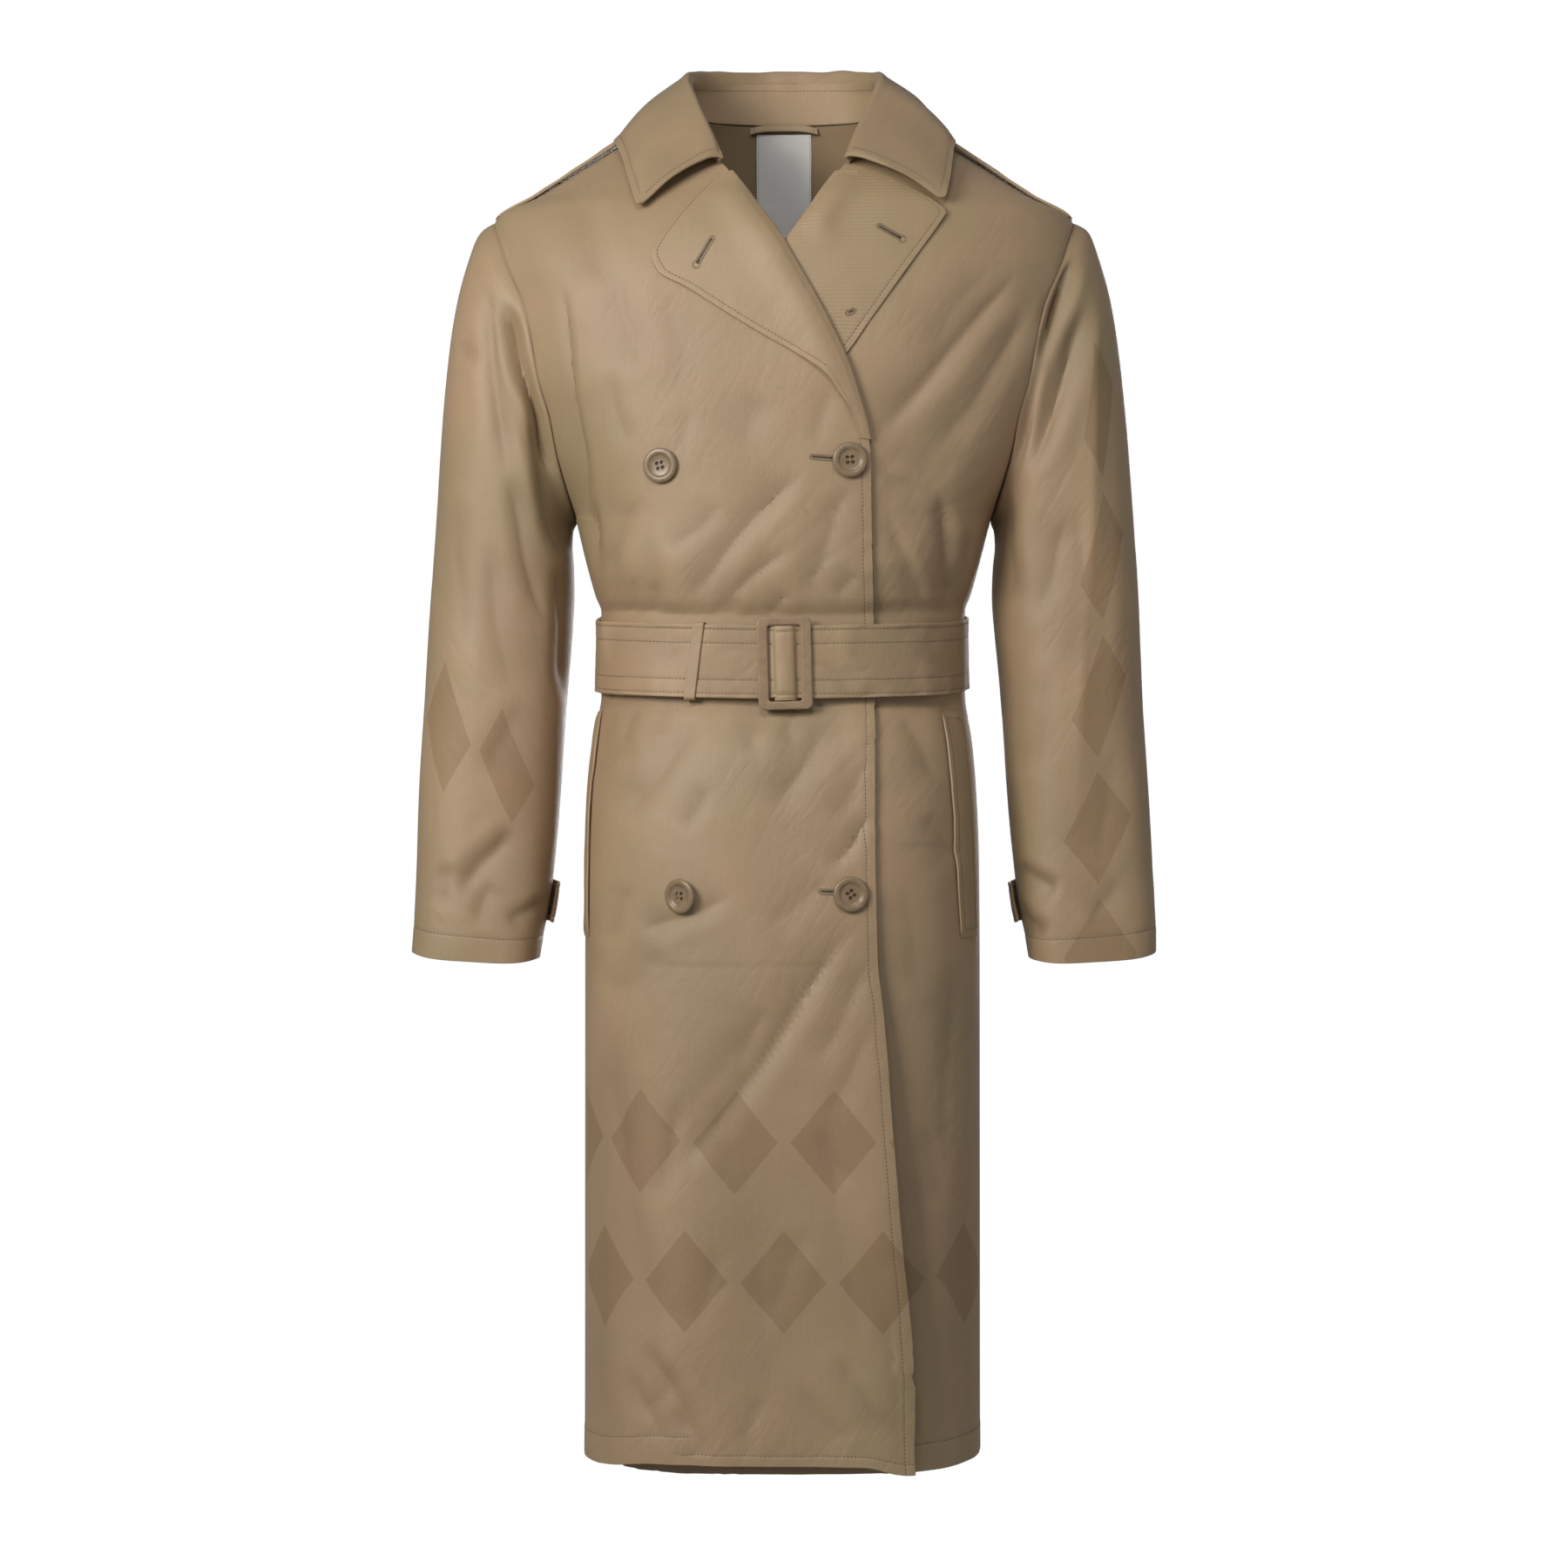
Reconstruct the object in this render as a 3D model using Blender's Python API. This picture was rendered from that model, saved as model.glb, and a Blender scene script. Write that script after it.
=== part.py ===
"""A double-breasted, belted trench coat of cotton gabardine, filled out and hollow.

Metres, +Z up. The coat faces -Y, the wearer's right side is at -X. The origin is in the
neck opening, level with the side neck points, where the wearer's neck and shoulders carry it.

The body is one surface of horizontal sections, body(theta, z): theta is 0 at the centre
front, +-90 degrees at the side seams and 180 degrees at the centre back. Every piece that
lies on the body is made from its points, moved out along the normal.
"""

import math

import bmesh
import bpy
import numpy as np

# ---------------------------------------------------------------- driving dimensions

CLOTH = 0.0015  # wall of one layer of cloth with its facing
GAP = 0.0003  # clearance at seams and between layers
SEAM_ANGLE = 0.0012  # half the clearance at the side seams, as an angle

HEM_Z = -1.083
ARMPIT_Z = -0.325
TIP_Z = -0.078  # shoulder tip, the top of the armhole
NECK_Z = 0.015  # neck seam at the back and at the side neck points
GORGE_Z = -0.0365  # front end of the neck seam, where collar and lapel meet
BREAK_Z = -0.280  # lower end of the lapels' roll lines

ARM_FRONT, ARM_BACK = 0.080, 0.072  # half depths of the armhole

WAIST_Z = -0.433  # height of the belt at the side seams
WAIST_SAG = 0.0122  # how much lower the belt lies at the front, and higher at the back
WAIST_REACH = 0.060  # height over which the sag fades out
BELT_WIDTH = 0.058
BELT_THICK = 0.0016

TOP_LIFT = 0.0049  # outer face of the top front where it laps the under front
EDGE_LIFT = 0.009  # how far the top front's free edge stands off at the hem
UNDER_RECESS = 0.018  # how far the under front falls back beside that edge
UNDER_DROP = 0.0025  # how much deeper the under front lies where the top front covers it
UNDERLAP_FLARE = 0.056  # extra reach of the under front at the hem

BUTTON_RADIUS, BUTTON_THICK = 0.0140, 0.0030
SMALL_BUTTON_RADIUS, SMALL_BUTTON_THICK = 0.0090, 0.0026

BUTTON_CALM = 0.024  # how far round a button the cloth stays without folds
FRONT_BUTTON_COLUMNS = ("name", "x", "z")
FRONT_BUTTONS = (
    ("button_chest_right", -0.0963, -0.2889),
    ("button_chest_left", 0.0515, -0.2855),
    ("button_waist_right", -0.0930, -0.4565),
    ("button_waist_left", 0.0518, -0.4560),
    ("button_skirt_right", -0.0802, -0.6298),
    ("button_skirt_left", 0.0520, -0.6283),
)

# Sections of the body. seam_x is the half width at the side seam, at the armhole seam
# between armpit and shoulder tip, and at the shoulder seam above it.
BODY_COLUMNS = ("z", "seam_x", "front", "back", "squareness")
BODY = (
    (-1.120, 0.1605, 0.150, 0.150, 3.3),
    (-0.900, 0.1605, 0.149, 0.148, 3.2),
    (-0.680, 0.1605, 0.146, 0.147, 3.1),
    (-0.600, 0.1600, 0.144, 0.144, 3.05),
    (-0.540, 0.1575, 0.140, 0.141, 2.95),
    (-0.505, 0.1545, 0.133, 0.132, 2.8),
    (-0.486, 0.1515, 0.126, 0.124, 2.7),
    (-0.468, 0.1492, 0.1192, 0.1172, 2.6),
    (-0.433, 0.1490, 0.1190, 0.1170, 2.6),
    (-0.398, 0.1492, 0.1192, 0.1172, 2.6),
    (-0.386, 0.1535, 0.1255, 0.1200, 2.7),
    (-0.361, 0.1605, 0.1310, 0.1220, 2.8),
    (-0.325, 0.1700, 0.1320, 0.1210, 2.6),
    (-0.274, 0.1840, 0.1320, 0.1200, 2.5),
    (-0.246, 0.1890, 0.1315, 0.1200, 2.5),
    (-0.218, 0.1970, 0.1310, 0.1200, 2.5),
    (-0.183, 0.2035, 0.1290, 0.1200, 2.4),
    (-0.155, 0.2100, 0.1260, 0.1190, 2.4),
    (-0.124, 0.2230, 0.1205, 0.1170, 2.3),
    (-0.100, 0.2315, 0.1130, 0.1130, 2.2),
    (-0.078, 0.2380, 0.1040, 0.1090, 2.2),
    (-0.060, 0.2050, 0.093, 0.104, 2.2),
    (-0.040, 0.1740, 0.079, 0.098, 2.1),
    (-0.020, 0.1430, 0.062, 0.091, 2.1),
    (0.000, 0.1120, 0.046, 0.083, 2.1),
    (0.015, 0.0880, 0.036, 0.076, 2.1),
    (0.030, 0.0640, 0.026, 0.069, 2.1),
)

# Free edge of the top front, upwards: front edge, roll line, then neck seam.
TOP_EDGE_COLUMNS = ("z", "x")
TOP_EDGE = (
    (-1.120, 0.0985),
    (-1.020, 0.0985),
    (-0.8835, 0.0883),
    (-0.7262, 0.0780),
    (-0.6783, 0.0732),
    (-0.5826, 0.0713),
    (-0.4745, 0.0712),
    (-0.4068, 0.0704),
    (-0.3352, 0.0690),
    (-0.2805, 0.0680),
    (-0.2361, 0.0576),
    (-0.2038, 0.0460),
    (-0.1635, 0.0268),
    (-0.1174, 0.0014),
    (-0.0803, -0.0229),
    (-0.0450, -0.0465),
    (-0.0240, -0.0660),
    (0.0000, -0.0800),
    (0.0150, -0.0860),
    (0.0300, -0.0890),
)

# Lapels: matching points of the roll line and of the outer edge, from the break upwards.
LAPEL_COLUMNS = ("roll_x", "roll_z", "edge_x", "edge_z")
RIGHT_LAPEL = (
    (0.0666, -0.2690, 0.0600, -0.2682),
    (0.0600, -0.2450, 0.0508, -0.2451),
    (0.0500, -0.2130, 0.0336, -0.2190),
    (0.0400, -0.1900, 0.0096, -0.2018),
    (0.0268, -0.1635, -0.0144, -0.1880),
    (0.0110, -0.1350, -0.0488, -0.1669),
    (-0.0050, -0.1070, -0.0764, -0.1490),
    (-0.0150, -0.0920, -0.0985, -0.1365),
    (-0.0229, -0.0803, -0.1043, -0.1234),
    (-0.0300, -0.0690, -0.0996, -0.1141),
    (-0.0370, -0.0585, -0.0771, -0.0805),
    (-0.0430, -0.0500, -0.0540, -0.0530),
)
LEFT_LAPEL = (
    (-0.0668, -0.2690, -0.0560, -0.2672),
    (-0.0600, -0.2450, -0.0300, -0.2640),
    (-0.0500, -0.2130, -0.0050, -0.2500),
    (-0.0400, -0.1900, 0.0200, -0.2310),
    (-0.0268, -0.1635, 0.0460, -0.2052),
    (-0.0110, -0.1350, 0.0700, -0.1715),
    (0.0050, -0.1070, 0.0959, -0.1344),
    (0.0150, -0.0920, 0.1210, -0.0985),
    (0.0229, -0.0803, 0.1290, -0.0850),
    (0.0300, -0.0690, 0.1233, -0.0791),
    (0.0370, -0.0585, 0.0900, -0.0614),
    (0.0430, -0.0500, 0.0560, -0.0500),
)

# Collar from the centre back (along = 0) to its front end (along = 1), on the wearer's left.
COLLAR_COLUMNS = (
    "along", "seam_x", "seam_z", "fold_x", "fold_y", "fold_z", "edge_x", "edge_z", "edge_lift",
)
COLLAR_BACK_ROWS = 5  # the rows whose seam and edge lie on the back
COLLAR = (
    (0.00, 0.0000, 0.0150, 0.0000, 0.0880, 0.0620, 0.0000, -0.0100, 0.0090),
    (0.20, 0.0380, 0.0150, 0.0400, 0.0780, 0.0605, 0.0560, -0.0110, 0.0090),
    (0.38, 0.0680, 0.0150, 0.0680, 0.0520, 0.0560, 0.1020, -0.0125, 0.0085),
    (0.52, 0.0835, 0.0150, 0.0790, 0.0230, 0.0500, 0.1255, -0.0110, 0.0110),
    (0.58, 0.0870, 0.0150, 0.0800, 0.0100, 0.0460, 0.1320, -0.0145, 0.0110),
    (0.64, 0.0845, 0.0126, 0.0800, -0.0050, 0.0410, 0.1340, -0.0200, 0.0110),
    (0.78, 0.0770, -0.0060, 0.0730, -0.0370, 0.0170, 0.1285, -0.0405, 0.0095),
    (0.90, 0.0660, -0.0240, 0.0620, -0.0680, -0.0130, 0.1220, -0.0650, 0.0085),
    (1.00, 0.0525, -0.0430, 0.0535, -0.0880, -0.0380, 0.1154, -0.0861, 0.0080),
)
LEFT_TIP_SHIFT = (0.0110, 0.0060)  # the wearer's left collar point lies further out and up
COLLAR_THICK = 0.0018

# Sleeve sections, from the armhole to the cuff, for the wearer's left sleeve.
SLEEVE_COLUMNS = (
    "outer_x", "outer_z", "inner_x", "inner_z", "front", "back", "shift_y", "squareness", "bow",
)
SLEEVE = (
    (0.2380, -0.078, 0.1710, -0.325, 0.080, 0.072, 0.000, 2.0, 1.00),
    (0.2500, -0.086, 0.1740, -0.334, 0.081, 0.073, 0.000, 2.0, 0.80),
    (0.2585, -0.107, 0.1745, -0.345, 0.080, 0.073, 0.000, 2.1, 0.50),
    (0.2685, -0.145, 0.1730, -0.362, 0.078, 0.073, -0.001, 2.2, 0.20),
    (0.2745, -0.183, 0.1722, -0.383, 0.075, 0.072, -0.002, 2.3, 0.00),
    (0.2815, -0.253, 0.1735, -0.415, 0.071, 0.069, -0.004, 2.4, 0.00),
    (0.2865, -0.325, 0.1765, -0.455, 0.068, 0.066, -0.007, 2.4, 0.00),
    (0.2910, -0.397, 0.1800, -0.500, 0.064, 0.063, -0.010, 2.5, 0.00),
    (0.2945, -0.469, 0.1835, -0.545, 0.060, 0.060, -0.013, 2.5, 0.00),
    (0.2985, -0.541, 0.1875, -0.590, 0.056, 0.056, -0.017, 2.7, 0.00),
    (0.3010, -0.613, 0.1930, -0.640, 0.053, 0.053, -0.021, 3.0, 0.00),
    (0.3025, -0.657, 0.1985, -0.666, 0.051, 0.051, -0.024, 3.3, 0.00),
    (0.3030, -0.678, 0.2010, -0.684, 0.050, 0.050, -0.025, 3.4, 0.00),
)

# Largest folds, as troughs seen from the front (or the back): a curve from its first to its
# last point with a sideways bow, its half width and its depth.
FOLD_COLUMNS = ("x0", "z0", "x1", "z1", "bow", "width", "depth")
FRONT_FOLDS = (
    (0.024, -0.285, -0.090, -0.405, -0.006, 0.017, 0.0100),
    (-0.010, -0.350, -0.060, -0.412, 0.004, 0.014, 0.0060),
    (-0.108, -0.305, -0.138, -0.400, 0.000, 0.016, 0.0070),
    (0.204, -0.108, 0.062, -0.292, 0.005, 0.020, 0.0110),
    (0.112, -0.310, 0.142, -0.412, 0.000, 0.017, 0.0085),
    (-0.176, -0.110, -0.146, -0.410, 0.006, 0.016, 0.0075),
    (-0.122, -0.130, -0.134, -0.280, 0.004, 0.020, 0.0060),
    (0.050, -0.470, -0.006, -0.590, 0.000, 0.020, 0.0080),
    (-0.072, -0.468, -0.134, -0.600, 0.006, 0.020, 0.0085),
    (-0.050, -0.630, -0.134, -0.700, 0.000, 0.020, 0.0060),
    (0.064, -0.628, -0.114, -0.896, 0.012, 0.024, 0.0115),
    (-0.136, -0.740, -0.060, -1.070, 0.010, 0.026, 0.0075),
    (0.130, -0.670, 0.122, -1.080, 0.000, 0.024, 0.0110),
)
BACK_FOLDS = (
    (0.166, -0.120, 0.040, -0.320, 0.010, 0.020, 0.0110),
    (-0.162, -0.130, -0.034, -0.330, -0.010, 0.020, 0.0100),
    (0.080, -0.300, 0.052, -0.412, 0.003, 0.017, 0.0085),
    (-0.016, -0.320, -0.028, -0.412, 0.000, 0.017, 0.0075),
    (-0.108, -0.305, -0.084, -0.412, 0.003, 0.017, 0.0085),
    (0.026, -0.460, 0.044, -0.660, 0.004, 0.020, 0.0090),
    (-0.054, -0.460, -0.084, -0.680, 0.006, 0.020, 0.0095),
    (0.104, -0.590, 0.094, -1.090, 0.006, 0.026, 0.0110),
    (-0.026, -0.630, -0.036, -1.090, 0.008, 0.026, 0.0110),
    (-0.120, -0.710, -0.112, -1.090, 0.004, 0.024, 0.0090),
)
# For the wearer's left sleeve; "face" is -1 on the front of the sleeve and +1 on its back.
SLEEVE_FOLD_COLUMNS = FOLD_COLUMNS + ("face",)
LEFT_SLEEVE_FOLDS = (
    (0.243, -0.088, 0.162, -0.350, 0.000, 0.016, 0.0110, -1),
    (0.254, -0.140, 0.190, -0.340, -0.010, 0.016, 0.0095, -1),
    (0.196, -0.595, 0.240, -0.632, 0.000, 0.016, 0.0065, -1),
    (0.240, -0.100, 0.184, -0.350, 0.010, 0.018, 0.0100, 1),
    (0.194, -0.385, 0.274, -0.490, 0.004, 0.018, 0.0085, 1),
)
RIGHT_SLEEVE_FOLDS = (
    (0.242, -0.132, 0.182, -0.275, 0.008, 0.017, 0.0100, -1),
    (0.206, -0.245, 0.170, -0.395, 0.003, 0.015, 0.0110, -1),
    (0.243, -0.075, 0.208, -0.430, 0.010, 0.017, 0.0065, -1),
    (0.210, -0.560, 0.276, -0.650, 0.002, 0.018, 0.0075, -1),
    (0.242, -0.100, 0.182, -0.350, 0.008, 0.018, 0.0100, 1),
    (0.196, -0.405, 0.276, -0.505, 0.004, 0.018, 0.0085, 1),
)

KHAKI = (0.33, 0.245, 0.155)
PALE_GREY = (0.47, 0.45, 0.42)


# ---------------------------------------------------------------- curves and tables


def spline(table, at):
    """Smooth curves through a table's rows, with no overshoot: each column against the first."""
    rows = np.array(table, float)
    keys = rows[:, 0]
    secants = np.diff(rows[:, 1:], axis=0) / np.diff(keys)[:, None]
    before, after = secants[:-1], secants[1:]
    steady = before * after > 0
    mean = 2 * before * after / np.where(steady, before + after, 1)
    slopes = np.concatenate([secants[:1], np.where(steady, mean, 0), secants[-1:]])
    at = np.clip(np.asarray(at, float), keys[0], keys[-1])
    low = np.clip(np.searchsorted(keys, at, side="right") - 1, 0, len(keys) - 2)
    step = (keys[low + 1] - keys[low])[..., None]
    f = (at[..., None] - keys[low][..., None]) / step
    value = (
        rows[low, 1:] * (1 + 2 * f) * (1 - f) ** 2
        + rows[low + 1, 1:] * f * f * (3 - 2 * f)
        + slopes[low] * step * f * (1 - f) ** 2
        - slopes[low + 1] * step * f * f * (1 - f)
    )
    return np.moveaxis(value, -1, 0)


def counted(table):
    """The table with the share of the way down it, from 0 to 1, as its first column."""
    return [(i / (len(table) - 1), *row) for i, row in enumerate(table)]


def smooth(f):
    f = np.clip(f, 0, 1)
    return f * f * (3 - 2 * f)


def unit(vectors):
    return vectors / np.maximum(np.linalg.norm(vectors, axis=-1, keepdims=True), 1e-12)


def fold_height(folds, x, z):
    """Height of the folds at (x, z): a trough along each curve, with a low ridge beside it."""
    height = np.zeros(np.broadcast(x, z).shape)
    for x0, z0, x1, z1, bow, width, depth in folds:
        length = math.hypot(x1 - x0, z1 - z0)
        along_x, along_z = (x1 - x0) / length, (z1 - z0) / length
        share = ((x - x0) * along_x + (z - z0) * along_z) / length
        inside = np.clip(share, 0, 1)
        aside = (z - z0) * along_x - (x - x0) * along_z - bow * 4 * inside * (1 - inside)
        fade = smooth(share / 0.3) * smooth((1 - share) / 0.3)
        trough = np.exp(-((aside / width) ** 2))
        ridge = 0.45 * np.exp(-((aside / width - 1.9) ** 2))
        height += depth * fade * (ridge - trough)
    return height


# ---------------------------------------------------------------- the body's surface


def armhole_share(z):
    return np.clip((z - ARMPIT_Z) / (TIP_Z - ARMPIT_Z), 0, 1)


def section(z):
    """(seam_x, half width of the front, of the back, depths of both, squareness, armhole)."""
    seam, front, back, square = spline(BODY, z)
    share = armhole_share(z)
    arm = np.sqrt(4 * share * (1 - share))
    front_width = seam / (1 - (ARM_FRONT * arm / front) ** square) ** (1 / square)
    back_width = seam / (1 - (ARM_BACK * arm / back) ** square) ** (1 / square)
    return seam, front_width, back_width, front, back, square, arm


def sagged(z, cosine):
    """The height whose section is used at z: the waist lies lower at the front."""
    return z + WAIST_SAG * cosine * np.exp(-(((z - WAIST_Z) / WAIST_REACH) ** 2))


def side_theta(z, front=True):
    """The angle of the side seam, the armhole or the shoulder seam at height z."""
    seam, front_width, back_width, front_depth, back_depth, _, arm = section(z)
    if front:
        theta = np.arctan2(seam / front_width, ARM_FRONT * arm / front_depth)
        return theta - SEAM_ANGLE * (arm == 0)
    theta = np.arctan2(seam / back_width, -ARM_BACK * arm / back_depth)
    return theta + SEAM_ANGLE * (arm == 0)


def theta_at(x, z):
    """The angle at which the body's front has this x at height z."""
    theta = np.zeros(np.broadcast(x, z).shape)
    for _ in range(3):
        level = sagged(z, np.cos(theta))
        _, width, _, _, _, square, _ = section(level)
        share = np.clip(np.abs(x) / width, 0, 0.9999)
        theta = np.sign(x) * np.arctan2(share, (1 - share**square) ** (1 / square))
    return theta


def settled(x, z, level, is_front):
    """Where folds can lie: 0 under the belt and, on the front, at the buttons."""
    free = smooth((np.abs(level - WAIST_Z) - 0.034) / 0.014)
    for _, button_x, button_z in FRONT_BUTTONS:
        near = ((x - button_x) ** 2 + (z - button_z) ** 2) / BUTTON_CALM**2
        free = free * (1 - is_front * np.exp(-near))
    return free


def body(theta, z):
    """Points of the body's surface, with its folds."""
    theta, z = np.broadcast_arrays(np.asarray(theta, float), np.asarray(z, float))
    sine, cosine = np.sin(theta), np.cos(theta)
    level = sagged(z, cosine)
    seam, front_width, back_width, front, back, square, _ = section(level)
    reach = (np.abs(cosine) ** square + np.abs(sine) ** square) ** (-1 / square)
    is_front = cosine >= 0
    width = np.where(is_front, front_width, back_width)
    depth = np.where(is_front, front, back)
    x, y = width * reach * sine, -depth * reach * cosine
    out_x = np.sign(x) * (np.abs(x) / width) ** (square - 1) / width
    out_y = np.sign(y) * (np.abs(y) / depth) ** (square - 1) / depth
    size = np.hypot(out_x, out_y)
    height = np.where(is_front, fold_height(FRONT_FOLDS, x, z), fold_height(BACK_FOLDS, x, z))
    height = height * smooth((seam - np.abs(x)) / 0.022) * settled(x, z, level, is_front)
    return np.stack([x + height * out_x / size, y + height * out_y / size, z], axis=-1)


def body_normal(theta, z):
    step = 1e-4
    across = body(theta + step, z) - body(theta - step, z)
    up = body(theta, z + step) - body(theta, z - step)
    return unit(np.cross(across, up))


def on_body(theta, z, offset):
    """Body points moved out along the normal."""
    offset = np.asarray(offset, float)[..., None]
    return body(theta, z) + body_normal(theta, z) * offset


# ---------------------------------------------------------------- the fronts


def top_edge_theta(z):
    return theta_at(spline(TOP_EDGE, z)[0], z)


def under_edge_theta(z):
    x = -spline(TOP_EDGE, z)[0] - UNDERLAP_FLARE * smooth((-0.55 - z) / 0.5)
    return theta_at(x, z)


def top_outer(theta, z):
    """Offset of the top front's outer face: it laps the under front, and meets the back flush."""
    edge, side = top_edge_theta(z), -side_theta(z)
    share = (theta - edge) / (side - edge)
    lap = TOP_LIFT * (1 - smooth((share - 0.72) / 0.28)) * (1 - smooth((z + 0.110) / 0.050))
    free = EDGE_LIFT * smooth((-0.62 - z) / 0.45) * np.exp(-((np.maximum(share, 0) / 0.16) ** 2))
    return lap + free


def under_outer(theta, z):
    """Offset of the under front's outer face: in the skirt it falls back beside the top's edge."""
    beside = 1 - smooth((theta - 0.45) / 0.75)
    recess = UNDER_RECESS * smooth((-0.60 - z) / 0.35) * beside
    covered = smooth((top_edge_theta(z) - 0.03 - theta) / 0.20) * smooth((-0.300 - z) / 0.030)
    return -recess - UNDER_DROP * covered * (1 - smooth((-0.60 - z) / 0.35))


def top_hem(theta, z):
    """How far the top front's hem is drawn up, and its corner down."""
    x = body(theta, z)[..., 0]
    drawn = 0.006 * smooth((x + 0.150) / 0.05) * (1 - smooth((x - 0.060) / 0.035))
    return drawn - 0.001 * smooth((x - 0.060) / 0.035)


def under_hem(theta, z):
    return -0.004 * (1 - smooth((theta - 0.6) / 0.6))


# ---------------------------------------------------------------- meshes


def material(name, color, roughness=0.75, metallic=0.0):
    made = bpy.data.materials.new(name)
    made.use_nodes = True
    shader = made.node_tree.nodes["Principled BSDF"]
    shader.inputs["Base Color"].default_value = (*color, 1)
    shader.inputs["Roughness"].default_value = roughness
    shader.inputs["Metallic"].default_value = metallic
    made.diffuse_color = (*color, 1)
    return made


def add_mesh(name, points, faces, finish):
    mesh = bpy.data.meshes.new(name)
    mesh.from_pydata([tuple(p) for p in points], [], faces)
    shape = bmesh.new()
    shape.from_mesh(mesh)
    bmesh.ops.recalc_face_normals(shape, faces=shape.faces)
    shape.to_mesh(mesh)
    shape.free()
    mesh.materials.append(finish)
    mesh.shade_smooth()
    mesh.set_sharp_from_angle(angle=math.radians(40))
    piece = bpy.data.objects.new(name, mesh)
    bpy.context.scene.collection.objects.link(piece)
    return piece


def wall(name, outer, inner, finish, tube=False):
    """A closed wall between two grids of points. A tube's columns run all the way round."""
    rows, columns = outer.shape[:2]
    points = np.concatenate([outer.reshape(-1, 3), inner.reshape(-1, 3)])
    inside = rows * columns
    around = columns if tube else columns - 1

    def corner(row, column, layer=0):
        return layer * inside + row * columns + column % columns

    faces = []
    for row in range(rows - 1):
        for column in range(around):
            quad = [(row, column), (row, column + 1), (row + 1, column + 1), (row + 1, column)]
            faces.append([corner(r, c) for r, c in quad])
            faces.append([corner(r, c, 1) for r, c in reversed(quad)])
    for row in (0, rows - 1):
        for column in range(around):
            faces.append([
                corner(row, column), corner(row, column, 1),
                corner(row, column + 1, 1), corner(row, column + 1),
            ])
    if not tube:
        for column in (0, columns - 1):
            for row in range(rows - 1):
                faces.append([
                    corner(row, column), corner(row, column, 1),
                    corner(row + 1, column, 1), corner(row + 1, column),
                ])
    return add_mesh(name, points, faces, finish)


def grid_normal(points, tube=False):
    """Normals of a grid of points, from its own differences."""
    if tube:
        across = np.roll(points, -1, axis=1) - np.roll(points, 1, axis=1)
    else:
        across = np.gradient(points, axis=1)
    return unit(np.cross(across, np.gradient(points, axis=0)))


# ---------------------------------------------------------------- panels

ARM_STEPS = 10  # rows of a panel along half the armhole, and half the points round a sleeve
SKIRT_ROWS, PANEL_COLUMNS, BACK_COLUMNS = 12, 21, 19


def armhole_heights():
    phi = np.linspace(math.pi, 0, ARM_STEPS + 1)
    return ARMPIT_Z + (1 + np.cos(phi)) / 2 * (TIP_Z - ARMPIT_Z)


def panel_heights():
    skirt = np.linspace(HEM_Z, -0.490, SKIRT_ROWS)
    waist = (-0.468, -0.433, -0.398, -0.384, -0.354)
    shoulder = (-0.060, -0.040, -0.020, 0.000, 0.008, NECK_Z)
    return np.concatenate([skirt, waist, armhole_heights(), shoulder])


def panel(name, first_theta, last_theta, outer_offset, hem, columns, finish):
    """A cut piece between two edges of the body, each given as an angle at every height."""
    z = panel_heights()[:, None]
    share = np.linspace(0, 1, columns)[None, :]
    theta = first_theta(z) + (last_theta(z) - first_theta(z)) * share
    level = z
    for _ in range(3):
        z = level - (sagged(z, np.cos(theta)) - z)
    z = z + hem(theta, z) * smooth((HEM_Z + 0.16 - z) / 0.16)
    outer = outer_offset(theta, z)
    return wall(name, on_body(theta, z, outer), on_body(theta, z, outer - CLOTH), finish)


def level_hem(theta, z):
    return 0 * theta


def make_panels(cloth):
    panel("right_front", top_edge_theta, lambda z: -side_theta(z), top_outer, top_hem,
          PANEL_COLUMNS, cloth)
    panel("left_front", under_edge_theta, side_theta, under_outer, under_hem,
          PANEL_COLUMNS, cloth)
    panel("back", lambda z: side_theta(z, front=False),
          lambda z: 2 * math.pi - side_theta(z, front=False),
          lambda theta, z: 0 * theta, level_hem, BACK_COLUMNS, cloth)


# ---------------------------------------------------------------- sleeves

SLEEVE_ROWS = 19
SLEEVE_CLEAR = 0.0003  # the sleeve's distance from the armhole's edge, outwards
CUFF_DROOP = 0.004  # the cuff's front and back hang lower than its corners


def sleeve_table():
    """SLEEVE with the distance from the armhole, down its middle, as its first column."""
    rows = np.array(SLEEVE)
    middle = np.stack([rows[:, 0] + rows[:, 2], rows[:, 1] + rows[:, 3]], axis=1) / 2
    steps = np.linalg.norm(np.diff(middle, axis=0), axis=1)
    return np.column_stack([np.concatenate([[0], np.cumsum(steps)]), rows])


def sleeve_length():
    return sleeve_table()[-1, 0]


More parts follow.
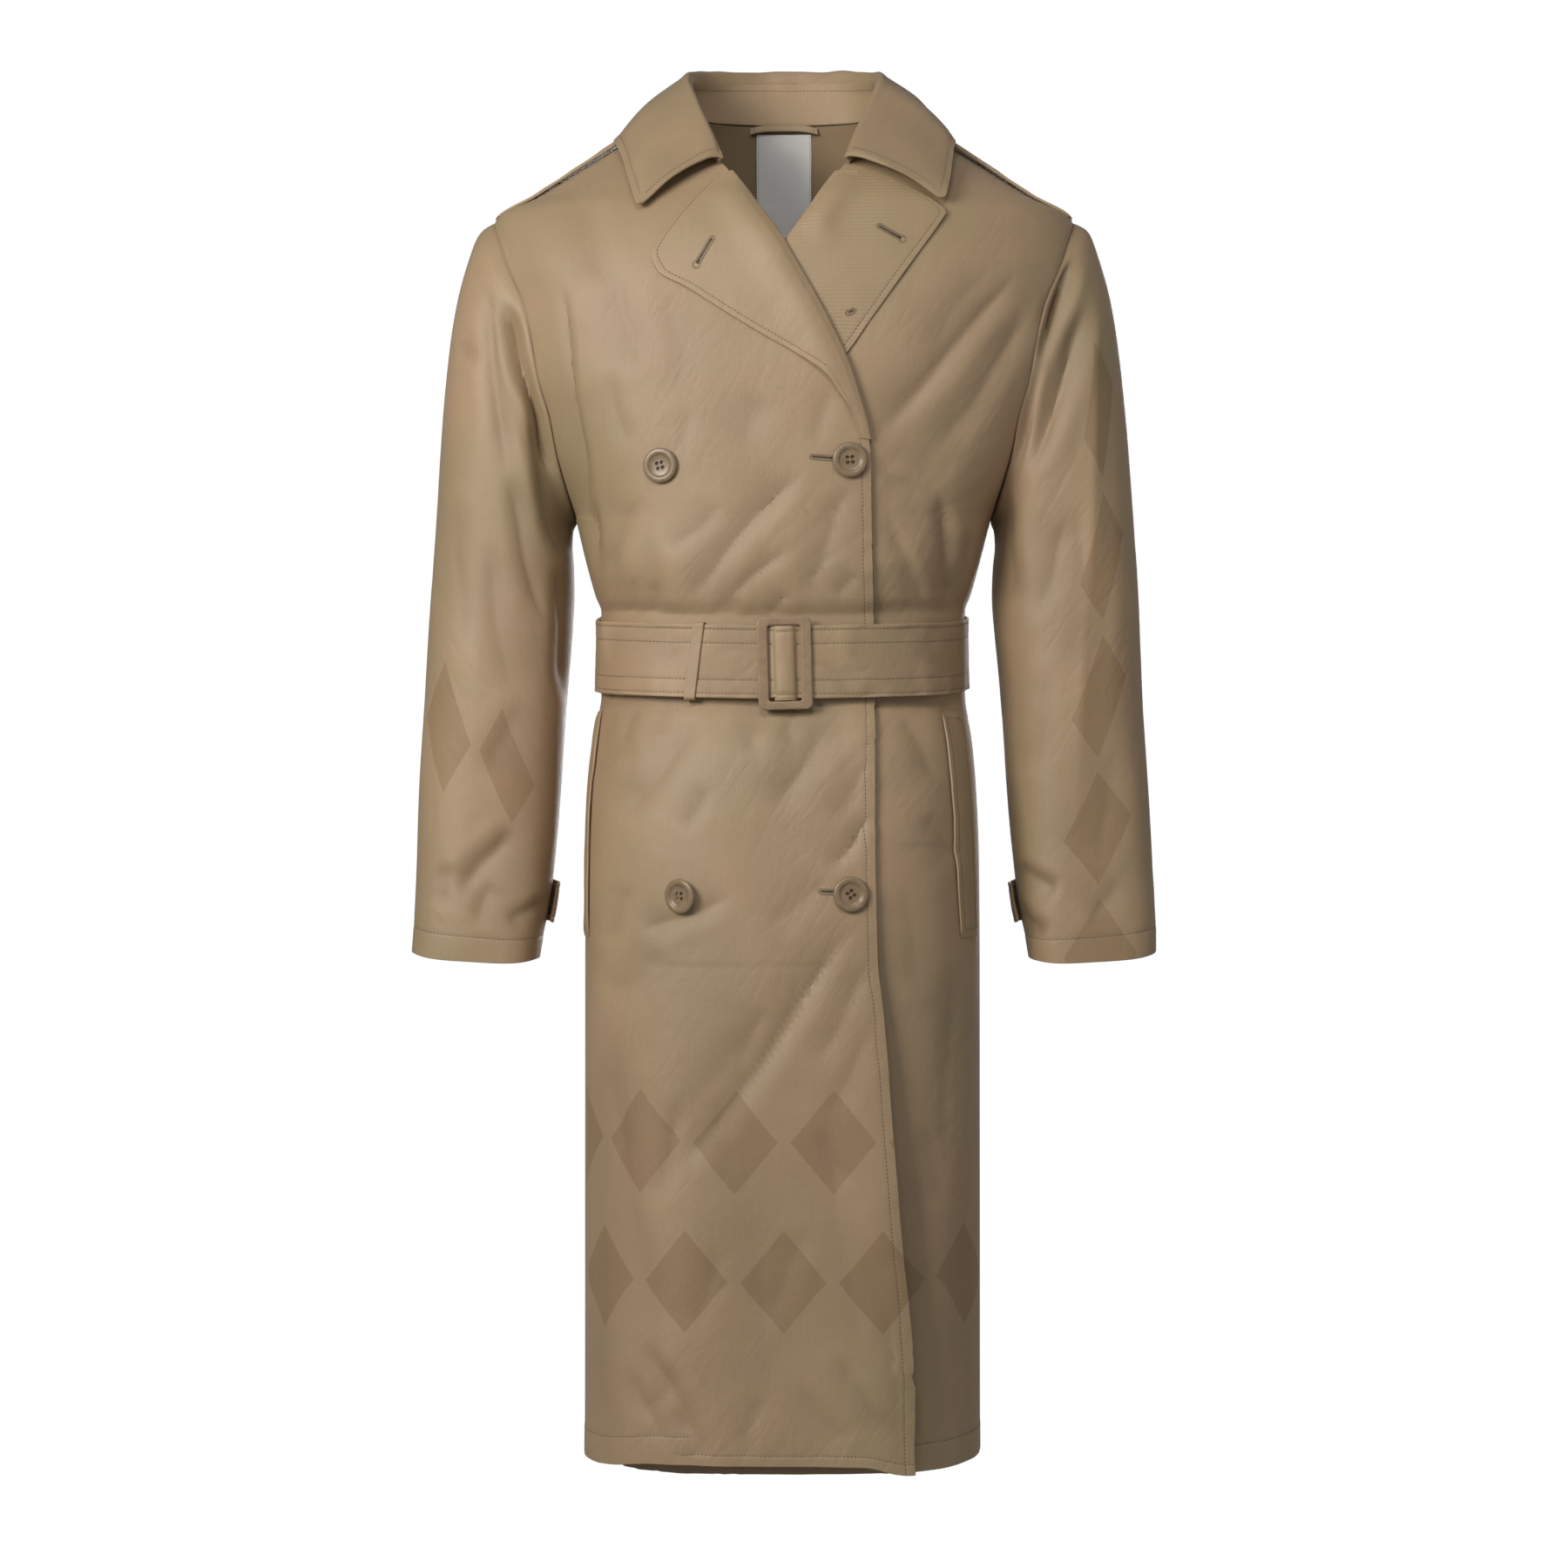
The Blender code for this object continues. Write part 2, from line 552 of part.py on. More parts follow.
def sleeve(side, phi, along):
    """Points of a sleeve: phi is 0 at its outer edge, 90 degrees at the front, 180 inside."""
    phi, along = np.broadcast_arrays(np.asarray(phi, float), np.asarray(along, float))
    outer_x, outer_z, inner_x, inner_z, front, back, shift, square, bow = spline(
        sleeve_table(), along
    )
    cosine, sine = np.cos(phi), np.sin(phi)
    reach = (np.abs(cosine) ** square + np.abs(sine) ** square) ** (-1 / square)
    cosine, sine = cosine * reach, sine * reach
    x = (outer_x + inner_x) / 2 + (outer_x - inner_x) / 2 * cosine
    z = (outer_z + inner_z) / 2 + (outer_z - inner_z) / 2 * cosine
    y = shift - np.where(sine > 0, front, back) * sine
    armhole_z = ARMPIT_Z + (1 + cosine) / 2 * (TIP_Z - ARMPIT_Z)
    first, last = SLEEVE[0], spline(BODY, armhole_z)[0]
    x = x + bow * (last - (first[0] + first[2]) / 2 - (first[0] - first[2]) / 2 * cosine)
    end = smooth((along / sleeve_length() - 0.85) / 0.15)
    z = z - CUFF_DROOP * (1 - cosine**4) * end
    height = 0
    for *fold, face in LEFT_SLEEVE_FOLDS if side > 0 else RIGHT_SLEEVE_FOLDS:
        facing = smooth(sine * -face / 0.5)
        height = height + facing * fold_height([fold], x, z)
    height = height * smooth(along / 0.02) * smooth((sleeve_length() - along) / 0.02)
    x = x + height * cosine
    y = y - height * sine
    return np.stack([side * (x + SLEEVE_CLEAR), y, z], axis=-1)


def sleeve_normal(side, phi, along):
    step = 1e-4
    around = sleeve(side, phi + step, along) - sleeve(side, phi - step, along)
    down = sleeve(side, phi, along + step) - sleeve(side, phi, along - step)
    return side * unit(np.cross(around, down))


def on_sleeve(side, phi, along, offset):
    offset = np.asarray(offset, float)[..., None]
    return sleeve(side, phi, along) + sleeve_normal(side, phi, along) * offset


def make_sleeves(cloth):
    phi = np.linspace(0, 2 * math.pi, 2 * ARM_STEPS + 1)[None, :-1]
    share = np.linspace(0, 1, SLEEVE_ROWS)[:, None]
    start = GAP
    along = start + (sleeve_length() - start) * share
    for name, side in (("right_sleeve", -1), ("left_sleeve", 1)):
        outer = on_sleeve(side, phi, along, 0)
        inner = on_sleeve(side, phi, along, -CLOTH)
        wall(name, outer, inner, cloth, tube=True)


# ---------------------------------------------------------------- lapels

LAPEL_ROWS, LAPEL_COLUMNS_ACROSS = 17, 6
LAPEL_CLEAR = 0.0011  # a lapel's distance from its front
LAPEL_ROLL = 0.0045  # how far the soft roll stands off the front


def lapel(name, table, front_outer, is_top, finish):
    """A facing turned back over its front: it covers the front's cut edge, then lies on it."""
    share = np.linspace(0, 1, LAPEL_ROWS)[:, None]
    roll_x, roll_z, edge_x, edge_z = spline(counted(table), share)
    width = np.hypot(edge_x - roll_x, edge_z - roll_z)
    toward_x, toward_z = (edge_x - roll_x) / width, (edge_z - roll_z) / width
    half = CLOTH / 2
    radius = half + LAPEL_CLEAR

    def at(distance, offset, extra):
        x, z = roll_x + toward_x * distance, roll_z + toward_z * distance
        theta = theta_at(x, z)
        puffed = LAPEL_ROLL * np.exp(-(((distance - 0.012) / 0.014) ** 2))
        if not is_top:
            puffed = puffed * smooth((x - spline(TOP_EDGE, z)[0] - 0.018) / 0.03)
        puffed = puffed * smooth(share / 0.25) * smooth((1 - share) / 0.2) * (distance > 0)
        return on_body(theta, z, front_outer(theta, z) + offset + puffed + extra)

    distances = [0 * width + d for d in (-radius, -radius, -0.7 * radius, 0.0015)]
    offsets = [-CLOTH, -GAP, 0.7 * radius, radius]
    for step in range(1, LAPEL_COLUMNS_ACROSS + 1):
        distances.append(0.0015 + (width - 0.0015) * step / LAPEL_COLUMNS_ACROSS)
        offsets.append(radius)
    centre = np.concatenate([at(d, o, 0) for d, o in zip(distances, offsets)], axis=1)
    normal = grid_normal(centre)
    if (normal[..., 1].mean() > 0):
        normal = -normal
    return wall(name, centre + normal * half, centre - normal * half, finish)


def make_lapels(cloth):
    lapel("right_lapel", RIGHT_LAPEL, top_outer, True, cloth)
    lapel("left_lapel", LEFT_LAPEL, under_outer, False, cloth)


# ---------------------------------------------------------------- collar

COLLAR_STATIONS = (
    1.00, 0.95, 0.90, 0.84, 0.78, 0.71, 0.64, 0.58, 0.52, 0.45, 0.38, 0.29, 0.20, 0.10, 0.00,
)
STAND_END = 2 / 6  # share of the profile where the stand ends and the leaf begins


def collar_profile(side, along, share):
    """Points of the collar: share runs from the neck seam, over the fold, to the outer edge."""
    seam_x, seam_z, fold_x, fold_y, fold_z, edge_x, edge_z, edge_lift = spline(COLLAR, along)
    if side > 0:
        edge_x = edge_x + LEFT_TIP_SHIFT[0] * smooth((along - 0.6) / 0.4)
        edge_z = edge_z + LEFT_TIP_SHIFT[1] * smooth((along - 0.6) / 0.4)
    back_end = COLLAR[COLLAR_BACK_ROWS][0]

    def theta_of(x, z):
        _, _, width, _, _, square, _ = section(z)
        ratio = np.clip(x / width, 0, 1)
        behind = math.pi - np.arctan2(ratio, (1 - ratio**square) ** (1 / square))
        return np.where(along < back_end, behind, theta_at(x, z))

    seam = on_body(theta_of(seam_x, seam_z), seam_z, -COLLAR_THICK / 2 - GAP)
    seam[..., 2] += COLLAR_THICK / 2 + 5 * GAP
    edge = on_body(theta_of(edge_x, edge_z), edge_z, edge_lift)
    fold = np.stack(np.broadcast_arrays(fold_x, fold_y, fold_z), axis=-1)
    outward = unit((edge - fold) * (1, 1, 0))
    upward = np.array([0, 0, 1.0])
    height = np.clip((fold[..., 2:] - seam[..., 2:]) / 0.045, 0.12, 1)
    knots = [
        seam,
        seam + (fold - seam) * 0.5,
        fold - outward * 0.0030 - upward * 0.009 * height,
        fold,
        fold + outward * 0.0060 - upward * 0.006 * height,
        (fold + edge) / 2 + (outward + upward) * 0.004,
        edge,
    ]
    knots = np.stack(knots)
    keys = np.linspace(0, 1, len(knots))
    values = spline(np.column_stack([keys, knots.reshape(len(knots), -1)]), share)
    points = values.reshape(len(along), 3, len(share)).transpose(0, 2, 1).copy()
    points[..., 0] *= side
    return points


def collar_piece(name, shares, front_end, finish):
    stations = np.array([along for along in COLLAR_STATIONS if along <= front_end])

    def whole(shares):
        right = collar_profile(-1, stations, shares)
        left = collar_profile(1, stations, shares)[::-1][1:]
        return np.concatenate([right, left])

    centre, step = whole(shares), 0.01
    across = whole(np.minimum(shares + step, 1)) - whole(np.maximum(shares - step, 0))
    normal = unit(np.cross(across, np.gradient(centre, axis=0)))
    return wall(name, centre - normal * COLLAR_THICK, centre, finish)


def make_collar(cloth):
    slit = 0.004
    collar_piece("collar_stand", np.linspace(0, STAND_END - slit, 4), 0.92, cloth)
    leaf = np.concatenate([
        np.linspace(STAND_END + slit, 4.2 / 6, 6), np.linspace(4.2 / 6, 1, 4)[1:]
    ])
    collar_piece("collar_leaf", leaf, 1.0, cloth)


# ---------------------------------------------------------------- trims on the body


def strip(name, theta, z, inner_offset, thick, finish):
    return wall(
        name, on_body(theta, z, inner_offset + thick), on_body(theta, z, inner_offset), finish
    )


def ridge_theta(y, z):
    """The angle near the shoulder seam at which the body's surface has this y."""
    _, front_width, _, front, back, square, _ = section(z)
    depth = np.where(y < 0, front, back)
    ratio = np.clip(np.abs(y) / depth, 0, 0.95)
    return math.pi / 2 + np.sign(y) * np.arctan2(ratio, (1 - ratio**square) ** (1 / square))


EPAULETTE_HALF, EPAULETTE_THICK = 0.024, 0.0022
EPAULETTE_BACK_Z, EPAULETTE_POINT_Z = -0.0745, 0.0040  # armhole end, pointed end
EPAULETTE_COLUMNS = ("share", "half_width", "lift")
EPAULETTE = (
    (0.00, 1.00, -0.0011),
    (0.25, 0.96, 0.0018),
    (0.50, 0.92, 0.0026),
    (0.75, 0.88, 0.0032),
    (0.90, 0.84, 0.0034),
    (1.00, 0.20, 0.0034),
)


def epaulette_points(side, share, aside, lift):
    half_width, lifted = spline(EPAULETTE, share)
    z = EPAULETTE_BACK_Z + (EPAULETTE_POINT_Z - EPAULETTE_BACK_Z) * share
    y = aside * EPAULETTE_HALF * half_width
    points = on_body(ridge_theta(y, z), z, lifted + lift)
    points[..., 0] *= side
    return points


def make_epaulettes(cloth):
    share = np.array([0, 0.14, 0.28, 0.42, 0.56, 0.70, 0.82, 0.90, 0.96, 1.0])[:, None]
    aside = np.linspace(-1, 1, 5)[None, :]
    for name, side in (("right_epaulette", -1), ("left_epaulette", 1)):
        outer = epaulette_points(side, share, aside, EPAULETTE_THICK)
        wall(name, outer, epaulette_points(side, share, aside, 0), cloth)


WELT_WIDTH, WELT_THICK = 0.038, 0.0018
WELT_COLUMNS = ("z", "front_x")
LEFT_WELT = ((-0.6640, 0.1414), (-0.6107, 0.1372), (-0.5414, 0.1325), (-0.4830, 0.1262))
RIGHT_WELT = ((-0.6640, 0.1520), (-0.5834, 0.1509), (-0.5204, 0.1478), (-0.4830, 0.1440))


def make_welts(cloth):
    z = np.linspace(-0.6640, -0.4830, 8)[:, None]
    across = np.linspace(0, 1, 4)[None, :]
    for name, side, table, front_outer in (
        ("right_pocket_welt", -1, RIGHT_WELT, top_outer),
        ("left_pocket_welt", 1, LEFT_WELT, under_outer),
    ):
        front = theta_at(spline(table, z)[0], z)
        reach = body(front + 0.1, z) - body(front, z)
        turn = 0.1 * WELT_WIDTH / np.linalg.norm(reach, axis=-1)
        theta = side * (front + turn * across)
        strip(name, theta, z, front_outer(theta, z) + 4 * GAP, WELT_THICK, cloth)


# ---------------------------------------------------------------- belt, buckle, keeper

# Offset of the belt's inner face from the body, round from the buckle: over the wearer's
# right side, the back and the left side to the buckle again, then the tail over the start.
BELT_COLUMNS = ("theta", "offset")
BELT_BASE = 0.0098  # over the lapped fronts and the buttons under the belt
BELT_PATH = (
    (-456, 0.0010 + BELT_THICK),
    (-440, 0.0015 + BELT_THICK),
    (-425, 0.0060 + BELT_THICK),
    (-415, BELT_BASE + BELT_THICK + GAP),
    (-368, BELT_BASE + BELT_THICK + GAP),
    (-364.6, BELT_BASE + BELT_THICK + GAP),
    (-361.5, BELT_BASE + BELT_THICK + GAP + 0.0034),
    (-360, BELT_BASE + BELT_THICK + GAP + 0.0037),
    (-358.5, BELT_BASE + BELT_THICK + GAP + 0.0034),
    (-355.4, BELT_BASE + BELT_THICK + GAP),
    (-352, BELT_BASE + BELT_THICK + GAP),
    (-325, BELT_BASE),
    (-300, 0.0020),
    (-285, 0.0010),
    (-270, 0.0008),
    (-180, 0.0008),
    (-100, 0.0008),
    (-85, 0.0012),
    (-70, 0.0050),
    (-57, BELT_BASE),
    (-20, BELT_BASE),
    (0, BELT_BASE),
)
BELT_START, BELT_END = -0.5, -448


def waist_point(theta, offset, height):
    """A point of the belt: its band stands straight up, square to the waist's section."""
    z = WAIST_Z - WAIST_SAG * np.cos(theta)
    _, width, _, front, back, square, _ = section(np.full(np.shape(theta), WAIST_Z))
    sine, cosine = np.sin(theta), np.cos(theta)
    reach = (np.abs(cosine) ** square + np.abs(sine) ** square) ** (-1 / square)
    depth = np.where(cosine >= 0, front, back)
    x, y = width * reach * sine, -depth * reach * cosine
    out_x = np.sign(x) * (np.abs(x) / width) ** (square - 1) / width
    out_y = np.sign(y) * (np.abs(y) / depth) ** (square - 1) / depth
    size = np.hypot(out_x, out_y)
    return np.stack(
        np.broadcast_arrays(x + offset * out_x / size, y + offset * out_y / size, z + height),
        axis=-1,
    )


def make_belt(cloth):
    degrees = np.concatenate([
        np.arange(BELT_START, -350, -7.5), np.arange(-351, -370, -1.5),
        np.linspace(-373, BELT_END, 12),
    ])[:, None]
    offset = spline(BELT_PATH, degrees)[0]
    theta = np.radians(degrees)
    narrowed = 1 - 0.05 * np.exp(-(((degrees + 360) / 4.5) ** 2))
    height = np.array([-0.5, 0.5])[None, :] * BELT_WIDTH * narrowed
    inner = waist_point(theta, offset, height)
    outer = waist_point(theta, offset + BELT_THICK, height)
    wall("belt", outer, inner, cloth)


BUCKLE_WIDTH, BUCKLE_HEIGHT = 0.0430, 0.0735
BUCKLE_WINDOW = (0.0262, 0.0600)
BUCKLE_THICK = 0.0032
BUCKLE_RADIUS = 0.0055
BUCKLE_TURN = math.radians(-1.5)
BAR_THICK, BAR_WIDTH = 0.0022, 0.0030


def rounded_outline(width, height, radius, steps=4):
    points = []
    for corner, (sx, sz) in enumerate(((1, 1), (-1, 1), (-1, -1), (1, -1))):
        for step in range(steps + 1):
            angle = math.radians(90 * corner + 90 * step / steps)
            points.append((
                sx * (width / 2 - radius) + radius * math.cos(angle),
                sz * (height / 2 - radius) + radius * math.sin(angle),
            ))
    return np.array(points)


def make_buckle(plastic):
    """A rectangular slide: a frame with rounded edges, and a bar down its middle."""
    edge = 0.0008
    rings = []
    for inset, depth in ((edge, 0), (0, edge), (0, BUCKLE_THICK - edge), (edge, BUCKLE_THICK)):
        outline = rounded_outline(
            BUCKLE_WIDTH - 2 * inset, BUCKLE_HEIGHT - 2 * inset, BUCKLE_RADIUS - inset
        )
        rings.append(np.column_stack([outline[:, 0], np.full(len(outline), -depth), outline[:, 1]]))
    for inset, depth in ((edge, BUCKLE_THICK), (0, BUCKLE_THICK - edge), (0, edge), (edge, 0)):
        outline = rounded_outline(
            BUCKLE_WINDOW[0] + 2 * inset, BUCKLE_WINDOW[1] + 2 * inset, 0.0022 + inset
        )
        rings.append(np.column_stack([outline[:, 0], np.full(len(outline), -depth), outline[:, 1]]))
    around = len(rings[0])
    faces = []
    for ring in range(len(rings)):
        below, above = ring * around, (ring + 1) % len(rings) * around
        for i in range(around):
            j = (i + 1) % around
            faces.append([below + i, below + j, above + j, above + i])
    turn = np.array([
        [math.cos(BUCKLE_TURN), 0, math.sin(BUCKLE_TURN)],
        [0, 1, 0],
        [-math.sin(BUCKLE_TURN), 0, math.cos(BUCKLE_TURN)],
    ])
    back = waist_point(np.array(0.0), BELT_BASE + 2 * BELT_THICK + 2 * GAP, 0.0)
    centre = back + np.array([0.0006, -0.0004, -0.0008])
    frame_piece = add_mesh("belt_buckle", np.concatenate(rings) @ turn.T + centre, faces, plastic)

    low, high = -BUCKLE_WINDOW[1] / 2 - 0.003, BUCKLE_WINDOW[1] / 2 + 0.003
    corners = [
        (x, y, z)
        for z in (low, high)
        for x, y in (
            (-BAR_WIDTH / 2, 0.0012), (BAR_WIDTH / 2, 0.0012),
            (BAR_WIDTH / 2, 0.0012 - BAR_THICK), (-BAR_WIDTH / 2, 0.0012 - BAR_THICK),
        )
    ]
    sides = [[0, 1, 5, 4], [1, 2, 6, 5], [2, 3, 7, 6], [3, 0, 4, 7], [3, 2, 1, 0], [4, 5, 6, 7]]
    bar = add_mesh("belt_buckle_bar_tool", np.array(corners) @ turn.T + centre, sides, plastic)
    bar.hide_render = True
    bar.display_type = "WIRE"
    joined = frame_piece.modifiers.new("bar", "BOOLEAN")
    joined.operation = "UNION"
    joined.object = bar


KEEPER_WIDTH, KEEPER_THICK, KEEPER_THETA = 0.0090, 0.0012, math.radians(-25.6)


def make_keeper(cloth):
    """A narrow loop of cloth round both layers of the belt."""
    inside = BELT_BASE - 3 * GAP - KEEPER_THICK / 2
    outside = BELT_BASE + 2 * BELT_THICK + 3 * GAP + KEEPER_THICK / 2
    middle = (inside + outside) / 2
    high = BELT_WIDTH / 2 + GAP + KEEPER_THICK / 2
    path = [
        (inside, -high + 0.002), (inside, high - 0.002), (inside + 0.001, high),
        (middle, high + 0.0006), (outside - 0.001, high), (outside, high - 0.002),
        (outside, -high + 0.002), (outside - 0.001, -high),
        (middle, -high - 0.0006), (inside + 0.001, -high),
    ]
    base = waist_point(KEEPER_THETA, 0.0, 0.0)
    out = unit(waist_point(KEEPER_THETA, 1.0, 0.0) - base)
    along = np.cross(out, (0, 0, 1.0))
    lean = 0.0075 / BELT_WIDTH  # it leans to the wearer's left towards its top
    outer, inner = [], []
    count = len(path)
    for i, (offset, height) in enumerate(path):
        before, after = path[i - 1], path[(i + 1) % count]
        run = np.array([after[0] - before[0], after[1] - before[1]])
        away = np.array([-run[1], run[0]]) / np.hypot(*run) * KEEPER_THICK / 2
        for ring, sign in ((outer, 1), (inner, -1)):
            o, h = offset + sign * away[0], height + sign * away[1]
            point = base + out * o + np.array([0, 0, h]) + along * (-lean * h)
            ring.append([point + along * w for w in (-KEEPER_WIDTH / 2, KEEPER_WIDTH / 2)])
    outer, inner = np.array(outer), np.array(inner)
    wall("belt_keeper", outer.transpose(1, 0, 2), inner.transpose(1, 0, 2), cloth, tube=True)


# ---------------------------------------------------------------- cuff straps

STRAP_ALONG, STRAP_WIDTH, STRAP_THICK = 0.4275, 0.042, 0.0022
STRAP_COLUMNS = ("phi", "offset", "half_width")
STRAP = (
    (172, 0.0036, 0.92),
    (180, 0.0042, 1.00),
    (192, 0.0040, 1.00),
    (215, 0.0026, 1.00),
    (250, 0.0010, 1.00),
    (272, 0.0008, 1.00),
    (284, 0.0008, 0.90),
    (291, 0.0008, 0.20),
)


def make_cuff_straps(cloth):
    degrees = np.array([172, 178, 186, 196, 210, 226, 242, 258, 272, 280, 284, 288, 291.0])[:, None]
    offset, half_width = spline(STRAP, degrees)
    across = np.linspace(-0.5, 0.5, 3)[None, :] * half_width * STRAP_WIDTH
    for name, side in (("right_cuff_strap", -1), ("left_cuff_strap", 1)):
        phi = np.radians(degrees)
        outer = on_sleeve(side, phi, STRAP_ALONG + across, offset + STRAP_THICK)
        inner = on_sleeve(side, phi, STRAP_ALONG + across, offset)
        wall(name, outer, inner, cloth)


# ---------------------------------------------------------------- inside the neck


def make_neck_pieces(cloth, label_cloth):
    """The bare label and the hanger loop, inside the back at the neck seam."""
    height = np.linspace(-0.104, 0.008, 9)[:, None]
    x = np.linspace(-0.0235, 0.0235, 4)[None, :] + 0 * height

    def inside_back(x, z, offset):
        _, _, width, _, _, square, _ = section(z)
        ratio = np.abs(x) / width
        theta = math.pi - np.sign(x) * np.arctan2(ratio, (1 - ratio**square) ** (1 / square))
        return on_body(theta, z, offset)

    near, thick = -CLOTH - 0.0006, 0.0006
    wall("neck_label", inside_back(x, height, near), inside_back(x, height, near - thick),
         label_cloth)

    across = np.linspace(-0.0290, 0.0290, 11)[:, None]
    share = np.abs(across) / 0.0290
    bowed = 0.0135 - 0.0030 * share**3
    z = bowed + np.array([-0.0028, 0.0028])[None, :]
    stand_off = -CLOTH - 0.0016 - 0.0030 * (1 - share**4) + 0 * z
    loop = inside_back(across + 0 * z, np.full(z.shape, 0.0120), stand_off)
    loop[..., 2] = z
    back_face = loop - np.array([0, 0.0014, 0])
    wall("hanger_loop", loop, back_face, cloth)


# ---------------------------------------------------------------- buttons

BUTTON_PROFILE_COLUMNS = ("radius", "height")  # shares of the button's radius and thickness
BUTTON_PROFILE = ((0.00, 0.55), (0.55, 0.55), (0.72, 1.00), (0.92, 1.00), (1.00, 0.60), (0.90, 0.0), (0.0, 0.0))


def button(name, centre, out, radius, thick, segments, finish):
    """A turned disc with a rim, its back face at the centre point, facing along out."""
    out = unit(np.asarray(out, float))
    across = unit(np.cross((0, 0, 1.0), out))
    up = np.cross(out, across)
    points, rings = [], []
    for share, height in BUTTON_PROFILE:
        middle = centre + out * (height * thick)
        if share == 0:
            rings.append([len(points)])
            points.append(middle)
            continue
        rings.append(list(range(len(points), len(points) + segments)))
        for i in range(segments):
            angle = 2 * math.pi * i / segments
            points.append(middle + radius * share * (across * math.cos(angle) + up * math.sin(angle)))
    faces = []
    for first, second in zip(rings, rings[1:]):
        for i in range(segments):
            j = (i + 1) % segments
            quad = [first[i % len(first)], first[j % len(first)],
                    second[j % len(second)], second[i % len(second)]]
            faces.append(list(dict.fromkeys(quad)))
    return add_mesh(name, points, faces, finish)


def make_buttons(plastic):
    for name, x, z in FRONT_BUTTONS:
        theta, z = theta_at(np.array(x), np.array(z)), np.array(z)
        offset = top_outer(theta, z) + 2 * GAP
        button(name, on_body(theta, z, offset), body_normal(theta, z),
               BUTTON_RADIUS, BUTTON_THICK, 16, plastic)
    for name, side in (("button_epaulette_right", -1), ("button_epaulette_left", 1)):
        share, aside = np.array(0.91), np.array(0.0)
        seat = epaulette_points(side, share, aside, EPAULETTE_THICK + GAP)
        above = epaulette_points(side, share, aside, EPAULETTE_THICK + 0.01)
        button(name, seat, above - seat, SMALL_BUTTON_RADIUS, SMALL_BUTTON_THICK, 10, plastic)
    for name, side in (("button_cuff_right", -1), ("button_cuff_left", 1)):
        phi, along = np.radians(276.0), np.array(STRAP_ALONG)
        seat = on_sleeve(side, phi, along, 0.0008 + STRAP_THICK + 2 * GAP)
        button(name, seat, sleeve_normal(side, phi, along),
               SMALL_BUTTON_RADIUS, SMALL_BUTTON_THICK, 10, plastic)


# ---------------------------------------------------------------- the coat


def main():
    for old in list(bpy.data.objects):
        bpy.data.objects.remove(old, do_unlink=True)
    cloth = material("gabardine", KHAKI, roughness=0.7)
    plastic = material("khaki_plastic", (0.24, 0.165, 0.10), roughness=0.4)
    label_cloth = material("label_weave", PALE_GREY, roughness=0.8)
    make_panels(cloth)
    make_sleeves(cloth)
    make_lapels(cloth)
    make_collar(cloth)
    make_epaulettes(cloth)
    make_welts(cloth)
    make_belt(cloth)
    make_buckle(plastic)
    make_keeper(cloth)
    make_cuff_straps(cloth)
    make_neck_pieces(cloth, label_cloth)
    make_buttons(plastic)


main()
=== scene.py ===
"""The looks of a double-breasted, belted trench coat of cotton gabardine, filled out and hollow.

Metres, +Z up; the coat faces -Y and the wearer's right side is at -X. Every sheet of cloth is
a thin shell on the form of its solid: the same tables and surface functions as the solids,
with finer creases, turned edges, seams and sewn lines.
"""

import math

import bmesh
import bpy
import numpy as np
from mathutils import Matrix, Vector


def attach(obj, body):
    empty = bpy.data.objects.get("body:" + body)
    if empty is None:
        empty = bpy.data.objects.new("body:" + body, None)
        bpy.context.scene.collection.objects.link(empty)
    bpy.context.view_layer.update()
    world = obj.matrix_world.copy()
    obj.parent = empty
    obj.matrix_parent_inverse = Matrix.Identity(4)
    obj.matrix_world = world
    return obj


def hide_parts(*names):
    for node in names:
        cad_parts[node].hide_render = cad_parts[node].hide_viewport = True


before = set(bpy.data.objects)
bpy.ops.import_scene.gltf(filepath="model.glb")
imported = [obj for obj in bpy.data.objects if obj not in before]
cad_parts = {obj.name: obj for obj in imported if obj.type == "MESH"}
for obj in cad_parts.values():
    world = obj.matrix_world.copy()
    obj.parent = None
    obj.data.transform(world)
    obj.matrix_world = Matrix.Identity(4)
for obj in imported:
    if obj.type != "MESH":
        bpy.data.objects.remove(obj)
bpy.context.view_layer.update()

# ---------------------------------------------------------------- dimensions, as in the solids

CLOTH = 0.0014  # thickness of a panel
GAP = 0.0003  # between parts that lie on each other
HEM_Z, ARMPIT_Z, TIP_Z, NECK_Z = -1.083, -0.325, -0.078, 0.015
ARM_FRONT, ARM_BACK = 0.080, 0.072
WAIST_Z, WAIST_SAG, WAIST_REACH = -0.433, 0.0122, 0.060
BELT_WIDTH, BELT_THICK, BELT_BASE = 0.058, 0.0020, 0.0096
# how far the top front stands off where it laps over and at its free lower corner, and how
# far the under front lies back, and reaches over, under it
TOP_LIFT, EDGE_LIFT = 0.0046, 0.009
UNDER_RECESS, UNDER_DROP, UNDERLAP_FLARE = 0.018, 0.0025, 0.056
BUTTON_CALM = 0.019  # radius of flat cloth round a button
# mean radii, for the noise laid round them
BODY_RADIUS, BELT_RADIUS, SLEEVE_RADIUS, CUFF_RADIUS = 0.15, 0.14, 0.06, 0.055

FRONT_BUTTONS = (
    ("button_chest_right", -0.0963, -0.2889),
    ("button_chest_left", 0.0515, -0.2855),
    ("button_waist_right", -0.0930, -0.4565),
    ("button_waist_left", 0.0518, -0.4560),
    ("button_skirt_right", -0.0802, -0.6298),
    ("button_skirt_left", 0.0520, -0.6283),
)

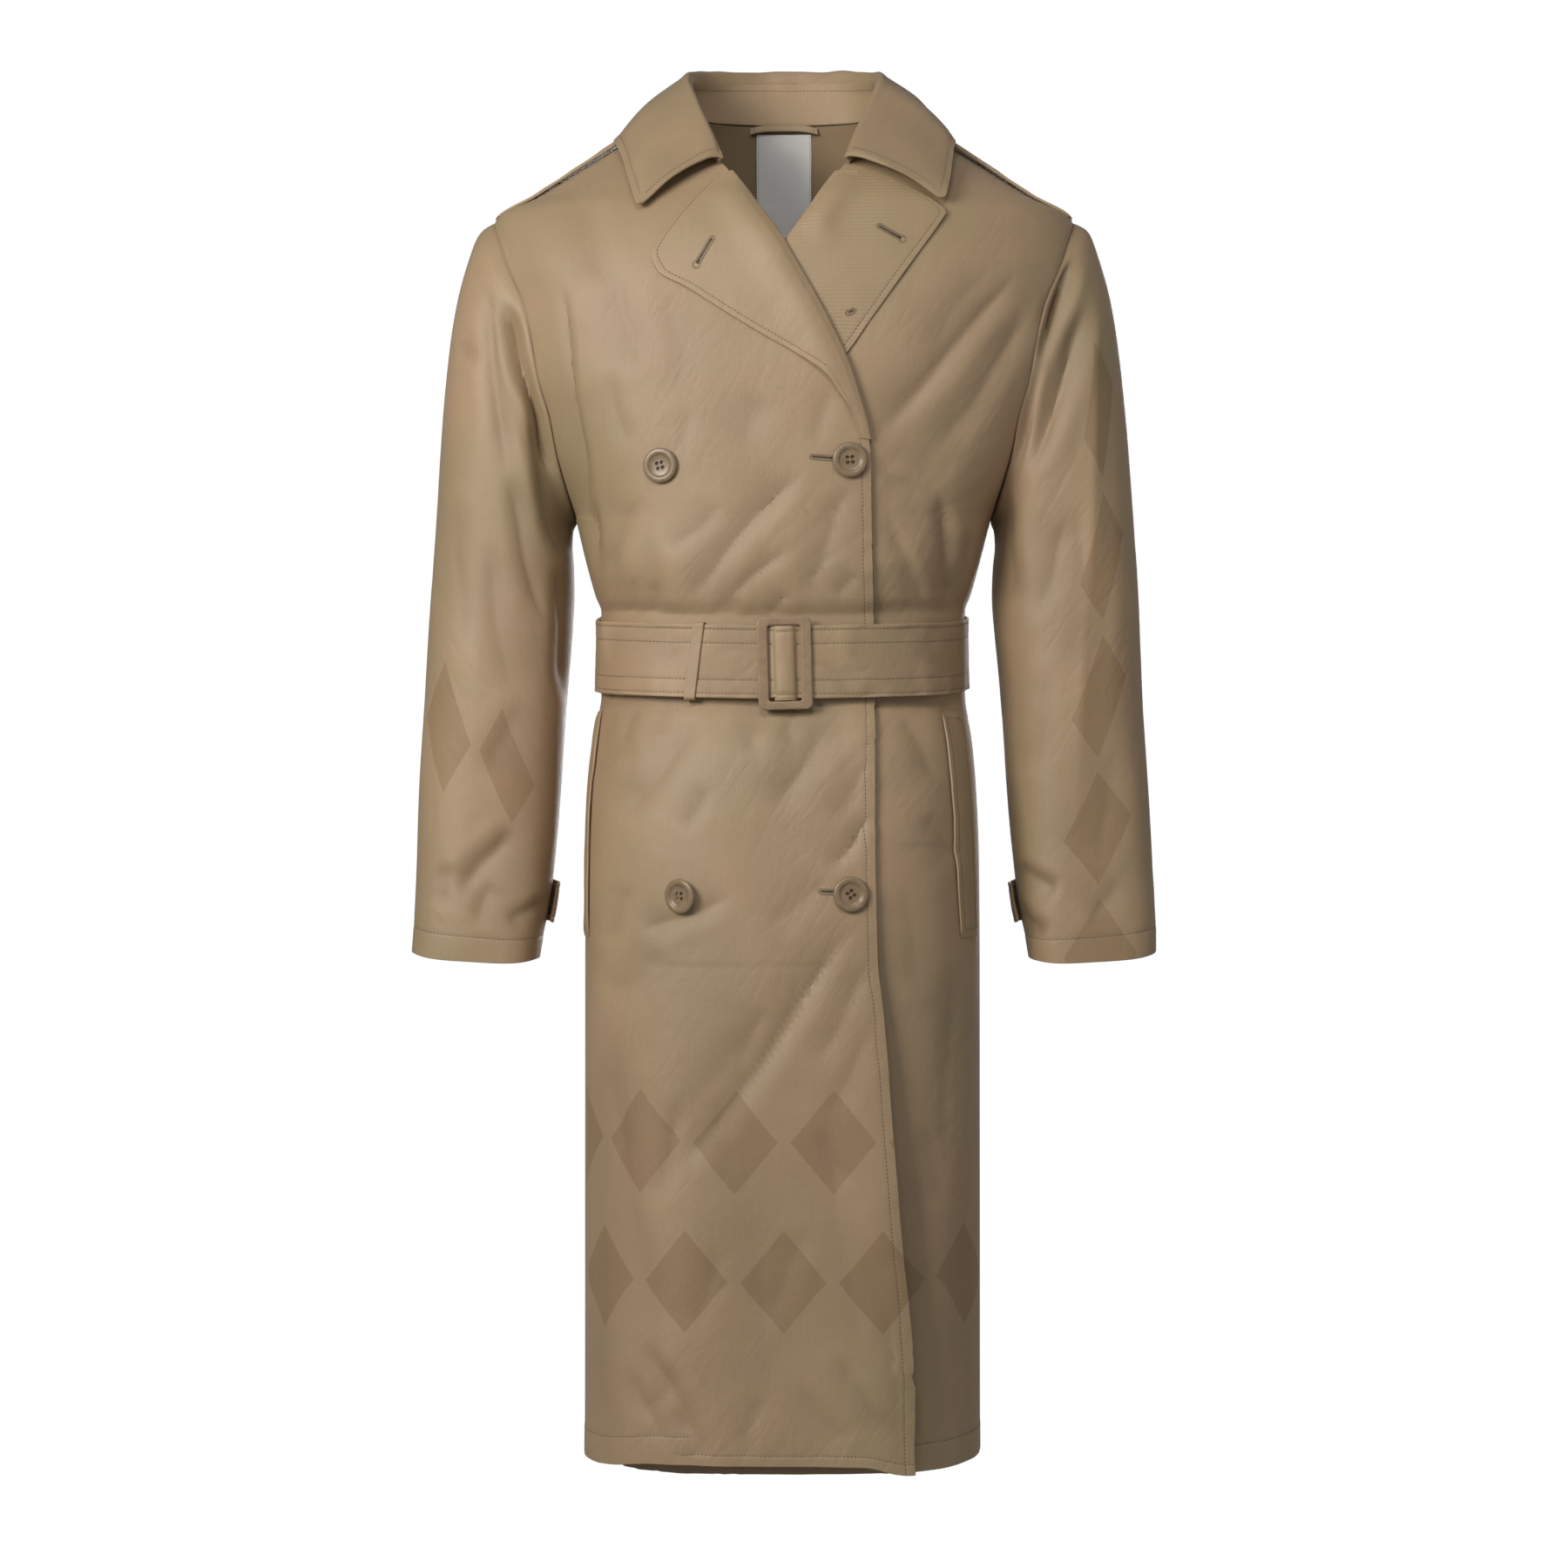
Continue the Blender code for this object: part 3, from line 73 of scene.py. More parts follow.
# z, half width at the side seam / armhole / shoulder seam, depth in front, behind, squareness
BODY = (
    (-1.120, 0.1605, 0.150, 0.150, 3.3),
    (-0.900, 0.1605, 0.149, 0.148, 3.2),
    (-0.680, 0.1605, 0.146, 0.147, 3.1),
    (-0.600, 0.1600, 0.144, 0.144, 3.05),
    (-0.540, 0.1575, 0.140, 0.141, 2.95),
    (-0.505, 0.1545, 0.133, 0.132, 2.8),
    (-0.486, 0.1515, 0.126, 0.124, 2.7),
    (-0.468, 0.1492, 0.1192, 0.1172, 2.6),
    (-0.433, 0.1490, 0.1190, 0.1170, 2.6),
    (-0.398, 0.1492, 0.1192, 0.1172, 2.6),
    (-0.386, 0.1535, 0.1255, 0.1200, 2.7),
    (-0.361, 0.1605, 0.1310, 0.1220, 2.8),
    (-0.325, 0.1700, 0.1320, 0.1210, 2.6),
    (-0.274, 0.1840, 0.1320, 0.1200, 2.5),
    (-0.246, 0.1890, 0.1315, 0.1200, 2.5),
    (-0.218, 0.1970, 0.1310, 0.1200, 2.5),
    (-0.183, 0.2035, 0.1290, 0.1200, 2.4),
    (-0.155, 0.2100, 0.1260, 0.1190, 2.4),
    (-0.124, 0.2230, 0.1205, 0.1170, 2.3),
    (-0.100, 0.2315, 0.1130, 0.1130, 2.2),
    (-0.078, 0.2380, 0.1040, 0.1090, 2.2),
    (-0.060, 0.2050, 0.093, 0.104, 2.2),
    (-0.040, 0.1740, 0.079, 0.098, 2.1),
    (-0.020, 0.1430, 0.062, 0.091, 2.1),
    (0.000, 0.1120, 0.046, 0.083, 2.1),
    (0.015, 0.0880, 0.036, 0.076, 2.1),
    (0.030, 0.0640, 0.026, 0.069, 2.1),
)

# z, x of the top front's free edge
TOP_EDGE = (
    (-1.120, 0.0985),
    (-1.020, 0.0985),
    (-0.8835, 0.0883),
    (-0.7262, 0.0780),
    (-0.6783, 0.0732),
    (-0.5826, 0.0713),
    (-0.4745, 0.0712),
    (-0.4068, 0.0704),
    (-0.3352, 0.0690),
    (-0.2805, 0.0680),
    (-0.2361, 0.0576),
    (-0.2038, 0.0460),
    (-0.1635, 0.0268),
    (-0.1174, 0.0014),
    (-0.0803, -0.0229),
    (-0.0450, -0.0465),
    (-0.0240, -0.0660),
    (0.0000, -0.0800),
    (0.0150, -0.0860),
    (0.0300, -0.0890),
)

# roll_x, roll_z, edge_x, edge_z from the break upwards
RIGHT_LAPEL = (
    (0.0666, -0.2690, 0.0600, -0.2682),
    (0.0600, -0.2450, 0.0508, -0.2451),
    (0.0500, -0.2130, 0.0336, -0.2190),
    (0.0400, -0.1900, 0.0096, -0.2018),
    (0.0268, -0.1635, -0.0144, -0.1880),
    (0.0110, -0.1350, -0.0488, -0.1669),
    (-0.0050, -0.1070, -0.0764, -0.1490),
    (-0.0150, -0.0920, -0.0985, -0.1365),
    (-0.0229, -0.0803, -0.1043, -0.1234),
    (-0.0300, -0.0690, -0.0996, -0.1141),
    (-0.0370, -0.0585, -0.0771, -0.0805),
    (-0.0430, -0.0500, -0.0540, -0.0530),
)
LEFT_LAPEL = (
    (-0.0668, -0.2690, -0.0560, -0.2672),
    (-0.0600, -0.2450, -0.0300, -0.2640),
    (-0.0500, -0.2130, -0.0050, -0.2500),
    (-0.0400, -0.1900, 0.0200, -0.2310),
    (-0.0268, -0.1635, 0.0460, -0.2052),
    (-0.0110, -0.1350, 0.0700, -0.1715),
    (0.0050, -0.1070, 0.0959, -0.1344),
    (0.0150, -0.0920, 0.1210, -0.0985),
    (0.0229, -0.0803, 0.1290, -0.0850),
    (0.0300, -0.0690, 0.1233, -0.0791),
    (0.0370, -0.0585, 0.0900, -0.0614),
    (0.0430, -0.0500, 0.0560, -0.0500),
)

# along, seam_x, seam_z, fold_x, fold_y, fold_z, edge_x, edge_z, edge_lift
COLLAR = (
    (0.00, 0.0000, 0.0150, 0.0000, 0.0874, 0.0619, 0.0000, -0.0101, 0.0090),
    (0.05, 0.0095, 0.0150, 0.0100, 0.0872, 0.0619, 0.0140, -0.0101, 0.0090),
    (0.20, 0.0380, 0.0150, 0.0400, 0.0780, 0.0605, 0.0560, -0.0110, 0.0090),
    (0.38, 0.0680, 0.0150, 0.0680, 0.0520, 0.0560, 0.1020, -0.0125, 0.0085),
    (0.52, 0.0835, 0.0150, 0.0790, 0.0230, 0.0500, 0.1255, -0.0110, 0.0110),
    (0.58, 0.0870, 0.0150, 0.0800, 0.0100, 0.0460, 0.1320, -0.0145, 0.0110),
    (0.64, 0.0845, 0.0126, 0.0800, -0.0050, 0.0410, 0.1340, -0.0200, 0.0110),
    (0.78, 0.0770, -0.0060, 0.0730, -0.0370, 0.0170, 0.1285, -0.0405, 0.0095),
    (0.90, 0.0660, -0.0240, 0.0620, -0.0680, -0.0130, 0.1220, -0.0650, 0.0085),
    (1.00, 0.0525, -0.0430, 0.0535, -0.0880, -0.0380, 0.1154, -0.0861, 0.0080),
)
COLLAR_BACK_ROWS = 6  # the rows that lie on the coat's back
LEFT_TIP_SHIFT = (0.0110, 0.0060)

# outer_x, outer_z, inner_x, inner_z, front, back, shift_y, squareness, bow
SLEEVE = (
    (0.2380, -0.078, 0.1710, -0.325, 0.080, 0.072, 0.000, 2.0, 1.00),
    (0.2500, -0.086, 0.1740, -0.334, 0.081, 0.073, 0.000, 2.0, 0.80),
    (0.2585, -0.107, 0.1745, -0.345, 0.080, 0.073, 0.000, 2.1, 0.50),
    (0.2685, -0.145, 0.1730, -0.362, 0.078, 0.073, -0.001, 2.2, 0.20),
    (0.2745, -0.183, 0.1722, -0.383, 0.075, 0.072, -0.002, 2.3, 0.00),
    (0.2815, -0.253, 0.1735, -0.415, 0.071, 0.069, -0.004, 2.4, 0.00),
    (0.2865, -0.325, 0.1765, -0.455, 0.068, 0.066, -0.007, 2.4, 0.00),
    (0.2910, -0.397, 0.1800, -0.500, 0.064, 0.063, -0.010, 2.5, 0.00),
    (0.2945, -0.469, 0.1835, -0.545, 0.060, 0.060, -0.013, 2.5, 0.00),
    (0.2985, -0.541, 0.1875, -0.590, 0.056, 0.056, -0.017, 2.7, 0.00),
    (0.3010, -0.613, 0.1930, -0.640, 0.053, 0.053, -0.021, 3.0, 0.00),
    (0.3025, -0.657, 0.1985, -0.666, 0.051, 0.051, -0.024, 3.3, 0.00),
    (0.3030, -0.678, 0.2010, -0.684, 0.050, 0.050, -0.025, 3.4, 0.00),
)

# ---------------------------------------------------------------- creases
# Troughs seen from the front (or the back), in millimetres: x0, z0, x1, z1, bow, half width,
# depth. The ridge lies on the left of the way from the first point to the second.

FRONT_CREASES = (
    # the chest
    (20, -288, -84, -406, -2, 9, 3),
    (5, -352, -62, -409, 0, 7, 2.2),
    (-48, -319, -96, -358, 4, 7.5, 1.5),
    (-113, -311, -146, -378, 0, 8, 1.8),
    (52, -301, 17, -399, 0, 8.5, 1.8),
    (59, -374, 39, -392, 0, 5, 1.4),
    (-99, -377, -103, -409, 0, 5, 1.8),
    (4, -388, -13, -409, 0, 5.5, 1.8),
    (-117, -372, -119, -409, 0, 4, 1.2),
    (-35, -392, -44, -409, 0, 4, 1.2),
    (80, -324, 120, -412, 1, 4.5, 2.4),
    (124, -304, 142, -410, 0, 6.5, 5.4),
    (96, -362, 103, -409, 0, 7, 1.2),
    (150, -334, 149, -403, 0, 7, 2.6),
    (190, -127, 66, -273, 4, 9, 4.6),
    (204, -154, 121, -279, 3, 9, 3),
    (167, -124, 110, -199, 0, 10, 1.4),
    (77, -298, 113, -311, 0, 6, 1.2),
    (144, -244, 103, -306, 0, 12, 1.4),
    (-175, -131, -150, -317, -4, 4, 2.2),
    (-150, -306, -147, -409, 0, 4.5, 3),
    (-164, -244, -149, -362, 0, 6, 1.8),
    (-170, -61, -143, -148, 0, 12, 2.8),
    (-136, -127, -113, -217, 0, 13, 2.2),
    (-14, -232, -35, -279, 0, 12, 1.2),
    (-90, -148, -77, -244, 0, 20, 1.2),
    # the skirt
    (-62, -485, -128, -576, 0, 12, 3),
    (53, -478, -14, -569, 0, 11, 3.2),
    (68, -564, 34, -613, 3, 5.5, 2.4),
    (-38, -630, -120, -662, 0, 8.5, 2.4),
    (68, -522, 39, -576, 0, 9, 1.6),
    (42, -613, -17, -658, 0, 11, 1.4),
    (-113, -478, -139, -530, 0, 8, 2),
    (-136, -476, -150, -542, 0, 8, 2),
    (-12, -479, -30, -521, 0, 7, 1.6),
    (12, -476, 1, -514, 0, 6, 1.2),
    (60, -638, -103, -869, 8, 9, 3.4),
    (67, -680, 20, -770, 3, 8, 2),
    (71, -728, 34, -811, 0, 10, 1.6),
    (-90, -673, -139, -714, 0, 12, 1.6),
    (-28, -735, -98, -832, 0, 16, 1.6),
    (92, -481, 126, -543, 0, 9, 2.2),
    (110, -562, 144, -604, 0, 9, 1.4),
    (96, -618, 110, -714, 0, 12, 1.4),
    (138, -673, 133, -873, 0, 14, 2.4),
    (151, -804, 149, -1088, 0, 14, 2),
    (110, -818, 104, -1025, 0, 16, 1.4),
    (-139, -714, -98, -1012, 0, 16, 2.2),
    (-146, -887, -143, -1088, 0, 12, 1.6),
    (32, -776, 62, -1018, 0, 18, 1.8),
    (-28, -859, -8, -1053, 2, 20, 1.6),
    (-77, -998, -111, -1047, 0, 8, 1.6),
    (-90, -1030, -56, -1070, 0, 7, 1.4),
    (10, -1012, 51, -1064, 0, 11, 1.2),
    (82, -942, 89, -1081, 0, 9, 1.2),
    # faint lines of pressing
    (-125, -685, 68, -685, 0, 3, 0.3),
    (-111, -696, 41, -696, 0, 3, 0.1),
    (85, -592, 140, -592, 0, 4, 0.6),
    # small ones
    (-80, -787, -99, -880, 0, 6, 2),
    (-52, -783, -42, -846, 0, 7, 1.2),
    (-13, -714, -37, -766, 0, 6, 1.8),
    (-110, -977, -64, -1058, 1, 7, 2.2),
    (-125, -998, -89, -1067, 0, 6, 1.6),
    (41, -987, 80, -1058, 0, 7, 1.8),
    (114, -811, 136, -880, 0, 8, 1.6),
    (20, -887, -14, -970, 0, 9, 1.4),
    (-49, -901, -70, -977, 0, 8, 1.2),
    (-139, -763, -125, -839, 0, 8, 1.4),
    (96, -998, 110, -1067, 0, 6, 1.2),
    (-14, -1018, -35, -1072, 0, 6, 1.4),
    (27, -811, 51, -859, 0, 7, 1.4),
    (-118, -618, -139, -673, 0, 7, 1.4),
    (-56, -542, -77, -583, 0, 6, 1.2),
    (-139, -210, -122, -279, 0, 8, 1.4),
    (41, -224, 20, -279, 0, 7, 1.4),
    (-70, -244, -90, -293, 0, 7, 1.2),
)
BACK_CREASES = (
    (168, -118, 38, -322, 10, 14, 9.7),
    (-164, -128, -32, -332, -10, 14, 9),
    (150, -200, 70, -320, 4, 10, 4),
    (-146, -216, -80, -316, -4, 10, 4),
    (82, -296, 52, -430, 3, 12, 8.4),
    (30, -330, 16, -430, 0, 9, 4.4),
    (-14, -316, -30, -430, 0, 12, 7.1),
    (-60, -340, -50, -430, 0, 9, 4.4),
    (-110, -300, -84, -430, 3, 12, 8),
    (130, -330, 120, -430, 0, 10, 5.5),
    (26, -440, 44, -660, 4, 13, 9),
    (70, -440, 86, -540, 0, 9, 4.4),
    (-14, -440, -20, -530, 0, 9, 4),
    (-54, -440, -84, -680, 6, 13, 9.7),
    (-100, -440, -112, -560, 0, 10, 4.6),
    (122, -440, 134, -620, 0, 10, 4.6),
    (104, -580, 94, -1120, 6, 20, 11.1),
    (50, -760, 40, -1120, 2, 18, 5.3),
    (-26, -620, -36, -1120, 8, 20, 11.1),
    (-80, -800, -76, -1120, 0, 16, 4.4),
    (-120, -700, -112, -1120, 4, 18, 9),
)
# For a sleeve at +X; face is -1 on its front and +1 on its back.
LEFT_SLEEVE_CREASES = (
    (238, -111, 200, -208, 0, 7, 8, -1),
    (204, -194, 176, -290, 0, 7, 9, -1),
    (250, -148, 198, -294, 0, 9, 5.4, -1),
    (181, -302, 183, -400, 0, 7.5, 3, -1),
    (188, -606, 222, -630, 0, 6.5, 2.6, -1),
    (186, -636, 210, -667, 0, 6.5, 2.4, -1),
    (238, -302, 246, -471, 0, 13, 1.6, -1),
    (229, -323, 205, -412, 0, 9, 1.6, -1),
    (215, -443, 201, -541, 0, 12, 1.2, -1),
    (267, -513, 255, -612, 0, 12, 1.4, -1),
    (274, -619, 246, -654, 0, 9, 1.4, -1),
    (256, -115, 235, -601, 0, 8, -1.8, -1),
    (242, -100, 182, -350, 10, 13, 8.6, 1),
    (262, -180, 206, -360, 0, 11, 4.3, 1),
    (192, -382, 276, -494, 4, 13, 7.2, 1),
    (200, -450, 262, -540, 0, 11, 3.6, 1),
    (210, -560, 280, -640, 0, 12, 4, 1),
)
RIGHT_SLEEVE_CREASES = (
    (230, -149, 202, -237, 0, 7, 6.5, -1),
    (210, -214, 181, -293, -1, 6.5, 8, -1),
    (207, -238, 177, -365, 0, 8, 5.6, -1),
    (243, -126, 224, -299, 0, 8, 2.8, -1),
    (224, -287, 193, -416, 0, 8.5, 2.8, -1),
    (266, -184, 246, -201, 0, 5.5, 1.4, -1),
    (214, -574, 267, -632, 0, 10, 3.6, -1),
    (190, -632, 224, -656, 0, 6.5, 2, -1),
    (272, -602, 284, -643, 0, 8, 1.6, -1),
    (236, -619, 249, -657, 0, 7, 1.4, -1),
    (181, -358, 177, -478, 0, 7, 3, -1),
    (242, -344, 219, -478, 0, 13, 1.6, -1),
    (269, -302, 258, -443, 0, 14, 1.4, -1),
    (212, -471, 241, -541, 0, 12, 1.4, -1),
    (219, -93, 208, -153, 0, 6, 2, -1),
    (242, -100, 180, -350, 8, 13, 8.6, 1),
    (260, -200, 206, -380, 0, 11, 4.3, 1),
    (194, -402, 278, -508, 4, 13, 7.2, 1),
    (208, -480, 266, -570, 0, 11, 3.6, 1),
    (214, -590, 276, -660, 0, 12, 3.2, 1),
)


# ---------------------------------------------------------------- curves, noise


def spline(table, at):
    """Smooth curves through a table's rows, with no overshoot: each column against the first."""
    rows = np.array(table, float)
    keys = rows[:, 0]
    secants = np.diff(rows[:, 1:], axis=0) / np.diff(keys)[:, None]
    before, after = secants[:-1], secants[1:]
    steady = before * after > 0
    mean = 2 * before * after / np.where(steady, before + after, 1)
    slopes = np.concatenate([secants[:1], np.where(steady, mean, 0), secants[-1:]])
    at = np.clip(np.asarray(at, float), keys[0], keys[-1])
    low = np.clip(np.searchsorted(keys, at, side="right") - 1, 0, len(keys) - 2)
    step = (keys[low + 1] - keys[low])[..., None]
    f = (at[..., None] - keys[low][..., None]) / step
    value = (
        rows[low, 1:] * (1 + 2 * f) * (1 - f) ** 2
        + rows[low + 1, 1:] * f * f * (3 - 2 * f)
        + slopes[low] * step * f * (1 - f) ** 2
        - slopes[low + 1] * step * f * f * (1 - f)
    )
    return np.moveaxis(value, -1, 0)


def counted(table):
    """The table with a first column from 0 at its first row to 1 at its last one."""
    return [(i / (len(table) - 1), *row) for i, row in enumerate(table)]


def smooth(f):
    f = np.clip(f, 0, 1)
    return f * f * (3 - 2 * f)


def bell(x, width):
    """1 where x is 0, falling away on both sides of it over that width."""
    return np.exp(-((x / width) ** 2))


def unit(vectors):
    return vectors / np.maximum(np.linalg.norm(vectors, axis=-1, keepdims=True), 1e-12)


def stacked(*parts):
    return np.stack(np.broadcast_arrays(*parts), axis=-1)


def nearest(values, target):
    return int(np.argmin(np.abs(values - target)))


CELLS = 97
LATTICE = np.random.RandomState(11).uniform(-1, 1, (CELLS, CELLS))


def ripple(u, v, size_u, size_v=None, shift=0.0):
    """Smooth noise from -1 to 1 over (u, v), with cells of that size in metres."""
    a = np.asarray(u, float) / size_u + 31.7 + shift
    b = np.asarray(v, float) / (size_v or size_u) + 57.3 + 1.7 * shift
    i, j = np.floor(a).astype(int), np.floor(b).astype(int)
    f, g = smooth(a - i), smooth(b - j)
    i, j = i % CELLS, j % CELLS
    k, m = (i + 1) % CELLS, (j + 1) % CELLS
    low = LATTICE[i, j] * (1 - f) + LATTICE[k, j] * f
    high = LATTICE[i, m] * (1 - f) + LATTICE[k, m] * f
    return low * (1 - g) + high * g


def crease_height(creases, x, z):
    """A crisp shallow trough along each crease: the cloth falls into it in two planes, a short
    one and a long one, with a low ridge beyond the short one."""
    height = np.zeros(np.broadcast(x, z).shape)
    for crease in creases:
        x0, z0, x1, z1, bow, width, depth = (0.001 * value for value in crease)
        length = math.hypot(x1 - x0, z1 - z0)
        along_x, along_z = (x1 - x0) / length, (z1 - z0) / length
        share = ((x - x0) * along_x + (z - z0) * along_z) / length
        inside = np.clip(share, 0, 1)
        wander = 0.12 * width * np.sin(9.0 * inside + 40 * x0)
        aside = (z - z0) * along_x - (x - x0) * along_z - bow * 4 * inside * (1 - inside) - wander
        fade = smooth(share / 0.28) * smooth((1 - share) / 0.28)
        # half widths aside: the short plane is on the ridge's side, the long one opposite
        t = aside / (width * (0.75 + 0.35 * inside))
        t = np.where(t > 0, t / 0.95, t / 2.0)
        trough = np.exp(-1.25 * (np.sqrt(t**2 + 0.01) - 0.10))
        height += 1.30 * depth * fade * (0.15 * bell(t - 1.9, 0.9) - trough)
    return height


def crumple(u, v, lean, long, short, shift=0.0):
    """Fine sharp wrinkles, long along the lean (an angle from u) and close across it."""
    along = u * np.cos(lean) + v * np.sin(lean)
    aside = v * np.cos(lean) - u * np.sin(lean)
    bent = aside + 0.35 * short * ripple(u, v, 0.05, shift=shift + 5)
    coarse = 1 - np.abs(ripple(along, bent, long, short, shift))
    fine = 1 - np.abs(ripple(along, bent, 0.6 * long, 0.5 * short, shift + 9))
    patchy = smooth(0.5 + 0.9 * ripple(u, v, 0.09, shift=shift + 3))
    return -(coarse**5 + 0.45 * fine**5) * patchy


# ---------------------------------------------------------------- the body's surface


def section(z):
    """Of the section at that height: half widths at the seam, in front and behind, depths in
    front and behind, squareness, and how open the armhole is."""
    seam, front, back, square = spline(BODY, z)
    share = np.clip((z - ARMPIT_Z) / (TIP_Z - ARMPIT_Z), 0, 1)
    arm = np.sqrt(4 * share * (1 - share))
    front_width = seam / (1 - (ARM_FRONT * arm / front) ** square) ** (1 / square)
    back_width = seam / (1 - (ARM_BACK * arm / back) ** square) ** (1 / square)
    return seam, front_width, back_width, front, back, square, arm


def turn_at(share, square):
    """The angle from the middle at which a section has that share of its half width."""
    return np.arctan2(share, (1 - share**square) ** (1 / square))


def sagged(z, cosine):
    """The height of the section that is used at z: the waist sags in front."""
    return z + WAIST_SAG * cosine * bell(z - WAIST_Z, WAIST_REACH)


def side_theta(z, front=True):
    """The angle of the side seam, and above it of the armhole's edge in front or behind."""
    seam, front_width, back_width, front_depth, back_depth, _, arm = section(z)
    if front:
        return np.arctan2(seam / front_width, ARM_FRONT * arm / front_depth)
    return np.arctan2(seam / back_width, -ARM_BACK * arm / back_depth)


def theta_at(x, z):
    """The angle on the front at that x."""
    theta = np.zeros(np.broadcast(x, z).shape)
    for _ in range(3):
        level = sagged(z, np.cos(theta))
        _, width, _, _, _, square, _ = section(level)
        theta = np.sign(x) * turn_at(np.clip(np.abs(x) / width, 0, 0.9999), square)
    return theta


def behind_theta(x, z):
    """The angle on the back at that x."""
    _, _, width, _, _, square, _ = section(z)
    return math.pi - np.sign(x) * turn_at(np.clip(np.abs(x) / width, 0, 1), square)


def settled(x, z, level, is_front):
    """0 where the belt or a button holds the cloth flat, 1 where it is free to fold."""
    free = smooth((np.abs(level - WAIST_Z) - 0.029) / 0.016)
    for _, button_x, button_z in FRONT_BUTTONS:
        near = ((x - button_x) ** 2 + (z - button_z) ** 2) / BUTTON_CALM**2
        free = free * (1 - 0.9 * is_front * np.exp(-near))
    return free


def ring(theta, level):
    """x and y on the section at that level, the way out of it, and its half width at the seam."""
    sine, cosine = np.sin(theta), np.cos(theta)
    seam, front_width, back_width, front, back, square, _ = section(level)
    width = np.where(cosine >= 0, front_width, back_width)
    depth = np.where(cosine >= 0, front, back)
    reach = (np.abs(cosine) ** square + np.abs(sine) ** square) ** (-1 / square)
    x, y = width * reach * sine, -depth * reach * cosine
    out_x = np.sign(x) * (np.abs(x) / width) ** (square - 1) / width
    out_y = np.sign(y) * (np.abs(y) / depth) ** (square - 1) / depth
    size = np.hypot(out_x, out_y)
    return x, y, out_x / size, out_y / size, seam


def body(theta, z, relief=False):
    """Points of the body's surface, with its creases, or the height of the creases alone."""
    theta, z = np.broadcast_arrays(np.asarray(theta, float), np.asarray(z, float))
    is_front = np.cos(theta) >= 0
    level = sagged(z, np.cos(theta))
    x, y, out_x, out_y, seam = ring(theta, level)
    height = np.where(
        is_front, crease_height(FRONT_CREASES, x, z), crease_height(BACK_CREASES, x, z)
    )
    # soft unevenness, and short upright folds where the belt gathers the cloth
    u = theta * BODY_RADIUS
    height = height + 0.0011 * ripple(u, z, 0.050, 0.130) + 0.00025 * ripple(u, z, 0.026, 0.060, 3)
    gathered = bell(level - WAIST_Z - 0.062, 0.030) + bell(level - WAIST_Z + 0.070, 0.038)
    height = height + 0.0013 * gathered * ripple(u, z, 0.017, 0.120, 5)
    lively = 0.35 + bell(z + 0.40, 0.20) + 0.35 * bell(z + 1.0, 0.10)
    front_wrinkles = crumple(u, z, 0.95, 0.060, 0.024)
    back_wrinkles = crumple(u, z, 1.45, 0.070, 0.028, 4)
    height = height + 0.00050 * lively * np.where(is_front, front_wrinkles, back_wrinkles)
    height = height * smooth((seam - np.abs(x)) / 0.020) * settled(x, z, level, is_front)
    if relief:
        return height
    return np.stack([x + height * out_x, y + height * out_y, z], axis=-1)


def painted_relief_shading(height):
    """Painted highlights on the cloth's ridges and painted shade in its troughs."""
    return 0.42 * np.tanh(height / 0.0020)


def normal_of(surface, across, along):
    """The unit normal of surface(across, along), from a short step to each side."""
    step = 4e-4
    sideways = surface(across + step, along) - surface(across - step, along)
    onwards = surface(across, along + step) - surface(across, along - step)
    return unit(np.cross(sideways, onwards))


def body_normal(theta, z):
    return normal_of(body, theta, z)


def on_body(theta, z, offset):
    offset = np.asarray(offset, float)[..., None]
    return body(theta, z) + body_normal(theta, z) * offset


def top_edge_theta(z):
    return theta_at(spline(TOP_EDGE, z)[0], z)


def under_edge_theta(z):
    x = -spline(TOP_EDGE, z)[0] - UNDERLAP_FLARE * smooth((-0.55 - z) / 0.5)
    return theta_at(x, z)


def top_outer(theta, z):
    """Height of the top front over the body: it laps over the under front and lifts below."""
    edge, side = top_edge_theta(z), -side_theta(z)
    share = (theta - edge) / (side - edge)
    inwards = np.maximum(share, 0)
    lap = TOP_LIFT * (1 - smooth((share - 0.72) / 0.28)) * (1 - smooth((z + 0.110) / 0.050))
    free = EDGE_LIFT * smooth((-0.62 - z) / 0.45) * bell(inwards, 0.16)
    wave = 0.0012 * ripple(z, 0.0, 0.045) * bell(inwards, 0.07)
    return lap + free + wave * smooth((-0.50 - z) / 0.1)


def under_outer(theta, z):
    """Height of the under front over the body: it lies deeper below and under the top front."""
    low = smooth((-0.60 - z) / 0.35)
    recess = UNDER_RECESS * low * (1 - smooth((theta - 0.45) / 0.75))
    covered = smooth((top_edge_theta(z) - 0.03 - theta) / 0.20) * smooth((-0.300 - z) / 0.030)
    return -recess - UNDER_DROP * covered * (1 - low)


def top_hem(theta, z):
    """How far the hem is drawn up. Its free corner hangs a little lower instead."""
    x = body(theta, z)[..., 0]
    drawn = 0.006 * smooth((x + 0.150) / 0.05) * (1 - smooth((x - 0.060) / 0.035))
    return drawn - 0.001 * smooth((x - 0.060) / 0.035)


def under_hem(theta, z):
    """The under front hangs lower towards its free edge."""
    return -0.004 * (1 - smooth((theta - 0.6) / 0.6))


# ---------------------------------------------------------------- meshes


def new_object(name, mesh):
    piece = bpy.data.objects.new(name, mesh)
    bpy.context.scene.collection.objects.link(piece)
    return piece


def turn_faces_out(mesh):
    shape = bmesh.new()
    shape.from_mesh(mesh)
    bmesh.ops.recalc_face_normals(shape, faces=shape.faces)
    shape.to_mesh(mesh)
    shape.free()


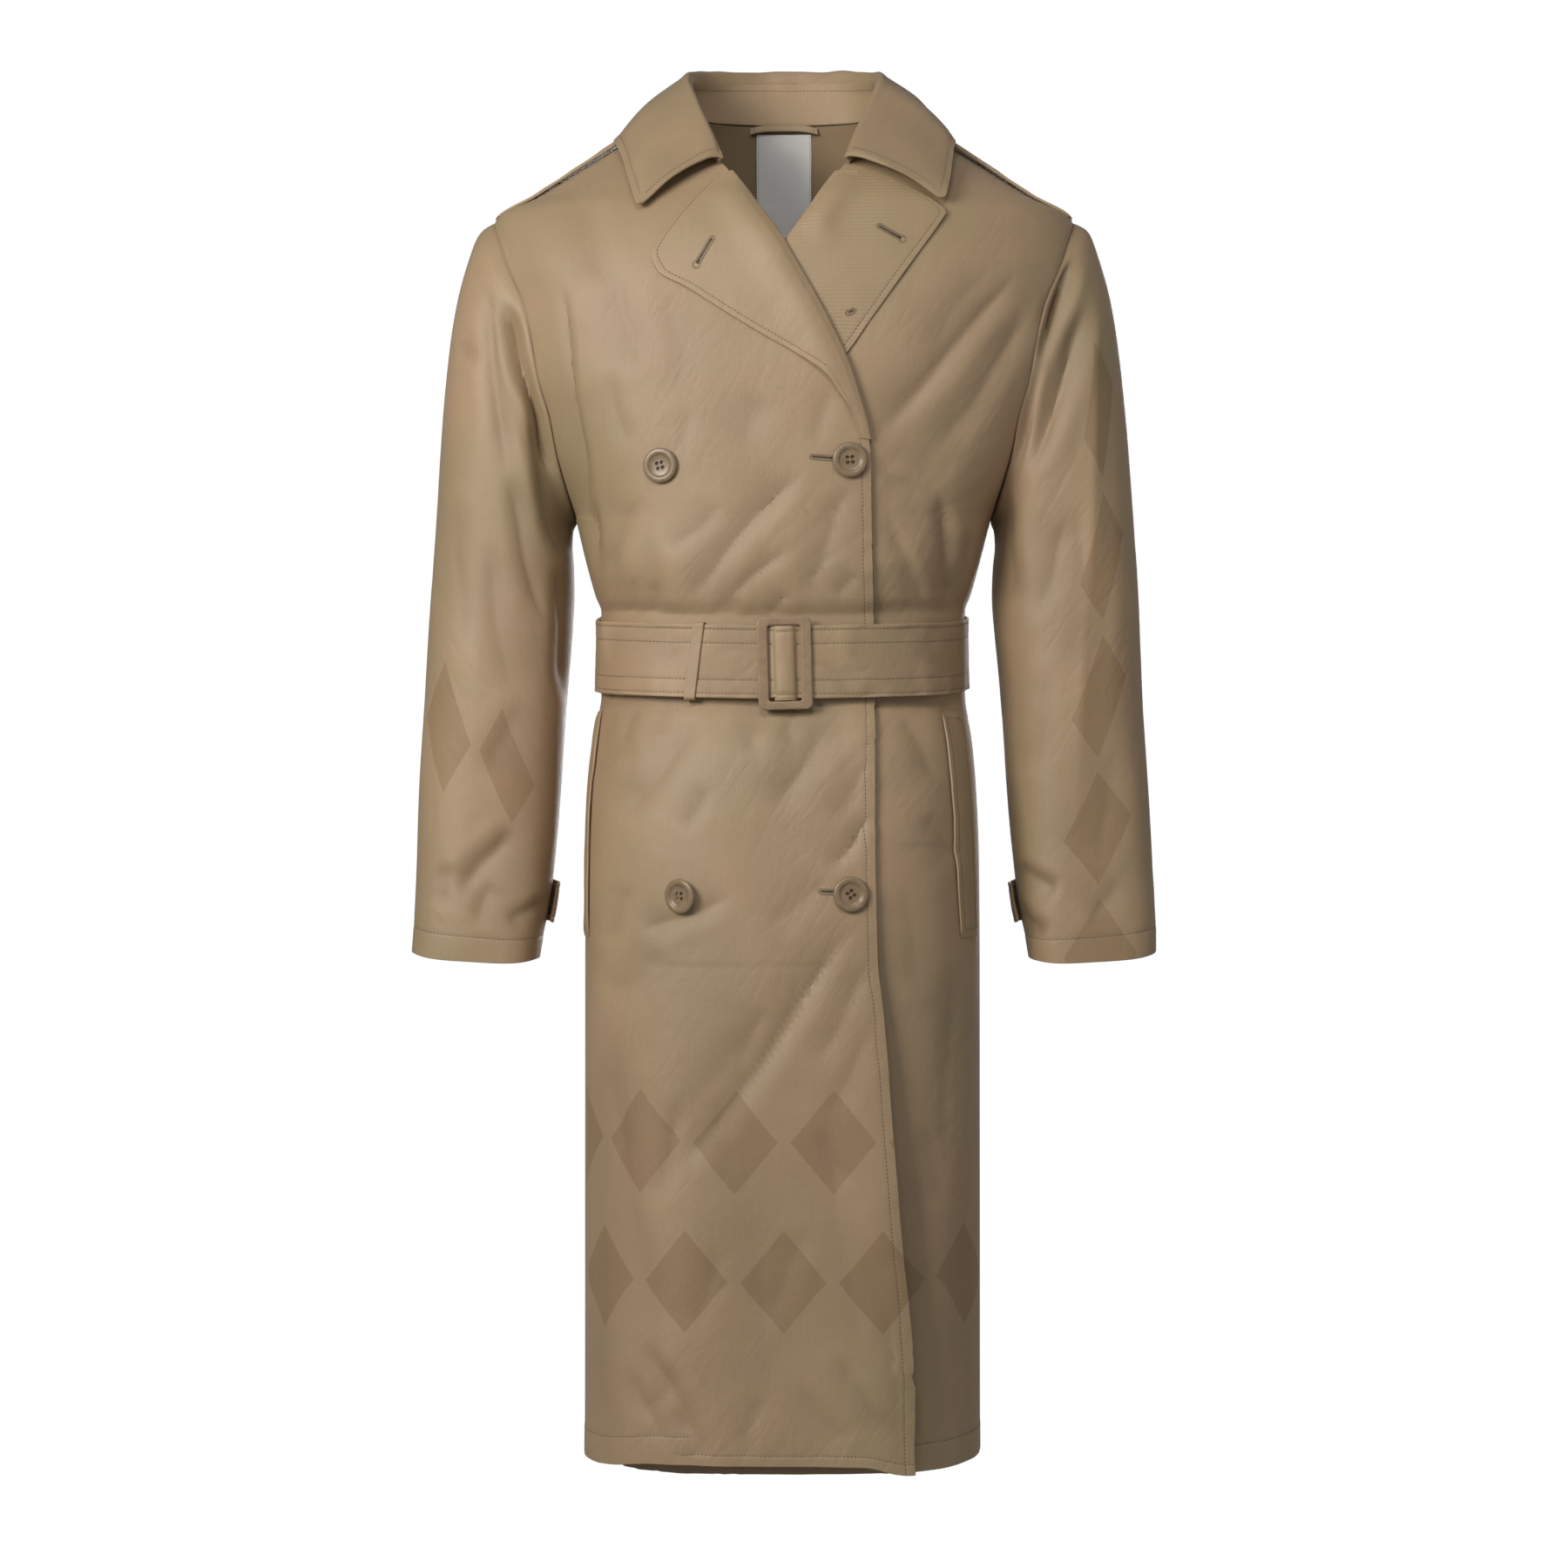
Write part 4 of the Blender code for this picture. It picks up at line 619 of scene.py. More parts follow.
def quad_mesh(name, points, quads, finish, sharp=50, uv=None, tone=None):
    """A mesh from arrays, with its faces turned out and a UV map in metres. The tone of each
    point, painted shade below 0 in a seam and a painted highlight above 0 on a turned edge,
    goes to the finish."""
    mesh = bpy.data.meshes.new(name)
    mesh.vertices.add(len(points))
    mesh.vertices.foreach_set("co", np.asarray(points, np.float32).ravel())
    mesh.loops.add(quads.size)
    mesh.loops.foreach_set("vertex_index", quads.astype(np.int32).ravel())
    mesh.polygons.add(len(quads))
    mesh.polygons.foreach_set("loop_start", np.arange(0, quads.size, 4, dtype=np.int32))
    mesh.update(calc_edges=True)
    mesh.validate()
    if uv is not None:
        layer = mesh.uv_layers.new(name="cloth")
        order = np.zeros(len(mesh.loops), np.int32)
        mesh.loops.foreach_get("vertex_index", order)
        layer.data.foreach_set("uv", uv[order].astype(np.float32).ravel())
    if tone is not None:
        layer = mesh.attributes.new("tone", "FLOAT", "POINT")
        layer.data.foreach_set("value", tone.astype(np.float32))
    turn_faces_out(mesh)
    mesh.materials.append(finish)
    mesh.shade_smooth()
    mesh.set_sharp_from_angle(angle=math.radians(sharp))
    return new_object(name, mesh)


def shell(name, outer, inner, uv, finish, tone=None, tube=False):
    """A closed wall between two grids. A tube's columns run all the way round."""
    shape = outer.shape[:2]
    behind = shape[0] * shape[1]
    ids = np.arange(behind).reshape(shape)
    if tube:
        ids = np.concatenate([ids, ids[:, :1]], axis=1)
    a, b, c, d = ids[:-1, :-1], ids[:-1, 1:], ids[1:, 1:], ids[1:, :-1]
    faces = [stacked(a, b, c, d), stacked(a, d, c, b) + behind]
    for edge in (ids[0], ids[-1]) if tube else (ids[0], ids[-1], ids[:, 0], ids[:, -1]):
        first, second = edge[:-1], edge[1:]
        faces.append(stacked(first, first + behind, second + behind, second))
    quads = np.concatenate([face.reshape(-1, 4) for face in faces])
    points = np.concatenate([outer.reshape(-1, 3), inner.reshape(-1, 3)])
    u, v = (np.broadcast_to(part, shape).ravel() for part in uv)
    uv = np.tile(stacked(u, v), (2, 1))
    if tone is not None:
        tone = np.pad(np.broadcast_to(tone, shape).ravel(), (0, behind))
    return quad_mesh(name, points, quads, finish, uv=uv, tone=tone)


def dressed(piece, node=None):
    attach(piece, "root")
    if node:
        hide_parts(node)
    return piece


def half_wall(thick, thin):
    """Half of a wall's thickness, nearly nothing where thin is 1, at a turned edge."""
    return thick / 2 * (1 - 0.97 * thin)


def two_faces(base, normal, centre, thick, thin):
    """Both faces of a sheet, its middle at that height over the base."""
    half = half_wall(thick, thin)
    return base + normal * (centre + half)[..., None], base + normal * (centre - half)[..., None]


def distances(points, axis):
    """Distance along a grid's rows or columns from its first point."""
    steps = np.linalg.norm(np.diff(points, axis=axis), axis=-1)
    zero = np.zeros_like(np.take(steps, [0], axis=axis))
    return np.concatenate([zero, np.cumsum(steps, axis=axis)], axis=axis)


EDGE_RADIUS = 0.0006
EDGE_STEPS = np.array([0, 0.00012, 0.0004, 0.0008, 0.0016, 0.0030, 0.0045])


def edge_round(distance):
    """How much thinner each face is at that distance from a turned edge, from 1 at it to 0."""
    f = np.clip(distance / EDGE_RADIUS, 0, 1)
    return 1 - np.sqrt(np.clip(1 - (1 - f) ** 2, 0, 1))


def painted_edge_shading(edge, lines):
    """Painted highlight on an edge's turn, and painted shade in its sewn lines."""
    tone = 0.25 * bell(edge, 0.0009)
    for line in lines:
        tone = tone - 0.40 * bell(edge - line, 0.0007)
    return tone


def sewn_lift(edge, line, rim):
    """Height near an edge: a soft rim with the groove of a sewn line inside it."""
    return 0.0001 * smooth((rim - edge) / 0.002) - 0.0005 * bell(edge - line, 0.0010)


def stitched_steps(lines):
    """Distances from an edge that carry its rounding and the grooves of its sewn lines."""
    steps = list(EDGE_STEPS)
    for line in lines:
        steps += [line - 0.0021, line - 0.0010, line, line + 0.0010, line + 0.0021]
    last = steps[-1]
    steps += [last + 0.002, last + 0.005]
    return np.array(sorted(set(np.round(steps, 5))))


def spread(steps, low, high, count):
    """Places from low to high: the close steps at both ends and even ones between them."""
    even = np.linspace(low + steps[-1], high - steps[-1], count)[1:-1]
    return np.concatenate([low + steps, even, high - steps[::-1]])


# ---------------------------------------------------------------- stitches

STITCHES = []


def stitch(path, normals, pitch=0.0031, share=0.68, radius=0.00036, lift=0.00010):
    """Stitches of thread along a path on the cloth. With no pitch it is one stitch."""
    path, normals = np.asarray(path), unit(np.asarray(normals))
    far = distances(path, 0)
    if pitch is None:
        pitch, share = 0.999 * far[-1], 1.0
    count = int(far[-1] / pitch)
    if count < 1:
        return
    start = (np.arange(count) + 0.5 * (1 - share)) * pitch + (far[-1] - count * pitch) / 2
    end = start + share * pitch

    def at(where, of):
        return np.stack([np.interp(where, far, of[:, i]) for i in range(3)], axis=-1)

    a, b = at(start, path), at(end, path)
    out = unit(at((start + end) / 2, normals))
    side = unit(np.cross(unit(b - a), out))
    rings = []
    for f, wide, up in ((0.0, 0.25, -0.6), (0.16, 0.85, 0.2), (0.84, 0.85, 0.2), (1.0, 0.25, -0.6)):
        middle = a + (b - a) * f + out * (lift + up * radius)
        reach = radius * wide
        corners = [middle + way * reach for way in (side, out, -side, -out)]
        rings.append(np.stack(corners, axis=1))
    STITCHES.append(np.stack(rings, axis=1))


def run(grid, normals, rows, columns, **options):
    """Stitches along those points of a grid."""
    stitch(grid[rows, columns], normals[rows, columns], **options)


def make_stitches(name, finish):
    """All stitches gathered so far as one piece: each has four rings of four points."""
    points = np.concatenate(STITCHES)
    STITCHES.clear()
    first = (np.arange(len(points)) * 16)[:, None, None]
    ring_start = np.arange(3)[:, None] * 4
    i = np.arange(4)
    j = (i + 1) % 4
    sides = stacked(ring_start + i, ring_start + j, ring_start + 4 + j, ring_start + 4 + i)
    caps = np.array([[[0, 1, 2, 3], [12, 13, 14, 15]]])
    quads = np.concatenate([sides.reshape(1, -1, 4), caps], axis=1) + first
    dressed(quad_mesh(name, points.reshape(-1, 3), quads.reshape(-1, 4), finish, 80))


# ---------------------------------------------------------------- materials


class Value:
    """An output of a shader node. Arithmetic with it adds the nodes that do it."""

    def __init__(self, kit, output):
        self.kit = kit
        self.output = output

    def __add__(self, other):
        return self.kit.math("ADD", self, other)

    def __sub__(self, other):
        return self.kit.math("SUBTRACT", self, other)

    def __mul__(self, other):
        return self.kit.math("MULTIPLY", self, other)

    def __truediv__(self, other):
        return self.kit.math("DIVIDE", self, other)

    def __abs__(self):
        return self.kit.math("ABSOLUTE", self)

    def range(self, low, high, to_low=0.0, to_high=1.0):
        inputs = {0: self, 1: low, 2: high, 3: to_low, 4: to_high}
        return self.kit.node("ShaderNodeMapRange", inputs)


class Material:
    """Short calls to build a material's node tree."""

    def __init__(self, name, **looks):
        self.made = bpy.data.materials.new(name)
        self.made.use_nodes = True
        self.tree = self.made.node_tree
        self.solid = self.node("ShaderNodeTexCoord", {}, "Object")
        self.look(**looks)

    def fill(self, node, inputs):
        for key, value in inputs.items():
            if isinstance(value, Value):
                self.tree.links.new(value.output, node.inputs[key])
            else:
                node.inputs[key].default_value = value

    def node(self, kind, inputs, output=0, **settings):
        node = self.tree.nodes.new(kind)
        for key, value in settings.items():
            setattr(node, key, value)
        self.fill(node, inputs)
        return Value(self, node.outputs[output])

    def look(self, **looks):
        shader = self.tree.nodes["Principled BSDF"]
        self.fill(shader, {key.replace("_", " "): value for key, value in looks.items()})

    def math(self, operation, *values):
        return self.node("ShaderNodeMath", dict(enumerate(values)), operation=operation)

    def mix(self, share, a, b, blend="MIX"):
        inputs = {0: share, 6: a, 7: b}
        return self.node("ShaderNodeMix", inputs, 2, data_type="RGBA", blend_type=blend)

    def noise(self, vector, scale, detail=2.0, rough=0.5):
        inputs = {"Vector": vector, "Scale": scale, "Detail": detail, "Roughness": rough}
        return self.node("ShaderNodeTexNoise", inputs, "Fac")

    def split(self, vector):
        return [self.node("ShaderNodeSeparateXYZ", {0: vector}, i) for i in range(3)]

    def vector(self, *values):
        return self.node("ShaderNodeCombineXYZ", dict(enumerate(values)))

    def color(self, *values):
        return self.node("ShaderNodeCombineColor", dict(enumerate(values)))

    def mottled(self, color, scale, detail, low, high, rough=0.5):
        """Gives the material that color, darker and lighter from place to place."""
        shade = self.noise(self.solid, scale, detail, rough).range(0.3, 0.7, low, high)
        self.look(Base_Color=self.color(*(shade * channel for channel in color)))

    def bump(self, height, strength, distance, **normal):
        inputs = {"Height": height, "Strength": strength, "Distance": distance, **normal}
        bumped = self.node("ShaderNodeBump", inputs)
        self.look(Normal=bumped)
        return bumped


KHAKI = (0.372, 0.258, 0.149)
HUE_LEAN = (1.0, -0.6, 0.5)
PRINT_TINT = (0.82, 0.78, 0.72, 1)


def diamond_mask(kit, u, v, pitch_u, pitch_v, half_u, half_v, low_v, high_v, low_u, high_u, shift):
    """1 inside a row of diamonds, repeated along u, between two heights and two sides."""
    across = abs(kit.math("FRACT", u / pitch_u + shift) - 0.5)
    if pitch_v:
        up = abs(kit.math("FRACT", (v - low_v) / pitch_v) - 0.5) * (pitch_v / half_v)
    else:
        up = abs(v - (low_v + high_v) / 2) / half_v
    inside = (across * (pitch_u / half_u) + up).range(1.012, 0.988)
    for value, low, high in ((v, low_v, high_v), (u, low_u, high_u)):
        inside = inside * kit.math("GREATER_THAN", value, low)
        inside = inside * kit.math("LESS_THAN", value, high)
    return inside


def gabardine(name, pattern=(), rib=False, lean=1.0):
    """Satiny cotton gabardine: a fine steep twill, slubs, faint blotches and a soft sheen."""
    kit = Material(
        name, Roughness=0.50, Specular_IOR_Level=0.46, Sheen_Weight=0.10, Sheen_Roughness=0.35,
        Sheen_Tint=(1.0, 0.90, 0.76, 1),
    )
    u, v, _ = kit.split(kit.node("ShaderNodeTexCoord", {}, "UV"))
    side, depth, up = kit.split(kit.solid)
    blotch = kit.noise(kit.solid, 7.0, 3.0, 0.55)
    slub = kit.noise(kit.solid, 900.0, 2.0, 0.7)
    shade = blotch.range(0.30, 0.70, 0.94, 1.06) * slub.range(0.25, 0.75, 0.965, 1.035)
    # weft slubs are long and thin across the cloth, warp streaks down it
    weft = kit.noise(kit.vector(u * 60.0, v * 1400.0), 1.0, 1.0).range(0.3, 0.7, 0.985, 1.015)
    warp = kit.noise(kit.vector(u * 700.0, v * 22.0), 1.0, 2.0).range(0.3, 0.7, 0.975, 1.025)
    # each point's tone: painted shade and painted highlights, with random blotches on the collar's
    # leaf
    painted_shade_and_blotches = kit.node("ShaderNodeAttribute", {}, "Fac", attribute_name="tone")
    shade = shade * (weft * warp) * painted_shade_and_blotches.range(-1.0, 1.0, 0.70, 1.24)
    # the dye leans a little to olive in one place and to pink in another
    hue = blotch.range(0.3, 0.7, -0.032, 0.032)
    leaning = [shade * (hue * share + 1.0) for share in HUE_LEAN]
    base = kit.color(*(part * channel for part, channel in zip(leaning, KHAKI)))
    mask = None
    for row in pattern:
        one = diamond_mask(kit, u, v, *row)
        mask = kit.math("MAXIMUM", mask, one) if mask else one
    if mask:
        base = kit.mix(mask, base, kit.mix(1.0, base, PRINT_TINT, "MULTIPLY"))
        kit.look(Roughness=mask.range(0.0, 1.0, 0.50, 0.57))
    kit.look(Base_Color=base)

    # soft hand of the cloth between the folds, with faint creases of wear, long on the bias
    side = side * lean
    bias = kit.vector(side * 9.0 + up * 14.0, side * 52.0 - up * 33.0, depth * 8.0)
    crease = abs(kit.noise(bias, 1.0, 2.5) - 0.5).range(0.0, 0.11)
    crease = crease * kit.noise(kit.solid, 8.0, 2.0).range(0.42, 0.60)
    lumps = kit.noise(kit.solid, 46.0, 3.0) + kit.noise(kit.solid, 17.0, 2.0) * 2.2
    hand = kit.bump(lumps + crease * 0.5, 0.30, 0.0012)
    # the twill: steep fine ribs, each broken along its length
    twill = kit.math("SINE", (u * 1900.0 + v * 1030.0) * math.pi)
    cross = kit.math("SINE", v * (2600.0 * math.pi))
    height = twill * 0.6 + cross * 0.25 + slub * 1.6
    if rib:
        height = height + kit.math("SINE", (v * 330.0 + blotch * 2.0) * (2 * math.pi)) * 2.2
    kit.bump(height, 0.22, 0.00022, Normal=hand)
    return kit.made


def thread_finish(name, color):
    kit = Material(name, Roughness=0.5, Specular_IOR_Level=0.4, Sheen_Weight=0.2)
    kit.mottled(color, 2600.0, 1.0, 0.85, 1.1)
    return kit.made


def moulded(name, color, rough):
    """Semi-gloss moulded plastic with a faint grain and darker swirls."""
    kit = Material(
        name, Roughness=rough, Specular_IOR_Level=0.5, Coat_Weight=0.12, Coat_Roughness=0.25)
    kit.mottled(color, 180.0, 4.0, 0.86, 1.12, 0.6)
    kit.bump(kit.noise(kit.solid, 1500.0, 2.0), 0.12, 0.0002)
    return kit.made


def label_finish():
    kit = Material("label_tape", Roughness=0.5, Specular_IOR_Level=0.35, Sheen_Weight=0.15)
    kit.mottled((0.97, 0.955, 0.925), 30.0, 3.0, 0.95, 1.04)
    u, v, _ = kit.split(kit.node("ShaderNodeTexCoord", {}, "UV"))
    ribs = kit.math("SINE", v * (2 * math.pi * 1100.0))
    warp = kit.math("SINE", u * (2 * math.pi * 900.0))
    kit.bump(ribs + warp * 0.5, 0.3, 0.0002)
    return kit.made


# Rows of the generic design: pitch_u, pitch_v (0 for one row), half_u, half_v, low_v, high_v,
# low_u, high_u, shift.
SKIRT_DESIGN = (
    (0.078, 0, 0.034, 0.041, -0.864, -0.782, -0.117, 0.195, 0.0),
    (0.078, 0, 0.034, 0.041, -0.974, -0.892, -0.190, 0.190, 0.5),
)
RIGHT_SLEEVE_DESIGN = ((0.062, 0, 0.027, 0.0455, 0.275, 0.366, 0.030, 0.154, 0.516),)
LEFT_SLEEVE_DESIGN = ((0.070, 0.096, 0.030, 0.043, 0.048, 0.528, 0.050, 0.120, 0.286),)

PLAIN = gabardine("gabardine")
PRINTED = gabardine("gabardine_skirt", pattern=SKIRT_DESIGN)
PRINTED_UNDER = gabardine("gabardine_under_skirt", pattern=SKIRT_DESIGN[1:])
SLEEVE_RIGHT = gabardine("gabardine_right_sleeve", pattern=RIGHT_SLEEVE_DESIGN, lean=-1.0)
SLEEVE_LEFT = gabardine("gabardine_left_sleeve", pattern=LEFT_SLEEVE_DESIGN)
FACING = gabardine("gabardine_facing", rib=True)
THREAD = thread_finish("sewing_thread", (0.175, 0.118, 0.068))
HOLE_THREAD = thread_finish("buttonhole_thread", (0.250, 0.172, 0.100))
PLASTIC = moulded("khaki_plastic", (0.240, 0.165, 0.096), 0.32)
BUCKLE_PLASTIC = moulded("khaki_buckle", (0.292, 0.197, 0.118), 0.34)
LABEL = label_finish()
# a near-black sheet in each buttonhole's slit: painted shade
SLIT_SHADE = moulded("button_shadow", (0.020, 0.014, 0.010), 0.7)

# the words and the signs of x of the wearer's right and left side
SIDES = (("right", -1), ("left", 1))


# ---------------------------------------------------------------- panels

CELL = 0.0036
FREE_SEWN = 0.0075
SEWN_BELOW = -0.262  # where the free edge's stitches start, below the lapel's roll
HEM_LINES = (0.0085, 0.0220)
PLAIN_EDGE = np.array([0, 0.0005, 0.0011, 0.0019, 0.0030, 0.0050])
FREE_EDGE = stitched_steps([FREE_SEWN])


def panel_rows():
    """Heights of a panel's rows: close at the hem and at both ends of the armhole, widest
    apart in the lower skirt."""
    hem = HEM_Z + stitched_steps(HEM_LINES)
    low = np.arange(hem[-1] + 0.003, -0.700, 1.45 * CELL)
    rest = np.append(low, np.arange(low[-1] + CELL, ARMPIT_Z - 0.002, 0.72 * CELL))
    arm = ARMPIT_Z + (1 - np.cos(np.linspace(0, math.pi, 66))) / 2 * (TIP_Z - ARMPIT_Z)
    neck = np.linspace(TIP_Z, NECK_Z, 27)[1:]
    return np.concatenate([hem, rest, arm, neck])


def speed(theta, z):
    """Metres of cloth for each radian."""
    step = 1e-3
    return np.linalg.norm(body(theta + step, z) - body(theta - step, z), axis=-1) / (2 * step)


def panel_columns(first, last, level, steps, middle):
    """Angles of a panel's columns, close at both edges, and their distances from each edge, 1
    where a column isn't close to it."""
    way = np.sign(last - first)
    first_turn, last_turn = steps / speed(first, level), PLAIN_EDGE / speed(last, level)
    # the close columns shrink where the panel itself is narrow
    used = (first_turn[:, -1:] + last_turn[:, -1:]) / ((last - first) * way)
    squeeze = np.minimum(1, 0.7 / np.maximum(used, 1e-6))
    near = first + way * first_turn * squeeze
    far = last - way * last_turn[:, ::-1] * squeeze
    share = np.linspace(0, 1, middle + 2)[1:-1]
    between = near[:, -1:] + (far[:, :1] - near[:, -1:]) * share
    from_first = np.pad(steps, (0, middle + len(PLAIN_EDGE)), constant_values=1.0)
    from_last = np.pad(PLAIN_EDGE[::-1], (len(steps) + middle, 0), constant_values=1.0)
    return np.concatenate([near, between, far], axis=1), from_first, from_last


def panel(name, first_theta, last_theta, offset, hem, middle, finish, origin, sewn, free=True):
    """A cut panel. Its first edge is a free front edge or a seam, its last edge a seam. middle
    counts its wide columns, origin is 0 where its UV map starts, and sewn gives, for each line
    of its hem, where along x it is stitched."""
    level = panel_rows()[:, None]
    steps = FREE_EDGE if free else PLAIN_EDGE
    theta, from_first, from_last = panel_columns(
        first_theta(level), last_theta(level), level, steps, middle)
    from_hem = level - HEM_Z
    z = level + hem(theta, level) * smooth((0.16 - from_hem) / 0.16)
    base, normal = body(theta, z), body_normal(theta, z)

    height = offset(theta, z)
    # tone: a painted highlight on the hem's turned edge, painted light and shade on the creases
    tone = 0.25 * bell(from_hem, 0.0009) + painted_relief_shading(body(theta, z, True))
    thin = edge_round(from_hem)
    seams = [from_last]
    if free:
        thin = np.maximum(thin, edge_round(from_first))
        here = level < SEWN_BELOW
        height = height + 0.00010 * smooth((FREE_SEWN + 0.001 - from_first) / 0.002)
        height = height - 0.00022 * bell(from_first - FREE_SEWN, 0.0010) * here
        height = height + 0.00050 * ripple(z, theta, 0.011, 1.0, 2) * bell(from_first, 0.011) * here
        # painted highlight on the free edge's turn, painted shade in its sewn line
        tone = tone + painted_edge_shading(from_first, [FREE_SEWN]) * here
    else:
        seams.append(from_first)
    # the side seams lie in a dip, with painted shade in it, and draw up a little all the way down
    for seam in seams:
        height = height - 0.0005 * bell(seam, 0.0018)
        tone = tone - 0.5 * bell(seam, 0.0012)
    drawn = bell(np.minimum.reduce(seams), 0.014)
    height = height + 0.0006 * ripple(z, theta, 0.024, 1.0, 6) * drawn
    around = ripple(theta * BODY_RADIUS, z, 0.013, 1.0, 4)
    height = height + 0.00050 * around * bell(from_hem, 0.026)
    turned_up = 0
    for line, where in zip(HEM_LINES, sewn):
        here = where(base[..., 0])
        height = height - 0.00034 * bell(from_hem - line, 0.0010) * here
        # painted shade in the hem's sewn line
        tone = tone - 0.40 * bell(from_hem - line, 0.0007) * here
        turned_up = np.maximum(turned_up, here * smooth((line + 0.001 - from_hem) / 0.002))
    height = height + 0.00025 * turned_up
    outer, inner = two_faces(base, normal, height - CLOTH / 2, CLOTH, thin)
    across = distances(outer, 1)
    start = [np.interp(0.0, angles, row) for angles, row in zip(origin(theta), across)]
    uv = across - np.array(start)[:, None], level
    piece = dressed(shell("coat_" + name, outer, inner, uv, finish, tone), name)
    if free:
        run(outer, normal, outer[:, 0, 2] < SEWN_BELOW, nearest(FREE_EDGE, FREE_SEWN))
    for line, where in reversed(list(zip(HEM_LINES, sewn))):
        row = nearest(from_hem[:, 0], line)
        here = where(outer[row, :, 0]) > 0.5
        if here.any():
            run(outer, normal, row, here)
    return piece


def make_panels():
    turning = 0.004

    def nowhere(x):
        return 0 * x

    def everywhere(x):
        return 0 * x + 1

    def flat(theta, z):
        return 0 * theta

    def back_side(z):
        return side_theta(z, front=False) - turning

    top_sewn = (
        lambda x: smooth((x + 0.086) / 0.004),
        lambda x: smooth((-0.070 - x) / 0.004),
    )
    top = panel(
        "right_front", top_edge_theta, lambda z: -side_theta(z) - turning, top_outer, top_hem,
        84, PRINTED, lambda theta: -theta, top_sewn)
    under = panel(
        "left_front", under_edge_theta, lambda z: side_theta(z) + turning, under_outer, under_hem,
        94, PRINTED_UNDER, lambda theta: theta, (nowhere, everywhere))
    back = panel(
        "back", back_side, lambda z: 2 * math.pi - back_side(z), flat, flat,
        120, PLAIN, lambda theta: theta - math.pi, (nowhere, everywhere), free=False)
    make_stitches("panel_stitches", THREAD)
    return top, under, back


# ---------------------------------------------------------------- sleeves


def sleeve_table():
    """The sleeve's sections, each with its distance down the sleeve in front."""
    rows = np.array(SLEEVE)
    middle = (rows[:, 0:2] + rows[:, 2:4]) / 2
    return np.column_stack([distances(middle, 0), rows])


SLEEVE_ROWS = sleeve_table()
SLEEVE_LENGTH = SLEEVE_ROWS[-1, 0]
CUFF_LINE = 0.0195


def sleeve(side, phi, along, relief=False):
    """Points of a sleeve: phi is 0 at its outer edge, 90 degrees at the front, 180 inside."""
    phi, along = np.broadcast_arrays(np.asarray(phi, float), np.asarray(along, float))
    table = spline(SLEEVE_ROWS, along)
    outer_x, outer_z, inner_x, inner_z, front, back, shift, square, bow = table
    cosine, sine = np.cos(phi), np.sin(phi)
    reach = (np.abs(cosine) ** square + np.abs(sine) ** square) ** (-1 / square)
    cosine, sine = cosine * reach, sine * reach
    x = (outer_x + inner_x) / 2 + (outer_x - inner_x) / 2 * cosine
    z = (outer_z + inner_z) / 2 + (outer_z - inner_z) / 2 * cosine
    y = shift - np.where(sine > 0, front, back) * sine
    # the head of the sleeve bows out to the armhole of the body
    armhole_x = spline(BODY, ARMPIT_Z + (1 + cosine) / 2 * (TIP_Z - ARMPIT_Z))[0]
    head_x, head_inner_x = SLEEVE[0][0], SLEEVE[0][2]
    x = x + bow * (armhole_x - (head_x + head_inner_x) / 2 - (head_x - head_inner_x) / 2 * cosine)
    z = z - 0.004 * (1 - cosine**4) * smooth((along / SLEEVE_LENGTH - 0.85) / 0.15)
    height = 0
    for *crease, face in LEFT_SLEEVE_CREASES if side > 0 else RIGHT_SLEEVE_CREASES:
        height = height + 1.25 * smooth(sine * -face / 0.5) * crease_height([crease], x, z)
    round_u, round_v = SLEEVE_RADIUS * np.cos(phi), SLEEVE_RADIUS * np.sin(phi)
    height = height + 0.0011 * ripple(round_u + side, along + round_v, 0.040, 0.130)
    height = height + 0.00025 * ripple(round_v + side, along + round_u, 0.020, 0.060, 3)
    lively = 0.5 + 0.5 * bell(along - 0.13, 0.10) + 0.5 * smooth((along - 0.38) / 0.1)
    facing = np.where(sine > 0, 1.0, -1.0)
    wrinkles = crumple(facing * x, z, 1.15 * facing, 0.060, 0.024, 2 + side + facing)
    height = height + 0.00055 * lively * np.sqrt(np.abs(sine)) * wrinkles
    height = height * smooth(along / 0.010) * smooth((SLEEVE_LENGTH - along) / 0.022 + 0.25)
    if relief:
        return height
    return np.stack([side * (x + height * cosine + GAP), y - height * sine, z], axis=-1)


def sleeve_normal(side, phi, along):
    return side * normal_of(lambda around, down: sleeve(side, around, down), phi, along)


